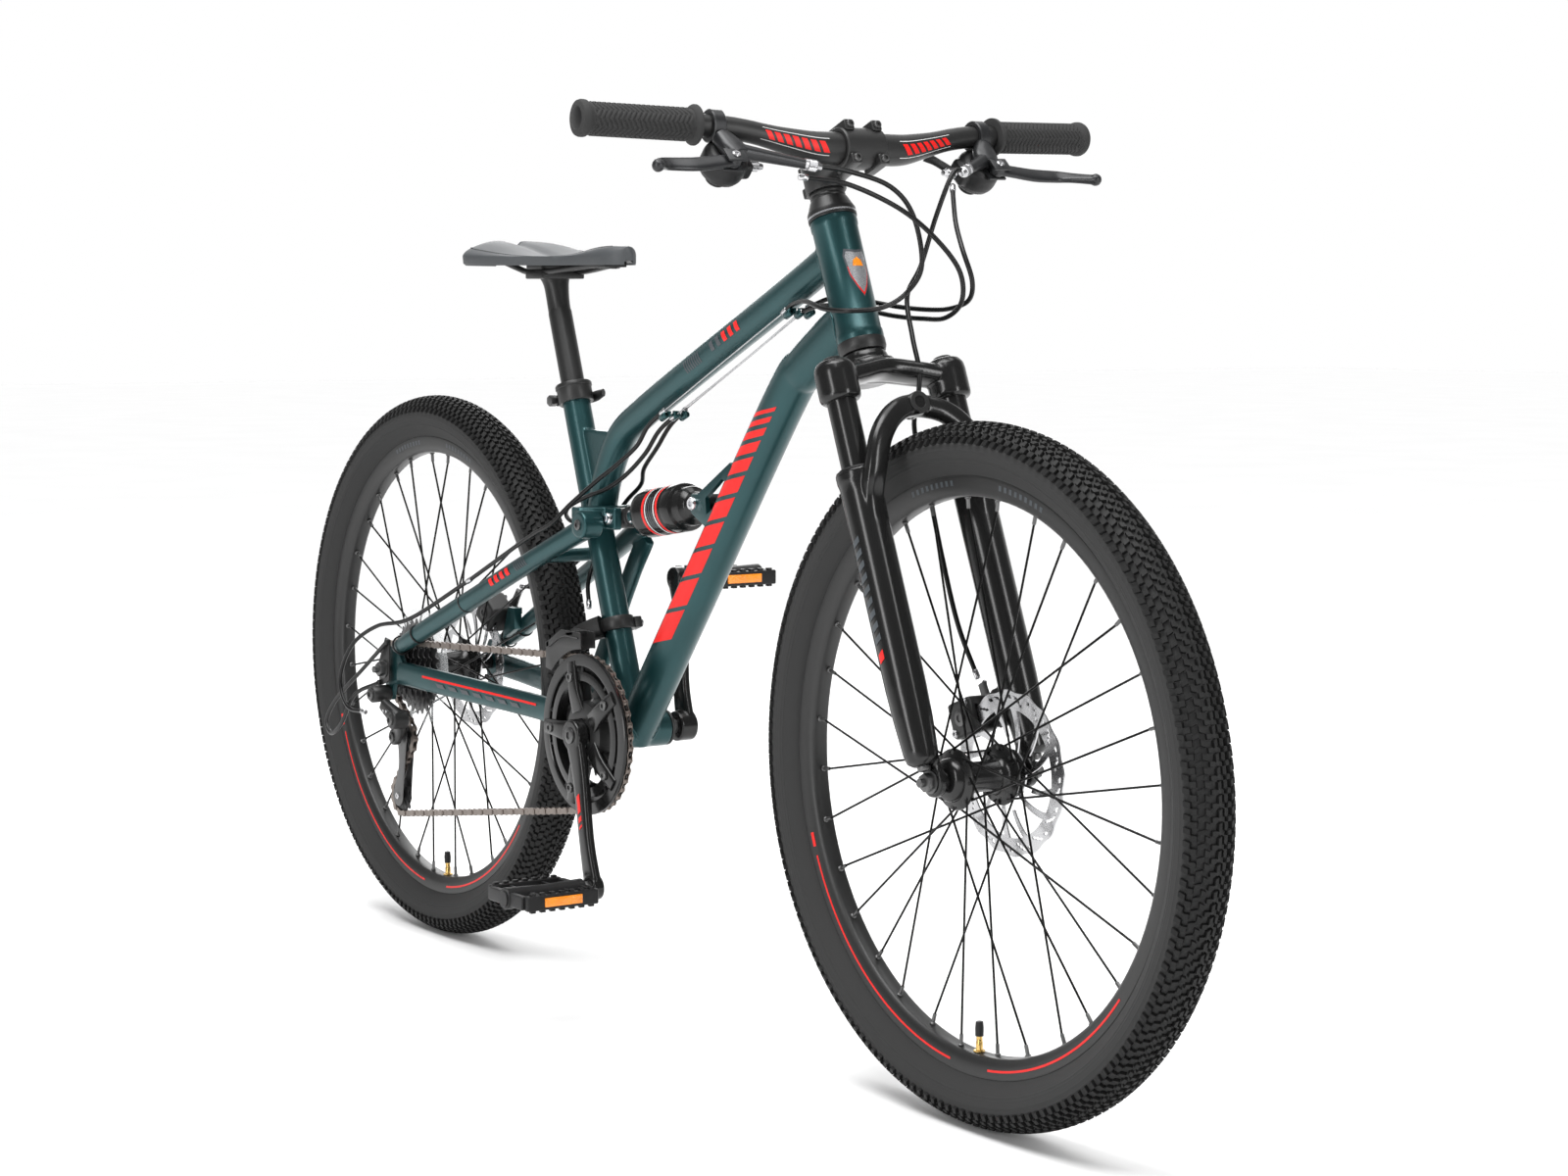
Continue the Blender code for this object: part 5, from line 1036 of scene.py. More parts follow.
# ---------------------------------------------------------------- seat
def rail_path(steps):
    """The line of the saddle rails, one bent wire."""
    half = [at(0.232, 0.036, 0.8340), at(0.250, 0.0250, 0.8255), at(0.268, 0.0220, 0.8215),
            at(0.312, 0.0220, 0.8215), at(0.345, 0.0200, 0.8235), at(0.395, 0.0135, 0.8275),
            at(0.418, 0.0085, 0.8270)]
    return smooth(half + [at(0.4245, 0, 0.8265)] + [side(p, -1) for p in reversed(half)], steps)


# The saddle runs between these distances ahead of the rear axle.
SADDLE_REAR = 0.187
SADDLE_NOSE = 0.455


def saddle_outline(x):
    """Half width, top height and edge height of the cushion, x ahead of the rear axle."""
    t = (x - SADDLE_REAR) / (SADDLE_NOSE - SADDLE_REAR)
    wide = 0.0225 + 0.059 * (0.5 + 0.5 * math.cos(math.pi * min(1, max(0, (t - 0.13) / 0.60))))
    ends = math.sqrt(max(0.0, 1 - max(0, (0.13 - t) / 0.135) ** 2))
    nose = math.sqrt(max(0.0, 1 - max(0, (t - 0.86) / 0.145) ** 2))
    top = 0.8585 - 0.016 * math.sin(math.pi * min(1, t * 1.05)) ** 2 - 0.010 * t
    return wide * ends * nose, top, 0.8395 - 0.002 * t


def cushion_height(x, share):
    """The top's height: a groove along the middle that deepens and splits at the rear."""
    t = (x - SADDLE_REAR) / (SADDLE_NOSE - SADDLE_REAR)
    wide, top, edge = saddle_outline(x)
    groove = math.exp(-(share * wide / 0.0085) ** 2) * (0.0050 - 0.0040 * min(1, t * 1.4))
    bulge = 0.0018 * math.exp(-((abs(share) - 0.52) / 0.22) ** 2) * max(0, 1 - t * 1.6)
    crown = max(0.0, 1 - abs(share) ** 3.2) ** 0.55
    return edge + (top - edge) * crown + bulge - groove


def cushion():
    """The padded cover, tucked under its edge; each ring is one cut across the saddle."""
    bm = bmesh.new()
    rings = []
    count = 72
    for i in range(count + 1):
        x = SADDLE_REAR + (SADDLE_NOSE - SADDLE_REAR) * (0.5 - 0.5 * math.cos(math.pi * i / count))
        t = i / count
        wide, _, edge = saddle_outline(x)
        wide = max(wide, 0.004)
        ring = []
        for k in range(45):
            share = -math.cos(math.pi * k / 44)
            split = 0.010 * math.exp(-(share * wide / 0.010) ** 2) * max(0, 1 - t * 9)
            ring.append(bm.verts.new(at(x + split, share * wide, cushion_height(x, share))))
        for share, drop in ((0.990, 0.0080), (0.945, 0.0104), (0.900, 0.0058)):
            ring.append(bm.verts.new(at(x, share * wide, edge - drop)))
        for share, drop in ((-0.900, 0.0058), (-0.945, 0.0104), (-0.990, 0.0080)):
            ring.append(bm.verts.new(at(x, share * wide, edge - drop)))
        rings.append(ring)
    bridge(bm, rings, False)
    return bm


def seam(offset):
    """A line of stitches on the cushion, as short raised threads."""
    bm = bmesh.new()
    for s in (1, -1):
        points = []
        for k in range(150):
            x = 0.203 + (0.438 - 0.203) * k / 149
            wide = saddle_outline(x)[0]
            share = s * min(0.86, max(0.10, 1 - offset / max(wide, 0.001)))
            points.append(at(x, share * wide, cushion_height(x, share) + 0.0002))
        for a, b in zip(points[::2], points[1::2]):
            thread = sweep([a, a.lerp(b, 0.5) + UP * 0.0002, b], 0.00045, 6)
            mesh = bpy.data.meshes.new("thread")
            thread.to_mesh(mesh)
            thread.free()
            bm.from_mesh(mesh)
            bpy.data.meshes.remove(mesh)
    return bm


def saddle_base():
    """The moulded shell under the cushion, with its rail sockets."""
    bm = bmesh.new()
    rings = []
    for i in range(41):
        x = 0.193 + (0.450 - 0.193) * (0.5 - 0.5 * math.cos(math.pi * i / 40))
        wide, _, edge = saddle_outline(x)
        wide = max(wide * 0.88, 0.003)
        ring = [bm.verts.new(at(x, share * wide, edge - 0.0025)) for share in (-1, -0.5, 0, 0.5, 1)]
        ring += [bm.verts.new(at(x, share * wide, edge - low)) for share, low in
                 ((0.97, 0.0068), (0.80, 0.0080), (0.45, 0.0060), (0, 0.0040), (-0.45, 0.0060),
                  (-0.80, 0.0080), (-0.97, 0.0068))]
        rings.append(ring)
    bridge(bm, rings, False)
    sockets = [block(at(0.234, s * 0.0350, 0.8345), (0.018, 0.013, 0.009)) for s in (1, -1)]
    return [bm] + sockets + [block(at(0.4200, 0, 0.8295), (0.016, 0.028, 0.009))]


def make_seat():
    """Saddle cover, stitching, shell, rails and pillar."""
    cover = piece("saddle_cushion", "seat", [(cushion(), "saddle_vinyl")], ["saddle"], 70)
    piece("saddle_stitching", "seat", [(seam(0.0085), "matte_black")])
    mark = block(at(0.1995, -0.030, 0.8465), (0.0030, 0.018, 0.0034), edge=0.0006)
    base = [(shape, "moulded_plastic") for shape in saddle_base()]
    piece("saddle_shell", "seat", base + [(mark, "red_print")])
    piece("seat_rails", "seat", [(sweep(rail_path(8), 0.0035, 16), "satin_black")],
          ["saddle_rails"])
    middle = at(0.290, 0, 0.8225)
    shapes = [(lathe([(0, 0.235), (0.0136, 0.235), (0.0136, 0.494), (0.0128, 0.498), (0, 0.498)], seat(0),
                     SEAT_UP, 40), "satin_black")]
    neck = bar([seat(0.480), seat(0.503), at(0.2935, 0, 0.8060), middle - UP * 0.004],
               [(0.0136, 0.0136), (0.0130, 0.0132), (0.0150, 0.0130), (0.0200, 0.0150)], 8, 32)
    shapes.append((neck, "satin_black"))
    lower = block(middle - UP * 0.0052, (0.040, 0.056, 0.0080), edge=0.0018)
    upper = block(middle + UP * 0.0052, (0.036, 0.056, 0.0075), edge=0.0020)
    shapes += [(lower, "satin_black"), (upper, "satin_black")]
    for d in (-0.012, 0.012):
        bolt = middle + Vector((d, 0, 0.0085))
        shapes.append((rod(bolt - UP * 0.028, bolt, 0.0026, 16), "dark_steel"))
        shapes.append((hex_bolt(bolt - UP * 0.029, -UP, 0.0046, 0.0040), "dark_steel"))
        shapes.append((rod(bolt - Y * 0.008, bolt + Y * 0.008, 0.0042, 20, 0.0006), "satin_black"))
    scale = tube_surface([seat(0.42), seat(0.45), seat(0.49)], (0.0136, 0.0136), Y - X * 0.8)
    shapes.append((decal([(0.002, -0.30), (0.058, -0.30), (0.058, -0.12), (0.002, -0.12)], scale),
                   "red_print"))
    for k in range(11):
        shapes.append((decal([(0.004 + k * 0.005, -0.06), (0.0049 + k * 0.005, -0.06),
                              (0.0049 + k * 0.005, 0.16), (0.004 + k * 0.005, 0.16)], scale),
                       "white_print"))
    piece("seat_pillar", "seat", shapes, ["seatpost"])


# ---------------------------------------------------------------- fork
def make_crown():
    """Steerer, crown and stanchions."""
    race = lathe([(0, -0.0130), (0.0215, -0.0130), (0.0235, -0.0190), (0.0235, -0.0260), (0, -0.0260)],
                 head(0), STEER_UP, 48)
    arch = [head(-0.052, 0.036, -LEG_Y), head(-0.044, 0.024, -0.042), head(-0.034, 0.008, -0.018),
            head(-0.032, 0.002, 0), head(-0.034, 0.008, 0.018), head(-0.044, 0.024, 0.042),
            head(-0.052, 0.036, LEG_Y)]
    web = [head(-0.054, 0.037, -LEG_Y), head(-0.046, 0.032, -0.040), head(-0.038, 0.024, 0),
           head(-0.046, 0.032, 0.040), head(-0.054, 0.037, LEG_Y)]
    cast = [race, sweep(smooth(arch, 8), (0.0120, 0.0150), 32, STEER_UP),
            sweep(smooth(web, 8), (0.0100, 0.0165), 32, STEER_UP, 2.6),
            lathe([(0, -0.0440), (0.0270, -0.0420), (0.0290, -0.0340), (0.0260, -0.0240), (0, -0.0235)],
                  head(0, 0.004), STEER_UP, 48)]
    legs = []
    for s in (1, -1):
        cast.append(lathe([(0.0, -0.0325), (0.010, -0.0330), (0.0165, -0.0350), (0.0198, -0.0400),
                           (0.0206, -0.0460), (0.0206, -0.0700), (0.0196, -0.0735), (0.0170, -0.0755),
                           (0, -0.0755)], head(0, FORK_OFFSET, s * LEG_Y), STEER_UP, 40))
        legs.append((rod(head(-0.060, FORK_OFFSET, s * LEG_Y), head(-0.300, FORK_OFFSET, s * LEG_Y),
                         0.0145, 40), "gloss_black"))
    cap = [(lathe([(0, -0.0332), (0.0090, -0.0332), (0.0090, -0.0312), (0.0080, -0.0305), (0, -0.0305)],
                  head(0, FORK_OFFSET, s * LEG_Y), STEER_UP, 24), "satin_black") for s in (1, -1)]
    steerer = rod(head(-0.038), head(0.196), 0.0143, 32)
    piece("crown_and_stanchions", "steering",
          [(fused(cast, 0.0012, 8), "gloss_black"), (steerer, "gloss_black"), *legs, *cap],
          ["fork_crown"], 40)


def make_lowers():
    """Both legs, the arch, the dropouts and the wiper seals."""
    cast, fittings = [], []
    for s in (1, -1):
        leg = [(0, -0.1462), (0.0215, -0.1462), (0.0217, -0.1475), (0.0217, -0.1560), (0.0208, -0.1590),
               (0.0201, -0.1650), (0.0200, -0.3600), (0.0190, -0.3900), (0.0168, -0.4250), (0.0150, -0.4330),
               (0.0090, -0.4375), (0, -0.4380)]
        foot = head(0, FORK_OFFSET, s * LEG_Y)
        cast.append(lathe(leg, foot, STEER_UP, 44))
        seal = [(0.0152, -0.1433), (0.0175, -0.1433), (0.0182, -0.1440), (0.0190, -0.1452),
                (0.0206, -0.1455), (0.0208, -0.1462), (0.0152, -0.1462)]
        fittings.append((lathe(seal, foot, STEER_UP, 44, True), "matte_black"))
        low = head(-0.4522, 0.0320, s * 0.0549)
        cast.append(rod(low - Y * 0.0045, low + Y * 0.0045, 0.0150, 40))
        tab = smooth([head(-0.412, FORK_OFFSET, s * 0.0600), head(-0.435, 0.034, s * 0.0560), low], 6)
        cast.append(sweep(tab, (0.0045, 0.0135), 24))
        nut = head(-0.4380, FORK_OFFSET, s * LEG_Y)
        fittings.append((hex_bolt(nut, -STEER_UP, 0.0065, 0.0040), "dark_steel"))
    half = [head(-0.215, 0.046, LEG_Y), head(-0.178, 0.050, LEG_Y), head(-0.152, 0.062, 0.0640),
            head(-0.120, 0.0670, 0.0520), head(-0.098, 0.0660, 0.0300)]
    arch = half + [head(-0.089, 0.0600, 0)] + [side(p, -1) for p in reversed(half)]
    cast.append(sweep(smooth(arch, 8), (0.0085, 0.0112), 28, STEER_FORE, 2.8))
    cast.append(rod(head(-0.0885, 0.0485), head(-0.0885, 0.0700), 0.0115, 32))
    cast.append(sweep([head(-0.384, 0.026, 0.0530), head(-0.384, 0.0104, 0.0530)], (0.0050, 0.0200), 20))
    boss = head(-0.0885, 0.0700)
    fittings.append((lathe([(0.0060, -0.001), (0.0108, -0.001), (0.0112, 0.0006), (0.0106, 0.0012),
                            (0.0064, 0.0012), (0.0060, 0.0004)], boss, STEER_FORE, 36, True), "satin_black"))
    for s in (1, -1):
        wall = tube_surface([head(-0.34, FORK_OFFSET, s * LEG_Y), head(-0.28, FORK_OFFSET, s * LEG_Y),
                             head(-0.20, FORK_OFFSET, s * LEG_Y)], (0.0202, 0.0202), Y * s)
        for k in range(9):
            outline = slanted(0.022 + 0.012 * k, 0.028 + 0.012 * k, -0.26, 0.26, 0.005)
            fittings.append((decal(outline, wall), "grey_print"))
        fittings.append((decal(slanted(0.004, 0.013, -0.20, 0.20, 0.004), wall), "red_print"))
    piece("lowers_cast", "fork_lowers", [(fused(cast, 0.0013, 7), "gloss_black"), *fittings],
          ["fork_lowers"], 40)


def make_axles():
    """Both threaded axles with their washers and nuts."""
    spots = (("front_axle", "fork_lowers", FRONT_AXLE, 0.0598, 0.0740),
             ("rear_axle", "swingarm", REAR_AXLE, 0.0812, 0.0960))
    for name, body, centre, inner, tip in spots:
        shapes = [(rod(centre - Y * tip, centre + Y * tip, 0.0042, 24, 0.0008), "dark_steel")]
        for s in (1, -1):
            washer = lathe([(0.0044, 0), (0.0112, 0), (0.0112, 0.0014), (0.0098, 0.0016), (0.0044, 0.0016)],
                           centre + Y * (s * inner), Y * s, 36, True)
            shapes.append((washer, "dark_steel"))
            shapes.append((hex_bolt(centre + Y * (s * (inner + 0.0014)), Y * s, 0.0092, 0.0068, False),
                           "dark_steel"))
        piece(name + "_nutted", body, shapes, [name])


# ---------------------------------------------------------------- cockpit
def bar_path(steps):
    """The middle line of the riser handlebar, from the right end to the left."""
    half = [at(0.8905, 0.0, 0.9345), at(0.8905, 0.030, 0.9345), at(0.8895, 0.055, 0.9352),
            at(0.8860, 0.085, 0.9405), at(0.8805, 0.125, 0.9485), at(0.8765, 0.160, 0.9520)]
    tip = at(0.8670, 0.299, 0.9550)
    half += [half[-1].lerp(tip, 0.5), tip]
    return smooth([side(p, -1) for p in reversed(half)] + half[1:], steps)


def bar_radius(point):
    """The handlebar's radius, thickest at the clamp."""
    share = min(1, max(0, (abs(point.y) - 0.040) / 0.075))
    return 0.0159 + (0.0111 - 0.0159) * (3 * share ** 2 - 2 * share ** 3)


def make_handlebar():
    """The riser bar with its printed marks."""
    path = bar_path(8)
    shapes = [(sweep(path, [bar_radius(p) for p in path], 36, UP), "satin_black")]
    total = sum((b - a).length for a, b in zip(path, path[1:]))
    wall = tube_surface(path, lambda p: (bar_radius(p), bar_radius(p)), X)
    for middle in (total / 2 - 0.078, total / 2 + 0.078):
        for k in range(7):
            mark = slanted(middle - 0.033 + k * 0.0095, middle - 0.0268 + k * 0.0095, -0.34, 0.36, 0.006)
            shapes.append((decal(mark, wall), "red_print"))
        for angle in (-0.56, 0.52):
            line = [(middle - 0.036, angle), (middle + 0.036, angle), (middle + 0.036, angle + 0.05),
                    (middle - 0.036, angle + 0.05)]
            shapes.append((decal(line, wall), "white_print"))
    piece("riser_bar", "steering", shapes, ["handlebar"])


def make_stem():
    """Stem body, four-bolt faceplate, spacers and top cap."""
    shell = lathe([(0.0146, 0.1600), (0.0200, 0.1600), (0.0205, 0.1608), (0.0205, 0.1992),
                   (0.0200, 0.2000), (0.0146, 0.2000)], head(0), STEER_UP, 48, True)
    spacers = [lathe([(0.0146, low), (0.0176, low), (0.0180, low + 0.0006), (0.0180, low + 0.0032),
                      (0.0176, low + 0.0038), (0.0146, low + 0.0038)], head(0), STEER_UP, 40, True)
               for low in (0.1520, 0.1560)]
    body = bar([head(0.176), head(0.1785, 0.020), head(0.1790, 0.040), head(0.1792, 0.0520)],
               [(0.0190, 0.0175), (0.0170, 0.0150), (0.0195, 0.0155), (0.0228, 0.0180)], 6, 36, Y, 2.8)
    clamp = pipe(BAR_CLAMP - Y * 0.0240, BAR_CLAMP + Y * 0.0240, 0.0208, 0.0165, 56, 0.0014)
    shapes = [(fused([body, rod(head(0.1605), head(0.1995), 0.0203, 48)], 0.0011, 5), "satin_black"),
              (shell, "satin_black"), (clamp, "satin_black")]
    shapes += [(spacer, "satin_black") for spacer in spacers]
    for v in (1, -1):
        for s in (1, -1):
            corner = BAR_CLAMP + STEER_UP * (0.0178 * v) + Y * (0.0165 * s)
            shapes.append((block(corner + STEER_FORE * 0.004, (0.030, 0.0115, 0.0110),
                                 (STEER_FORE, Y, STEER_UP), 0.0022, 3), "satin_black"))
            shapes.append((hex_bolt(corner + STEER_FORE * 0.0188, STEER_FORE, 0.0041, 0.0030), "dark_steel"))
    cap = lathe([(0, 0.2003), (0.0180, 0.2003), (0.0182, 0.2012), (0.0172, 0.2032), (0.0060, 0.2040),
                 (0, 0.2040)], head(0), STEER_UP, 44)
    shapes.append((cap, "satin_black"))
    shapes.append((hex_bolt(head(0.2036), STEER_UP, 0.0046, 0.0022), "dark_steel"))
    for low in (0.169, 0.191):
        spot = head(low, -0.0215, 0.0)
        shapes.append((block(spot, (0.010, 0.020, 0.0105), (STEER_FORE, Y, STEER_UP), 0.0016), "satin_black"))
        shapes.append((hex_bolt(spot + Y * 0.0098, Y, 0.0040, 0.0026), "dark_steel"))
    piece("stem_clamped", "steering", shapes, ["stem"], 35)


def grip_line(s):
    """Where one grip starts on the bar, and the direction outwards along it."""
    inner = side(at(0.8765, 0.160, 0.9520), s)
    tip = side(at(0.8670, 0.299, 0.9550), s)
    return inner, (tip - inner).normalized()


def chevron_grip(start, out):
    """A moulded grip: inner flange, V-shaped ribs all round, and a round end."""
    bm = bmesh.new()
    u, v = frame_of(out, UP)
    rings = []
    segments = 112
    outline = [(0.0115, 0.0185), (0.0192, 0.0187), (0.0197, 0.0195), (0.0197, 0.0215), (0.0190, 0.0228),
               (0.0162, 0.0252)]
    count = 210
    outline += [(0.0152, 0.0256 + (0.1335 - 0.0256) * k / count) for k in range(count + 1)]
    outline += [(0.0158, 0.1345), (0.0174, 0.1368), (0.0177, 0.1385), (0.0177, 0.1415), (0.0168, 0.1438),
                (0.0145, 0.1450), (0.0060, 0.1452), (0.0115, 0.1400)]
    for radius, along in outline:
        ring = []
        for k in range(segments):
            a = 2 * math.pi * k / segments
            lift = 0.0
            if 0.029 < along < 0.131:
                zigzag = abs((k / segments * 6) % 1 - 0.5) * 0.011
                lift = 0.0010 if ((along + zigzag) / 0.0052) % 1 < 0.56 else 0.0
            ring.append(bm.verts.new(start + out * along + (u * math.cos(a) + v * math.sin(a))
                                     * (radius + lift)))
        rings.append(ring)
    bridge(bm, rings, True)
    return bm


def make_grips():
    """Both grips with their end plugs."""
    for s, name in ((-1, "grip_right"), (1, "grip_left")):
        start, out = grip_line(s)
        plug = lathe([(0, 0.1403), (0.0112, 0.1403), (0.0112, 0.1452), (0.0090, 0.1462), (0, 0.1464)],
                     start, out, 36)
        piece(name + "_ribbed", "steering",
              [(chevron_grip(start, out), "grip_rubber"), (plug, "moulded_plastic")], [name], 30)


def lever_frame(s):
    """Where one lever's clamp is, and its directions outwards and forwards."""
    start, out = grip_line(s)
    return start - out * 0.001, out, Vector((0.72, 0, -0.69)).normalized()


ARM_END = {"right": 0.080, "left": 0.112}
POD_UP = Vector((0.69, 0, 0.72)).normalized()


def make_controls():
    """Clamp band, lever perch, cable adjuster and shifter pod of each side."""
    for s, name in ((-1, "right"), (1, "left")):
        centre, out, fore = lever_frame(s)
        band = pipe(centre - out * 0.0065, centre + out * 0.0065, 0.0162, 0.0116, 44, 0.0010)
        perch = bar([centre + fore * 0.0135, centre + fore * 0.030 - out * 0.006,
                     centre + fore * 0.043 - out * 0.009], [(0.0085, 0.0085), (0.0130, 0.0088),
                                                          (0.0110, 0.0080)], 8, 28, Y, 2.6)
        tip = side(at(0.9225, ARM_END[name], 0.9155), s)
        root = centre + fore * 0.034 - out * 0.008
        arm = bar([root, root.lerp(tip, 0.5), tip], [0.0078, 0.0062, 0.0048], 8, 24)
        inward = (tip - root).normalized()
        shapes = [(fused([perch, arm], 0.0009, 5), "lever_grey"), (band, "lever_grey")]
        shapes.append((hex_bolt(centre + fore * 0.0150 - POD_UP * 0.0095, -POD_UP, 0.0036, 0.0026),
                       "dark_steel"))
        shapes += [(block(centre + fore * 0.049 + POD_UP * d, (0.016, 0.022, 0.0024),
                          (fore, out, POD_UP), 0.0009), "lever_grey") for d in (0.0064, -0.0064)]
        shapes.append((hex_bolt(centre + fore * 0.0490 + POD_UP * 0.0074, POD_UP, 0.0042, 0.0018),
                       "brushed_steel"))
        shapes += adjuster(tip - inward * 0.004, inward, 0.0058)
        shapes += shifter_pod(centre + fore * 0.030 - POD_UP * 0.020 - out * 0.006, out, fore, name)
        piece("control_unit_" + name, "steering", shapes, ["control_" + name], 35)


def adjuster(base, axis, radius):
    """A knurled silver cable barrel with its lock ring."""
    ring = lathe([(0, 0), (radius, 0), (radius, 0.0030), (radius * 0.8, 0.0036), (0, 0.0036)], base, axis, 12)
    barrel = bmesh.new()
    u, v = frame_of(axis, UP)
    rows = []
    for along, scale in ((0.0038, 0.80), (0.0044, 0.92), (0.0120, 0.92), (0.0128, 0.80), (0.0175, 0.55),
                         (0.0178, 0.30)):
        row = []
        for k in range(48):
            a = 2 * math.pi * k / 48
            knurl = 0.05 * radius * (1 if k % 2 else -1) if 0.004 < along < 0.0125 else 0
            row.append(barrel.verts.new(base + axis * along + (u * math.cos(a) + v * math.sin(a))
                                        * (radius * scale + knurl)))
        rows.append(row)
    bridge(barrel, rows, False)
    return [(ring, "brushed_steel"), (barrel, "brushed_steel")]


def shifter_pod(middle, out, fore, name):
    """The round shifter case with its gear window and screws."""
    case = lathe([(0.0, -0.0160), (0.0160, -0.0158), (0.0192, -0.0140), (0.0222, -0.0085), (0.0230, -0.0040),
                  (0.0230, 0.0050), (0.0224, 0.0086), (0.0180, 0.0130), (0.0150, 0.0140), (0, 0.0142)],
                 middle, POD_UP, 56)
    nose = block(middle - out * 0.014 - POD_UP * 0.001, (0.026, 0.026, 0.018), (fore, out, POD_UP), 0.005, 4)
    shapes = [(fused([case, nose], 0.0009, 5), "moulded_plastic")]
    reach = 0.0150 if name == "right" else 0.0185
    window = block(middle + POD_UP * 0.0118 + fore * 0.006 - out * 0.004, (0.012, reach, 0.0052),
                   (fore, out, POD_UP), 0.0016, 3)
    shapes.append((window, "shield_window"))
    shapes.append((hex_bolt(middle - POD_UP * 0.0160, -POD_UP, 0.0036, 0.0018), "dark_steel"))
    shapes += adjuster(middle - out * 0.026 - POD_UP * 0.002, -out, 0.0052)
    return shapes


def make_levers():
    """Both brake levers and both thumb levers."""
    for s, name in ((-1, "right"), (1, "left")):
        centre, out, fore = lever_frame(s)
        pivot = centre + fore * 0.0490
        route = [pivot - out * 0.004, pivot + out * 0.014 + fore * 0.003, pivot + out * 0.045 + fore * 0.009,
                 pivot + out * 0.080 + fore * 0.011, side(at(0.9430, 0.262, 0.9090), s)]
        blade = bar(route, [(0.0040, 0.0070), (0.0036, 0.0078), (0.0034, 0.0086), (0.0034, 0.0078),
                            (0.0046, 0.0056)], 12, 28, POD_UP, 2.8)
        knob_end = lathe([(0, -0.0060), (0.0040, -0.0052), (0.0060, -0.0020), (0.0060, 0.0020),
                          (0.0040, 0.0052), (0, 0.0060)], route[-1], POD_UP, 28)
        bush = rod(pivot - POD_UP * 0.0050, pivot + POD_UP * 0.0050, 0.0075, 28, 0.0006)
        piece("lever_blade_" + name, "brake_lever_" + name,
              [(fused([blade, knob_end, bush], 0.0008, 5), "lever_grey")], ["brake_lever_" + name], 45)
        hub = centre + fore * 0.030 - POD_UP * 0.040 - out * 0.006
        paddle = bar([hub, hub - fore * 0.018 - out * 0.006, hub - fore * 0.036 - out * 0.020,
                      hub - fore * 0.046 - out * 0.032],
                     [(0.0026, 0.0092), (0.0026, 0.0072), (0.0026, 0.0062), (0.0030, 0.0080)], 10, 24,
                     POD_UP, 2.8)
        ribs = [block(hub - fore * (0.041 + 0.002 * k) - out * (0.026 + 0.003 * k) + POD_UP * 0.0026,
                      (0.0009, 0.010, 0.0012), (fore, out, POD_UP), 0.0) for k in range(3)]
        piece("thumb_lever_" + name, "shift_lever_" + name,
              [(paddle, "moulded_plastic"), *[(rib, "moulded_plastic") for rib in ribs],
               (rod(hub - POD_UP * 0.003, hub + POD_UP * 0.003, 0.0100, 32, 0.0008), "moulded_plastic")],
              ["shift_lever_" + name], 35)


# ---------------------------------------------------------------- rear triangle and shock
def stay_path(s, steps):
    """The middle line of one seat stay."""
    return smooth([side(at(0.020, 0.0713, 0.3640), s), side(at(0.05, 0.0755, 0.3735), s),
                   side(at(0.13, 0.0680, 0.4085), s), side(at(0.33, 0.0495, 0.4950), s),
                   side(at(0.430, 0.0365, 0.5375), s)], steps)


def chainstay_path(s, steps):
    """The middle line of one chain stay."""
    return smooth([side(at(0.028, 0.0715, 0.3340), s), side(at(0.10, 0.0660, 0.3310), s),
                   side(at(0.30, 0.0455, 0.3225), s), side(at(0.386, 0.0405, 0.3180), s)], steps)


def bored(bm, cuts):
    """The mesh with other meshes cut out of it."""
    mesh = bpy.data.meshes.new("bored")
    bm.to_mesh(mesh)
    bm.free()
    holder = bpy.data.objects.new("bored", mesh)
    bpy.context.scene.collection.objects.link(holder)
    tools = []
    for cut in cuts:
        bmesh.ops.recalc_face_normals(cut, faces=cut.faces)
        cut_mesh = bpy.data.meshes.new("cut")
        cut.to_mesh(cut_mesh)
        cut.free()
        tool = bpy.data.objects.new("cut", cut_mesh)
        bpy.context.scene.collection.objects.link(tool)
        change = holder.modifiers.new("cut", "BOOLEAN")
        change.operation = "DIFFERENCE"
        change.solver = "EXACT"
        change.object = tool
        tools.append(tool)
    shown = holder.evaluated_get(bpy.context.evaluated_depsgraph_get())
    done = bmesh.new()
    done.from_mesh(shown.to_mesh())
    shown.to_mesh_clear()
    for spare in [holder, *tools]:
        bpy.data.objects.remove(spare)
    return done


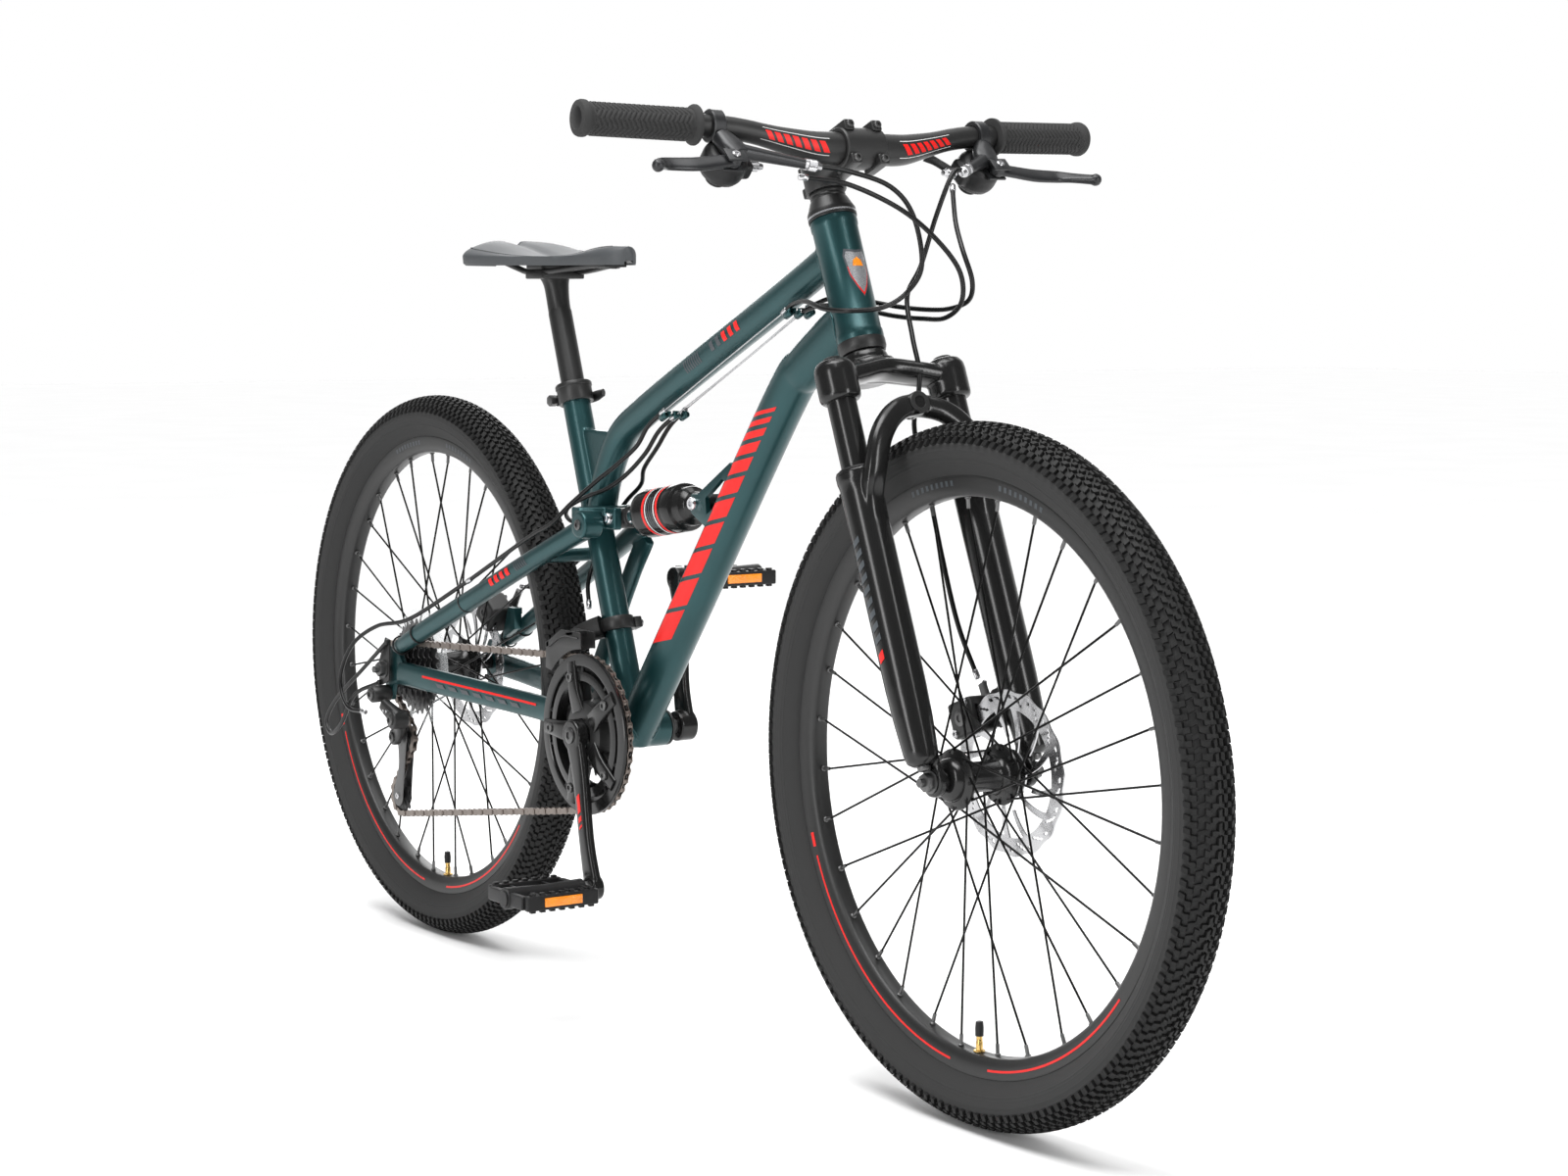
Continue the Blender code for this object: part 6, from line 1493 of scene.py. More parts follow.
def make_swingarm():
    """Upper and lower stays, the yoke round the seat tube, bridges, dropouts and the left strut."""
    pivot = at(PIVOT[0], 0, PIVOT[1])
    eye = at(SHOCK_REAR[0], 0, SHOCK_REAR[1])
    yoke = [(0.410, 0.0500), (0.428, 0.0500), (0.4382, 0.0220), (0.4580, 0.0220), (0.4580, -0.0220),
            (0.4382, -0.0220), (0.428, -0.0500), (0.410, -0.0500), (0.410, -0.0300), (0.4175, -0.0190),
            (0.4175, 0.0190), (0.410, 0.0300)]
    ring = bmesh.new()
    low = [ring.verts.new(at(x, y, 0.5330)) for x, y in yoke]
    high = [ring.verts.new(at(x, y, 0.5580)) for x, y in yoke]
    bridge(ring, [low, high], False)
    bars = [rod(pivot - Y * 0.0205, pivot + Y * 0.0205, 0.0140, 36),
            block(at(0.396, 0, 0.320), (0.024, 0.038, 0.020), edge=0.003),
            rod(at(0.384, -0.044, 0.3180), at(0.384, 0.044, 0.3180), 0.0100, 28),
            rod(at(0.338, -0.050, 0.4970), at(0.338, 0.050, 0.4970), 0.0080, 28),
            rounded(ring, 0.002)]
    for s in (1, -1):
        widths = smooth([(r, 0, 0) for r in (0.0078, 0.0098, 0.0116, 0.0116, 0.0130)], 10)
        bars.append(sweep(stay_path(s, 10), [w.x for w in widths], 28))
        bars.append(sweep(chainstay_path(s, 10), (0.0064, 0.0146), 28, Y, 3.0))
        bars.append(rod(at(0.430, s * 0.0275, 0.5385), at(0.430, s * 0.0525, 0.5385), 0.0155, 36, 0.0015))
    strut = smooth([at(0.426, 0.0400, 0.522), at(0.385, 0.0420, 0.470), at(0.285, 0.0485, 0.330)], 10)
    bars.append(sweep(strut, (0.0055, 0.0140), 24, Y, 3.0))
    cuts = [rod(pivot - Y * 0.05, pivot + Y * 0.05, 0.0080, 24),
            rod(eye - Y * 0.04, eye + Y * 0.04, 0.0047, 24),
            block(at(0.451, 0, 0.5455), (0.038, 0.0262, 0.040), edge=0)]
    shapes = [(bored(fused(bars, 0.0013, 5), cuts), "petrol_paint")]
    dropout = [(-0.016, 0.330), (-0.010, 0.322), (-0.006, 0.300), (0.006, 0.298), (0.012, 0.318),
               (0.034, 0.320), (0.040, 0.345), (0.020, 0.366), (-0.004, 0.364), (-0.014, 0.350)]
    for s in (1, -1):
        shapes.append((plate(dropout, s * 0.0680, s * 0.0745), "petrol_paint"))
        boss = at(0.430, s * 0.0526, 0.5385)
        shapes.append((hex_bolt(boss, Y * s, 0.0060, 0.0022), "dark_steel"))
        for start in (0.070, 0.150, 0.230):
            tie = stay_path(s, 10)
            spot = tie[int(start * 100)]
            ahead = (tie[int(start * 100) + 1] - spot).normalized()
            shapes.append((pipe(spot - ahead * 0.0012, spot + ahead * 0.0012, 0.0123, 0.0105, 28, 0.0004),
                           "moulded_plastic"))
    tab = [(0.060, 0.372), (0.092, 0.386), (0.092, 0.412), (0.076, 0.412)]
    foot = [(0.062, 0.376), (0.090, 0.385), (0.090, 0.392), (0.069, 0.392)]
    shapes += [(plate(tab, 0.0520, 0.0625), "petrol_paint"), (plate(foot, 0.0525, 0.0690), "petrol_paint")]
    shapes.append((rod(at(0, -0.0740, 0.306), at(0, -0.0990, 0.306), 0.0105, 32, 0.0012), "satin_black"))
    shapes.append((hex_bolt(at(0, -0.0990, 0.306), -Y, 0.0075, 0.0030), "dark_steel"))
    shapes += stay_graphics()
    piece("rear_triangle", "swingarm", shapes, ["swingarm"], 45)


def stay_graphics():
    """A red stripe and grey blocks along each lower stay, and marks on the upper ones."""
    shapes = []
    for s in (1, -1):
        flip = -s
        wall = tube_surface(chainstay_path(s, 10), (0.0068, 0.0150), Y * s)
        over = tube_surface(chainstay_path(s, 10), (0.0070, 0.0152), Y * s)
        stripe = [(0.060, -0.34 * flip), (0.300, -0.34 * flip), (0.300, -0.16 * flip), (0.060, -0.16 * flip)]
        shapes.append((decal(stripe, wall), "red_print"))
        for k in range(7):
            mark = slanted(0.090 + k * 0.026, 0.106 + k * 0.026, 0.02 * flip, 0.34 * flip, 0.005)
            shapes.append((decal(mark, over), "grey_print"))
        wall = tube_surface(stay_path(s, 10), (0.0119, 0.0119), Y * s)
        for k in range(4):
            mark = slanted(0.250 + k * 0.012, 0.257 + k * 0.012, -0.40 * flip, 0.40 * flip, 0.003)
            shapes.append((decal(mark, wall), "red_print"))
        for k in range(6):
            mark = slanted(0.305 + k * 0.0042, 0.3072 + k * 0.0042, -0.50 * flip, 0.50 * flip, 0.004)
            shapes.append((decal(mark, wall), "grey_print"))
    return shapes


def make_guard():
    """The wire guard round the rear derailleur, and its strap."""
    half = [at(0.014, -0.0830, 0.372), at(-0.040, -0.0880, 0.335), at(-0.100, -0.0960, 0.292),
            at(-0.122, -0.1010, 0.262), at(-0.104, -0.1040, 0.246), at(-0.074, -0.1040, 0.262),
            at(-0.050, -0.0970, 0.300), at(-0.012, -0.0830, 0.318)]
    strap = plate([(-0.013, 0.314), (0.013, 0.322), (0.016, 0.374), (0.004, 0.376), (-0.014, 0.345)],
                  -0.0811, -0.0791, 0.0005)
    shapes = [(sweep(smooth(half, 10), 0.0026, 16), "satin_black"), (strap, "satin_black"),
              (rod(at(0.012, -0.0800, 0.371), at(0.012, -0.0845, 0.371), 0.0035, 20, 0.0005), "satin_black"),
              (rod(at(-0.0105, -0.0800, 0.3185), at(-0.0105, -0.0845, 0.3185), 0.0035, 20, 0.0005),
               "satin_black")]
    piece("guard_wire", "swingarm", shapes, ["derailleur_guard"])


def make_shock():
    """The stepped shock body with its printed sleeve, and the shaft behind it."""
    front = at(SHOCK_FRONT[0], 0, SHOCK_FRONT[1])
    rear = at(SHOCK_REAR[0], 0, SHOCK_REAR[1])
    back = (rear - front).normalized()
    can = [(0.0, 0.010), (0.0110, 0.0105), (0.0122, 0.0120), (0.0150, 0.0255), (0.0160, 0.0270),
           (0.0210, 0.0300), (0.0216, 0.0315), (0.0216, 0.0405), (0.0224, 0.0420), (0.0258, 0.0436),
           (0.0266, 0.0450), (0.0266, 0.0590), (0.0258, 0.0600), (0.0258, 0.0620), (0.0265, 0.0630),
           (0.0265, 0.1130), (0.0268, 0.1140), (0.0268, 0.1210), (0.0262, 0.1222), (0.0215, 0.1275),
           (0.0112, 0.1280), (0.0112, 0.1100), (0.0, 0.1100)]
    shapes = [(lathe(can, front, back, 64), "gloss_black")]
    for radius, low, high, finish_name in ((0.02665, 0.0650, 0.0690, "red_print"),
                                           (0.02665, 0.0930, 0.0975, "red_print"),
                                           (0.02665, 0.0715, 0.0735, "white_print"),
                                           (0.02665, 0.0890, 0.0908, "white_print")):
        sleeve = lathe([(radius, low), (radius, high), (radius - 0.0004, high), (radius - 0.0004, low)],
                       front, back, 64, True)
        shapes.append((sleeve, finish_name))
    wall = tube_surface([front + back * 0.066, front + back * 0.082, front + back * 0.10],
                        (0.02645, 0.02645), -Y)
    for k in range(3):
        mark = slanted(0.0095 + 0.0040 * k, 0.0112 + 0.0040 * k, -0.80, 0.60, 0.002)
        shapes.append((decal(mark, wall), "grey_print"))
    shapes.append((rod(front - Y * 0.0135, front + Y * 0.0135, 0.0105, 40, 0.0008), "gloss_black"))
    piece("shock_can", "shock_body", shapes, ["shock_body"], 35)
    shaft = [(rod(rear + (front - rear) * 0.05, front + back * 0.106, 0.0105, 36), "chrome"),
             (rod(rear - Y * 0.0122, rear + Y * 0.0122, 0.0115, 40, 0.0008), "satin_black")]
    collar = lathe([(0.0104, 0.0085), (0.0122, 0.0090), (0.0126, 0.0110), (0.0126, 0.0160), (0.0120, 0.0172),
                    (0.0104, 0.0176)], rear, -back, 40, True)
    piece("shock_piston", "shock_shaft", [*shaft, (collar, "satin_black")], ["shock_shaft"])


# ---------------------------------------------------------------- drivetrain
SPROCKETS = (14, 16, 18, 20, 22, 24, 28)
CHAIN_COG = 16


def pitch_radius(teeth):
    """The radius of a sprocket's pin circle, from its number of teeth."""
    return LINK / 2 / math.sin(math.pi / teeth)


def make_cassette():
    """The stack of rear sprockets with its spacers and lock ring."""
    shapes = []
    for i, teeth in enumerate(SPROCKETS):
        y = -0.0652 + 0.0050 * i
        shapes.append((gear(teeth, y, 0.0018, 0.0150, REAR_AXLE), "dark_steel"))
        if i < len(SPROCKETS) - 1:
            shapes.append((pipe(REAR_AXLE + Y * (y + 0.0009), REAR_AXLE + Y * (y + 0.0041), 0.0195, 0.0150,
                                40, 0.0003), "satin_black"))
    lock = lathe([(0.0060, -0.0662), (0.0150, -0.0662), (0.0166, -0.0672), (0.0166, -0.0690),
                  (0.0120, -0.0694), (0.0060, -0.0688)], REAR_AXLE, Y, 40, True)
    shapes.append((lock, "brushed_steel"))
    shapes.append((pipe(REAR_AXLE - Y * 0.0665, REAR_AXLE - Y * 0.0318, 0.0150, 0.0056, 40), "dark_steel"))
    piece("sprocket_stack", "cassette", shapes, ["cassette"], 30)


def make_chainrings():
    """Three rings on a five-armed spider with the round guard outside them."""
    shapes = [(gear(42, -0.0605, 0.0022, 0.0690, BB), "dark_steel"),
              (gear(34, -0.0530, 0.0022, 0.0560, BB), "dark_steel"),
              (gear(24, -0.0455, 0.0022, 0.0380, BB), "dark_steel")]
    guard = lathe([(0.0755, -0.0650), (0.0885, -0.0652), (0.0895, -0.0660), (0.0895, -0.0684),
                   (0.0885, -0.0692), (0.0790, -0.0702), (0.0765, -0.0700), (0.0755, -0.0690)], BB, Y, 120,
                  True)
    shapes.append((guard, "gloss_black"))
    inner = lathe([(0.0600, -0.0560), (0.0700, -0.0560), (0.0705, -0.0640), (0.0700, -0.0690),
                   (0.0660, -0.0698), (0.0600, -0.0698)], BB, Y, 96, True)
    shapes.append((inner, "gloss_black"))
    core = lathe([(0.0182, -0.0440), (0.0385, -0.0440), (0.0390, -0.0520), (0.0360, -0.0690),
                  (0.0300, -0.0708), (0.0182, -0.0708)], BB, Y, 72, True)
    shapes.append((core, "satin_black"))
    for k in range(5):
        angle = CRANK_ANGLE + math.pi * (2 * k + 1) / 5
        ray = polar(angle)
        across = ray.cross(Y)
        arm = bar([BB + ray * 0.026 - Y * 0.0700, BB + ray * 0.050 - Y * 0.0715,
                   BB + ray * 0.0820 - Y * 0.0692],
                  [(0.0030, 0.0125), (0.0034, 0.0100), (0.0030, 0.0085)], 8, 28, Y, 3.0)
        shapes.append((arm, "gloss_black"))
        shapes.append((hex_bolt(BB + ray * 0.0655 - Y * 0.0740, -Y, 0.0056, 0.0024), "dark_steel"))
        for side_step in (-0.26, 0.26):
            rib = polar(angle + side_step)
            shapes.append((rod(BB + rib * 0.068 - Y * 0.0668, BB + rib * 0.0820 - Y * 0.0668, 0.0022, 12),
                           "moulded_plastic"))
        shapes.append((block(BB + ray * 0.0480 - Y * 0.0585, (0.030, 0.010, 0.012), (ray, Y, across), 0.002),
                       "satin_black"))
    piece("chainring_stack", "crankset", shapes, ["chainrings"], 32)


def pedal_centre(s):
    """The middle of one pedal; s is -1 on the right and 1 on the left."""
    reach = CRANK_DIR * (CRANK_LENGTH if s < 0 else -CRANK_LENGTH)
    return BB + reach + Y * (s * 0.1500)


def make_cranks():
    """Both crank arms with their bolts and marks."""
    right_end = BB + CRANK_DIR * CRANK_LENGTH
    sizes = [(0.0064, 0.0155), (0.0062, 0.0125), (0.0060, 0.0110), (0.0064, 0.0135)]
    arm = bar([BB - Y * 0.0800, BB + CRANK_DIR * 0.05 - Y * 0.0805, BB + CRANK_DIR * 0.12 - Y * 0.0860,
               right_end - Y * 0.0870], sizes, 12, 36, Y, 3.2)
    hub = rod(BB - Y * 0.0712, BB - Y * 0.0860, 0.0178, 48, 0.0015)
    eye = rod(right_end - Y * 0.0800, right_end - Y * 0.0938, 0.0136, 44, 0.0012)
    shapes = [(fused([arm, hub, eye], 0.0011, 5), "gloss_black"),
              (hex_bolt(BB - Y * 0.0858, -Y, 0.0090, 0.0026), "dark_steel"),
              (rod(right_end - Y * 0.0900, right_end - Y * 0.1985, 0.0053, 24), "dark_steel"),
              (hex_bolt(right_end - Y * 0.0938, -Y, 0.0082, 0.0050, False), "dark_steel")]
    front = tube_surface([BB + CRANK_DIR * 0.060 - Y * 0.0812, BB + CRANK_DIR * 0.090 - Y * 0.0833,
                          BB + CRANK_DIR * 0.120 - Y * 0.0857], (0.0066, 0.0112), -Y)
    for start, end in ((0.006, 0.026), (0.030, 0.036), (0.040, 0.043)):
        shapes.append((decal(slanted(start, end, -0.30, 0.30, 0.003), front), "red_print"))
    piece("crank_arm_right", "crankset", shapes, ["crank_right"], 40)
    left_end = BB - CRANK_DIR * CRANK_LENGTH
    arm = bar([BB + Y * 0.0650, BB - CRANK_DIR * 0.05 + Y * 0.0690, BB - CRANK_DIR * 0.12 + Y * 0.0830,
               left_end + Y * 0.0860], sizes, 12, 36, Y, 3.2)
    hub = rod(BB + Y * 0.0500, BB + Y * 0.0725, 0.0172, 48, 0.0015)
    eye = rod(left_end + Y * 0.0800, left_end + Y * 0.0938, 0.0136, 44, 0.0012)
    shapes = [(fused([arm, hub, eye], 0.0011, 5), "gloss_black"),
              (rod(BB - Y * 0.0795, BB + Y * 0.0600, 0.0086, 36), "dark_steel"),
              (hex_bolt(BB + Y * 0.0724, Y, 0.0090, 0.0030), "dark_steel"),
              (rod(left_end + Y * 0.0900, left_end + Y * 0.1985, 0.0053, 24), "dark_steel"),
              (hex_bolt(left_end + Y * 0.0938, Y, 0.0082, 0.0050, False), "dark_steel")]
    piece("crank_arm_left", "crankset", shapes, ["crank_left"], 40)


def make_pedals():
    """Cage pedals with a toothed rim, a barrel, and a reflector on both long sides."""
    for s, name in ((-1, "pedal_right"), (1, "pedal_left")):
        centre = pedal_centre(s)
        barrel = lathe([(0.0064, -0.0485), (0.0110, -0.0485), (0.0120, -0.0470), (0.0112, -0.0250),
                        (0.0104, 0.0), (0.0112, 0.0250), (0.0120, 0.0470), (0.0110, 0.0485),
                        (0.0064, 0.0485)], centre, Y, 40, True)
        shapes = [(barrel, "moulded_plastic"),
                  (lathe([(0, 0.0486), (0.0085, 0.0486), (0.0090, 0.0492), (0.0084, 0.0500), (0, 0.0502)],
                         centre, Y * s, 32), "moulded_plastic")]
        for d in (-1, 1):
            rail = block(centre + Vector((d * 0.0405, 0, 0)), (0.0080, 0.088, 0.0165),
                         edge=0.0022, segments=3)
            shapes.append((rail, "moulded_plastic"))
            wall = block(centre + Y * (d * 0.0430), (0.074, 0.0080, 0.0150), edge=0.0024, segments=3)
            shapes.append((wall, "moulded_plastic"))
            lens = block(centre + Vector((d * 0.0448, 0, 0)), (0.0022, 0.046, 0.0098), edge=0.0008)
            shapes.append((lens, "amber_lens"))
            for k in range(7):
                for level in (-1, 1):
                    tooth = centre + Vector((d * 0.0405, -0.036 + 0.012 * k, level * 0.0092))
                    shapes.append((block(tooth, (0.0055, 0.0058, 0.0030), edge=0.0008), "moulded_plastic"))
            for k in (-1, 1):
                web = block(centre + Vector((d * 0.0225, k * 0.0200, 0)), (0.034, 0.0045, 0.0120),
                            edge=0.0012)
                shapes.append((web, "moulded_plastic"))
        piece(name + "_cage", name, shapes, [name], 35)


def tangent(c1, r1, turn1, c2, r2, turn2):
    """Where a taut line leaves circle 1 and meets circle 2; turn is 1 for anticlockwise."""
    dx, dz = c2[0] - c1[0], c2[1] - c1[1]
    lean = math.acos((r1 * turn1 - r2 * turn2) / math.hypot(dx, dz))
    a = math.atan2(dz, dx) - lean
    first = (c1[0] + turn1 * r1 * math.cos(a), c1[1] + turn1 * r1 * math.sin(a))
    second = (c2[0] + turn2 * r2 * math.cos(a), c2[1] + turn2 * r2 * math.sin(a))
    return first, second


def chain_loop():
    """The chain's centre line, as close points round ring, sprocket and both pulleys."""
    circles = [((BB_X, BB_Z), pitch_radius(42), 1), ((0.0, 0.3365), pitch_radius(CHAIN_COG), 1),
               (GUIDE, pitch_radius(11), -1), (TENSION, pitch_radius(11), 1)]
    count = len(circles)
    lines = [tangent(*circles[i], *circles[(i + 1) % count]) for i in range(count)]
    points = []
    for i, (centre, radius, turn) in enumerate(circles):
        arrive, leave = lines[i - 1][1], lines[i][0]
        a0 = math.atan2(arrive[1] - centre[1], arrive[0] - centre[0])
        a1 = math.atan2(leave[1] - centre[1], leave[0] - centre[0])
        arc = (a1 - a0) * turn % (2 * math.pi)
        steps = max(2, math.ceil(arc / math.radians(2)))
        for k in range(steps + 1):
            a = a0 + turn * arc * k / steps
            points.append(at(centre[0] + radius * math.cos(a), CHAIN_Y, centre[1] + radius * math.sin(a)))
    return points


def spaced(points, count):
    """The closed line through points, cut into equal steps."""
    loop = points + [points[0]]
    lengths = [0.0]
    for a, b in zip(loop, loop[1:]):
        lengths.append(lengths[-1] + (b - a).length)
    out = []
    k = 0
    for i in range(count):
        want = lengths[-1] * i / count
        while lengths[k + 1] < want:
            k += 1
        out.append(loop[k].lerp(loop[k + 1], (want - lengths[k]) / (lengths[k + 1] - lengths[k])))
    return out


def link_plate(bm, a, b, y, half, thick):
    """One figure-of-eight side plate between two pins."""
    along = (b - a).normalized()
    out = along.cross(Y)
    outline = []
    for centre, start in ((b, -90), (a, 90)):
        for k in range(9):
            t = math.radians(start + k * 22.5)
            outline.append(centre + (along * math.cos(t) + out * math.sin(t)) * half)
    waist = [a.lerp(b, 0.5) + out * (half * 0.62), a.lerp(b, 0.5) - out * (half * 0.62)]
    outline = outline[:9] + [waist[0]] + outline[9:] + [waist[1]]
    near = [bm.verts.new(p + Y * (y - thick / 2)) for p in outline]
    far = [bm.verts.new(p + Y * (y + thick / 2)) for p in outline]
    bridge(bm, [near, far], False)


def chain_zone(point):
    """Which stretch of the chain a point is in."""
    ahead, height = point.x + WHEELBASE / 2, point.z
    if ahead > 0.405:
        return "ring"
    if height > 0.300:
        return "upper" if ahead > 0.045 else "sprocket"
    if ahead < 0.045:
        return "tail"
    return "lower_rear" if ahead < 0.225 else "lower_front"


CHAIN_ZONES = {
    "ring": ("frame", None),
    "sprocket": ("swingarm", None),
    "upper": (None, ("frame", "swingarm", at(0.405, 0, 0.387), at(0.060, 0, 0.371))),
    "lower_front": (None, ("frame", "swingarm", at(0.400, 0, 0.210), at(0.240, 0, 0.190))),
    "lower_rear": (None, ("swingarm", "rear_derailleur", at(0.210, 0, 0.186), at(0.040, 0, 0.168))),
    "tail": (None, ("swingarm", "rear_derailleur", at(0.000, 0, 0.300), at(0.018, 0, 0.268))),
}


def make_chain():
    """Every link, in six stretches: the ring's rides on the frame and the sprocket's on the swingarm, the
    other four are left unattached.
    """
    line = chain_loop()
    length = sum((b - a).length for a, b in zip(line, line[1:] + line[:1]))
    pins = spaced(line, 2 * round(length / LINK / 2))
    stretches = {zone: (bmesh.new(), []) for zone in CHAIN_ZONES}
    for i, pin in enumerate(pins):
        after = pins[(i + 1) % len(pins)]
        zone = chain_zone(pin.lerp(after, 0.5))
        plates, rollers = stretches[zone]
        reach = 0.0019 if i % 2 else 0.0028
        for sign in (-1, 1):
            link_plate(plates, pin, after, sign * reach, 0.0041, 0.0009)
            rollers.append((rod(pin + Y * (sign * 0.0030), pin + Y * (sign * 0.0034), 0.0018, 10),
                            "chain_steel"))
        rollers.append((rod(pin - Y * 0.0013, pin + Y * 0.0013, 0.0037, 12), "chain_steel"))
    for zone, (plates, rollers) in stretches.items():
        body, between = CHAIN_ZONES[zone]
        piece("chain_" + zone, body, [(plates, "chain_steel"), *rollers],
              ["chain"] if zone == "ring" else (), 30, between)


def make_derailleurs():
    """Rear derailleur with its cage and pulleys, and the front one with its band."""
    link = bar([at(0.016, -0.0900, 0.2955), at(0.030, -0.0870, 0.2870), at(0.044, -0.0830, 0.280)],
               [(0.0060, 0.0080), (0.0072, 0.0098), (0.0080, 0.0100)], 8, 28, Y, 3.0)
    foot = bar([at(0.040, -0.0800, 0.278), at(0.030, -0.0760, 0.262), at(GUIDE[0], -0.0752, GUIDE[1])],
               [(0.0070, 0.0092), (0.0055, 0.0092), (0.0045, 0.0102)], 8, 28, Y, 3.0)
    low = rod(at(0.040, -0.0720, 0.278), at(0.040, -0.0930, 0.278), 0.0116, 36, 0.0012)
    nut = rod(at(GUIDE[0], -0.0707, GUIDE[1]), at(GUIDE[0], -0.0800, GUIDE[1]), 0.0102, 36, 0.0010)
    shapes = [(fused([link, foot, low, nut], 0.0009, 5), "satin_black")]
    shapes.append((hex_bolt(at(0.040, -0.0930, 0.278), -Y, 0.0070, 0.0024), "dark_steel"))
    shapes.append((hex_bolt(at(GUIDE[0], -0.0800, GUIDE[1]), -Y, 0.0062, 0.0022), "dark_steel"))
    for d in (-0.004, 0.004):
        screw = at(0.030 + d, -0.0930, 0.2880)
        shapes.append((rod(screw, screw - Y * 0.003, 0.0018, 12), "brushed_steel"))
    piece("rear_mech", "rear_derailleur", shapes, ["rear_derailleur"], 40)
    guide, tension = at(GUIDE[0], CHAIN_Y, GUIDE[1]), at(TENSION[0], CHAIN_Y, TENSION[1])
    shapes = []
    for y in (-0.0056, 0.0056):
        shapes.append((bar([guide + Y * y, guide.lerp(tension, 0.5) + Y * y + X * 0.004, tension + Y * y],
                           [(0.0009, 0.0128), (0.0009, 0.0078), (0.0009, 0.0128)], 10, 20, Y, 4.0),
                       "dark_steel"))
        for spot in (guide, tension):
            shapes.append((rod(spot + Y * (y - 0.0009), spot + Y * (y + 0.0009), 0.0128, 36, 0.0003),
                           "dark_steel"))
            shapes.append((hex_bolt(spot + Y * (y + math.copysign(0.0009, y)), Y * math.copysign(1, y),
                                    0.0040, 0.0018), "brushed_steel"))
    for spot in (guide, tension):
        shapes.append((gear(11, 0, 0.0022, 0.0045, spot, 0.0036, 0.0020), "moulded_plastic"))
        shapes.append((rod(spot - Y * 0.0050, spot + Y * 0.0050, 0.0046, 24), "dark_steel"))
    piece("mech_cage", "derailleur_cage", shapes, ["derailleur_cage"], 35)
    make_front_derailleur()


def make_front_derailleur():
    """The band and link on the seat tube, and the cage whose plates stand either side of the chain."""
    band = lathe([(0.0162, 0.1140), (0.0192, 0.1140), (0.0196, 0.1146), (0.0196, 0.1284), (0.0192, 0.1290),
                  (0.0162, 0.1290)], seat(0), SEAT_UP, 44, True)
    lug = block(seat(0.1215, 0.004, 0.0215), (0.016, 0.010, 0.013), (SEAT_FORE, Y, SEAT_UP), 0.0018)
    body = bar([seat(0.1215, -0.004, -0.0180), seat(0.120, -0.020, -0.0300), seat(0.117, -0.034, -0.0400)],
               [(0.0090, 0.0130), (0.0085, 0.0118), (0.0070, 0.0100)], 8, 28, Y, 3.0)
    bolt = hex_bolt(seat(0.1215, 0.004, 0.0262), Y, 0.0046, 0.0040)
    piece("front_mech", "frame",
          [(band, "satin_black"), (lug, "satin_black"), (body, "satin_black"), (bolt, "brushed_steel")],
          ["front_derailleur"], 38)
    reach = 0.0945
    arc = [math.radians(a) for a in range(92, 141, 3)]
    inner = [(BB_X + reach * math.cos(a), BB_Z + reach * math.sin(a)) for a in arc]
    outline = inner[:-1] + [(0.384, 0.3755), (0.386, 0.404), (0.420, 0.422), (0.463, 0.421)]
    shapes = [(plate(outline, -0.0517, -0.0505, 0.0003), "satin_black"),
              (plate(outline, -0.0694, -0.0682, 0.0003), "satin_black"),
              (plate([(0.392, 0.408), (0.384, 0.404), (0.384, 0.397), (0.392, 0.400)], -0.0694, -0.0505),
               "satin_black"),
              (plate([(0.430, 0.4195), (0.446, 0.4215), (0.446, 0.4170), (0.430, 0.4150)], -0.0694, -0.0470),
               "satin_black")]
    rib = [at(x, -0.0697, z) for x, z in ((0.392, 0.400), (0.424, 0.4145), (0.458, 0.4150))]
    shapes.append((sweep(smooth(rib, 6), 0.0010, 10), "satin_black"))
    piece("front_mech_cage", "derailleur_swing_front", shapes, ["front_derailleur_cage"], 35)


# ---------------------------------------------------------------- brakes
CALIPER_ANGLE = {"front": math.radians(146), "rear": math.radians(55)}
ROTOR_Y = {"front": 0.0360, "rear": 0.0430}


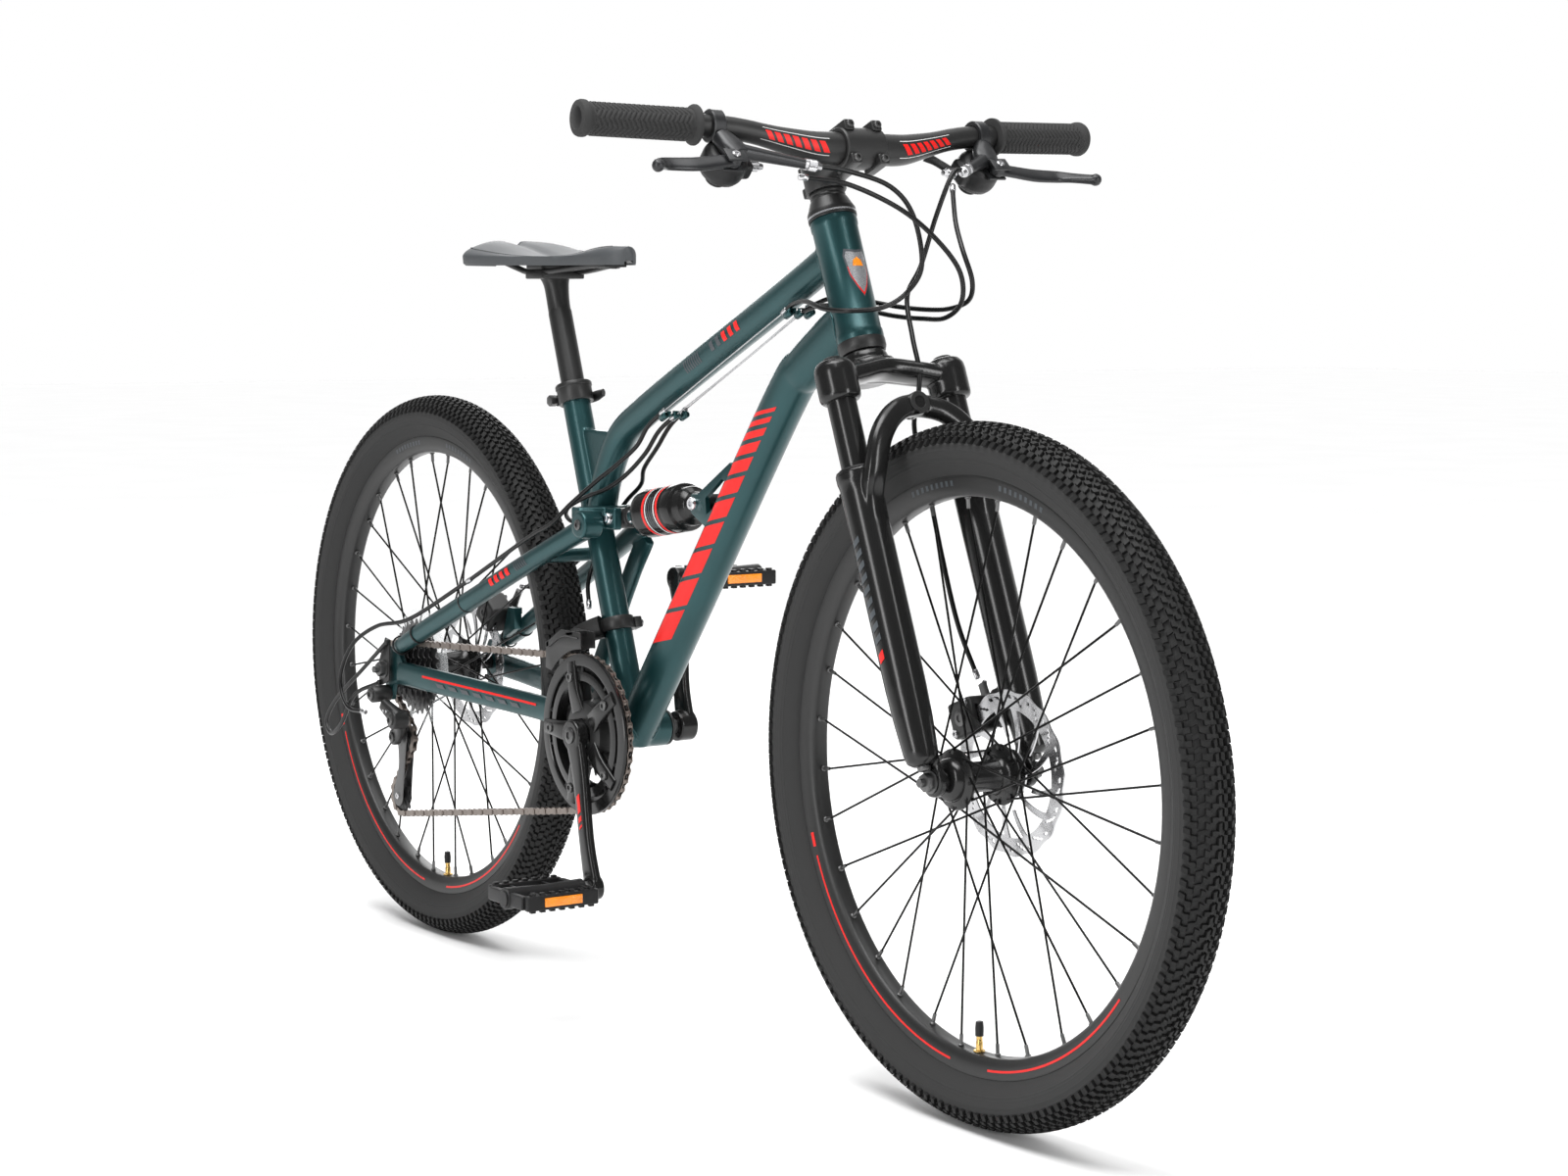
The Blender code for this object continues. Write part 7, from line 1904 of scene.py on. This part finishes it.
def make_calipers():
    """Each mechanical caliper: body halves, round adjuster cap, bolts and the cable's arm."""
    for name, axle, body in (("front", FRONT_AXLE, "fork_lowers"), ("rear", REAR_AXLE, "swingarm")):
        track, angle = ROTOR_Y[name], CALIPER_ANGLE[name]
        middle = axle + polar(angle) * 0.0820 + Y * (track + 0.0060)
        turn = math.pi / 2 - math.radians(68.27) if name == "front" else angle
        axes = (polar(turn), Y, polar(turn + math.pi / 2))
        case = block(middle, (0.036, 0.030, 0.036), axes, 0.0045, 4)
        clear = lathe([(0, -0.0017), (0.0822, -0.0017), (0.0822, 0.0017), (0, 0.0017)],
                      axle + Y * track, Y, 96)
        shapes = [(bored(case, [clear]), "satin_black")]
        shapes.append((lathe([(0, 0.0120), (0.0145, 0.0120), (0.0147, 0.0160), (0.0140, 0.0178),
                              (0.0128, 0.0184), (0.0124, 0.0206), (0, 0.0210)], middle, Y, 48),
                       "satin_black"))
        for u, v in ((-0.0125, -0.0125), (0.0125, 0.0125)):
            spot = middle + axes[0] * u + axes[2] * v
            shapes.append((hex_bolt(spot + Y * 0.0150, Y, 0.0040, 0.0030), "brushed_steel"))
            shapes.append((hex_bolt(spot - Y * 0.0150, -Y, 0.0040, 0.0022), "brushed_steel"))
        shapes.append((hex_bolt(middle - Y * 0.0148, -Y, 0.0080, 0.0018), "dark_steel"))
        if name == "front":
            shapes.append((sweep([head(-0.384, 0.0100, 0.0520), head(-0.384, -0.010, 0.0520)],
                                 (0.0040, 0.0170), 24, Y, 2.6), "satin_black"))
            for z in (-0.0125, 0.0125):
                shapes.append((hex_bolt(head(-0.384 + z, 0.004, 0.0560), Y, 0.0042, 0.0034), "brushed_steel"))
        else:
            shapes.append((plate([(0.060, 0.4035), (0.084, 0.4035), (0.084, 0.4115), (0.060, 0.4115)],
                                 0.0630, 0.0680), "satin_black"))
        piece(name + "_caliper_body", body, shapes, [name + "_caliper"], 35)
        root = middle + Y * 0.0240
        tip = root + (Vector((-0.016, 0, 0.030)) if name == "front" else Vector((0.020, 0, 0.026)))
        arm = bar([root - (tip - root) * 0.25, root, root.lerp(tip, 0.6), tip],
                  [(0.0022, 0.0078), (0.0022, 0.0090), (0.0022, 0.0062), (0.0022, 0.0056)], 8, 20, Y, 3.4)
        parts = [(arm, "dark_steel"), (rod(root - Y * 0.0024, root + Y * 0.0030, 0.0060, 28, 0.0006),
                                       "dark_steel"),
                 (hex_bolt(root + Y * 0.0028, Y, 0.0050, 0.0020), "brushed_steel"),
                 (hex_bolt(tip + Y * 0.0020, Y, 0.0034, 0.0024, False), "brushed_steel")]
        piece(name + "_caliper_lever", name + "_caliper_arm", parts,
              [name + "_caliper_arm"], 35)


# ---------------------------------------------------------------- cables
HOUSING_R = 0.0025
WIRE_R = 0.0007


def ferrule(point, ahead):
    """The cap on the end of a cable housing."""
    return rod(point - ahead * 0.006, point + ahead * 0.004, 0.0031, 16, 0.0005)


def cord(name, body, route, finish_name, radius, between=None, replaced=(), caps=(True, True)):
    """A length of housing or bare wire through its points, with metal caps on housing ends."""
    path = smooth(route, 8)
    shapes = [(sweep(path, radius, 14), finish_name)]
    if finish_name == "cable_housing":
        if caps[0]:
            shapes.append((ferrule(path[0], (path[0] - path[1]).normalized()), "brushed_steel"))
        if caps[1]:
            shapes.append((ferrule(path[-1], (path[-1] - path[-2]).normalized()), "brushed_steel"))
    piece(name, body, shapes, replaced, 45, between)


def make_cables():
    """Four cables: housings from the bar to the frame stops, bare wire between, housings to the ends."""
    brake_top = [at(0.9150, -0.0820, 0.9040), at(0.9300, -0.0400, 0.8980), at(0.9450, 0.0100, 0.8760),
                 at(0.9660, 0.0380, 0.8480), at(0.9790, 0.0600, 0.8150), at(0.9780, 0.0640, 0.7850),
                 at(0.9550, 0.0620, 0.7690), at(0.9200, 0.0590, 0.7680), at(0.8850, 0.0480, 0.7710),
                 at(0.8600, 0.0260, 0.7780), at(0.8420, 0.0080, 0.7810), at(0.8250, -0.0040, 0.7800),
                 at(0.8000, -0.0060, 0.7740)]
    cord("rear_brake_housing_front", None, brake_top, "cable_housing", HOUSING_R,
         ("steering", "frame", at(0.955, 0.03, 0.860), at(0.845, 0.01, 0.775)), ["rear_brake_cable"])
    brake_mid = [at(0.8000, -0.0060, 0.7740), at(0.7000, -0.0060, 0.7260), at(0.5600, -0.0070, 0.6620)]
    cord("rear_brake_wire", "frame", brake_mid, "bare_wire", WIRE_R)
    brake_low = [at(0.5600, -0.0070, 0.6620), at(0.5300, -0.0080, 0.6450), at(0.5050, -0.0100, 0.6200),
                 at(0.4700, -0.0140, 0.5950), at(0.4400, -0.0220, 0.5780), at(0.4050, -0.0265, 0.5680),
                 at(0.3660, -0.0285, 0.5530), at(0.3300, -0.0060, 0.5370), at(0.3260, 0.0260, 0.5230),
                 at(0.2900, 0.0450, 0.4990), at(0.2000, 0.0560, 0.4590), at(0.1300, 0.0680, 0.4290),
                 at(0.0980, 0.0755, 0.4360), at(0.0755, 0.0740, 0.4365)]
    cord("rear_brake_housing_rear", None, brake_low, "cable_housing", HOUSING_R,
         ("frame", "swingarm", at(0.530, 0, 0.640), at(0.330, 0, 0.520)))
    shift_top = [at(0.9240, -0.0765, 0.9150), at(0.9330, -0.0400, 0.9100), at(0.9400, 0.0050, 0.8960),
                 at(0.9440, 0.0300, 0.8680), at(0.9448, 0.0400, 0.8207), at(0.9342, 0.0300, 0.7939),
                 at(0.9290, 0.0040, 0.7790), at(0.9160, -0.0260, 0.7758), at(0.8842, -0.0350, 0.7778),
                 at(0.8450, -0.0290, 0.7850), at(0.8100, -0.0200, 0.7830), at(0.7900, -0.0180, 0.7750)]
    cord("rear_shift_housing_front", None, shift_top, "cable_housing", HOUSING_R,
         ("steering", "frame", at(0.945, 0.0, 0.870), at(0.840, 0.0, 0.775)), ["rear_shift_cable"])
    shift_mid = [at(0.7900, -0.0180, 0.7750), at(0.7000, -0.0180, 0.7340), at(0.5600, -0.0200, 0.6680)]
    cord("rear_shift_wire", "frame", shift_mid, "bare_wire", WIRE_R)
    shift_low = [at(0.5600, -0.0200, 0.6680), at(0.5290, -0.0210, 0.6510), at(0.5050, -0.0215, 0.6280),
                 at(0.4700, -0.0280, 0.6050), at(0.4449, -0.0350, 0.5891), at(0.4050, -0.0480, 0.5600),
                 at(0.3776, -0.0570, 0.5370), at(0.3300, -0.0610, 0.5180), at(0.2000, -0.0680, 0.4600)]
    cord("rear_shift_housing_middle", None, shift_low, "cable_housing", HOUSING_R,
         ("frame", "swingarm", at(0.530, 0, 0.650), at(0.330, 0, 0.515)))
    shift_end = [at(0.2000, -0.0680, 0.4600), at(0.0700, -0.0790, 0.4050), at(0.0000, -0.0900, 0.3900),
                 at(-0.0500, -0.1000, 0.3620), at(-0.0760, -0.1040, 0.3180), at(-0.0520, -0.1060, 0.2860),
                 at(-0.0140, -0.1020, 0.2830)]
    cord("rear_shift_housing_rear", "swingarm", shift_end, "cable_housing", HOUSING_R,
         caps=(False, True))
    front_shift_top = [at(0.9150, 0.1000, 0.8980), at(0.9300, 0.0900, 0.8820), at(0.9500, 0.0780, 0.8600),
                       at(0.9739, 0.0680, 0.8350), at(0.9867, 0.0700, 0.8050), at(0.9760, 0.0740, 0.7860),
                       at(0.9500, 0.0710, 0.7780), at(0.9180, 0.0670, 0.7770), at(0.8850, 0.0540, 0.7800),
                       at(0.8600, 0.0330, 0.7860), at(0.8450, 0.0180, 0.7890), at(0.8300, 0.0090, 0.7880),
                       at(0.8000, 0.0060, 0.7800)]
    cord("front_shift_housing_front", None, front_shift_top, "cable_housing", HOUSING_R,
         ("steering", "frame", at(0.960, 0.03, 0.865), at(0.850, 0.01, 0.780)), ["front_shift_cable"])
    front_shift_mid = [at(0.8000, 0.0060, 0.7800), at(0.7000, 0.0060, 0.7330), at(0.5600, 0.0060, 0.6680)]
    cord("front_shift_wire", "frame", front_shift_mid, "bare_wire", WIRE_R)
    front_shift_low = [at(0.5600, 0.0060, 0.6680), at(0.5300, 0.0060, 0.6500), at(0.5050, 0.0060, 0.6270),
                       at(0.4700, 0.0100, 0.6020), at(0.4400, 0.0240, 0.5820), at(0.4050, 0.0265, 0.5620),
                       at(0.3750, 0.0215, 0.5320), at(0.3740, 0.0060, 0.5020), at(0.3830, -0.0120, 0.4700),
                       at(0.3960, -0.0190, 0.4440)]
    cord("front_shift_housing_rear", "frame", front_shift_low, "cable_housing", HOUSING_R)
    front_brake = [at(0.9240, 0.1080, 0.9150), at(0.9310, 0.0880, 0.9110), at(0.9310, 0.0680, 0.8700),
                   at(0.9270, 0.0520, 0.8200), at(0.9140, 0.0450, 0.7900), at(0.9380, 0.0340, 0.7500),
                   at(0.9540, 0.0300, 0.7200), at(0.9550, 0.0290, 0.6950), at(0.9430, 0.0330, 0.6600),
                   at(0.9500, 0.0430, 0.6100), at(0.9700, 0.0470, 0.5366),
                   at(0.9900, 0.0520, 0.4700), at(1.0080, 0.0620, 0.4200)]
    cord("front_brake_housing", None, front_brake, "cable_housing", HOUSING_R,
         ("steering", "fork_lowers", at(0.945, 0.04, 0.740), at(0.955, 0.04, 0.600)), ["front_brake_cable"])


# ---------------------------------------------------------------- the whole bike
make_camera()
make_finishes()
make_studio()
make_cables()
make_frame()
make_seat()
make_crown()
make_lowers()
make_axles()
make_handlebar()
make_stem()
make_grips()
make_controls()
make_levers()
make_wheels()
make_swingarm()
make_guard()
make_shock()
make_cassette()
make_chainrings()
make_cranks()
make_pedals()
make_chain()
make_derailleurs()
make_calipers()
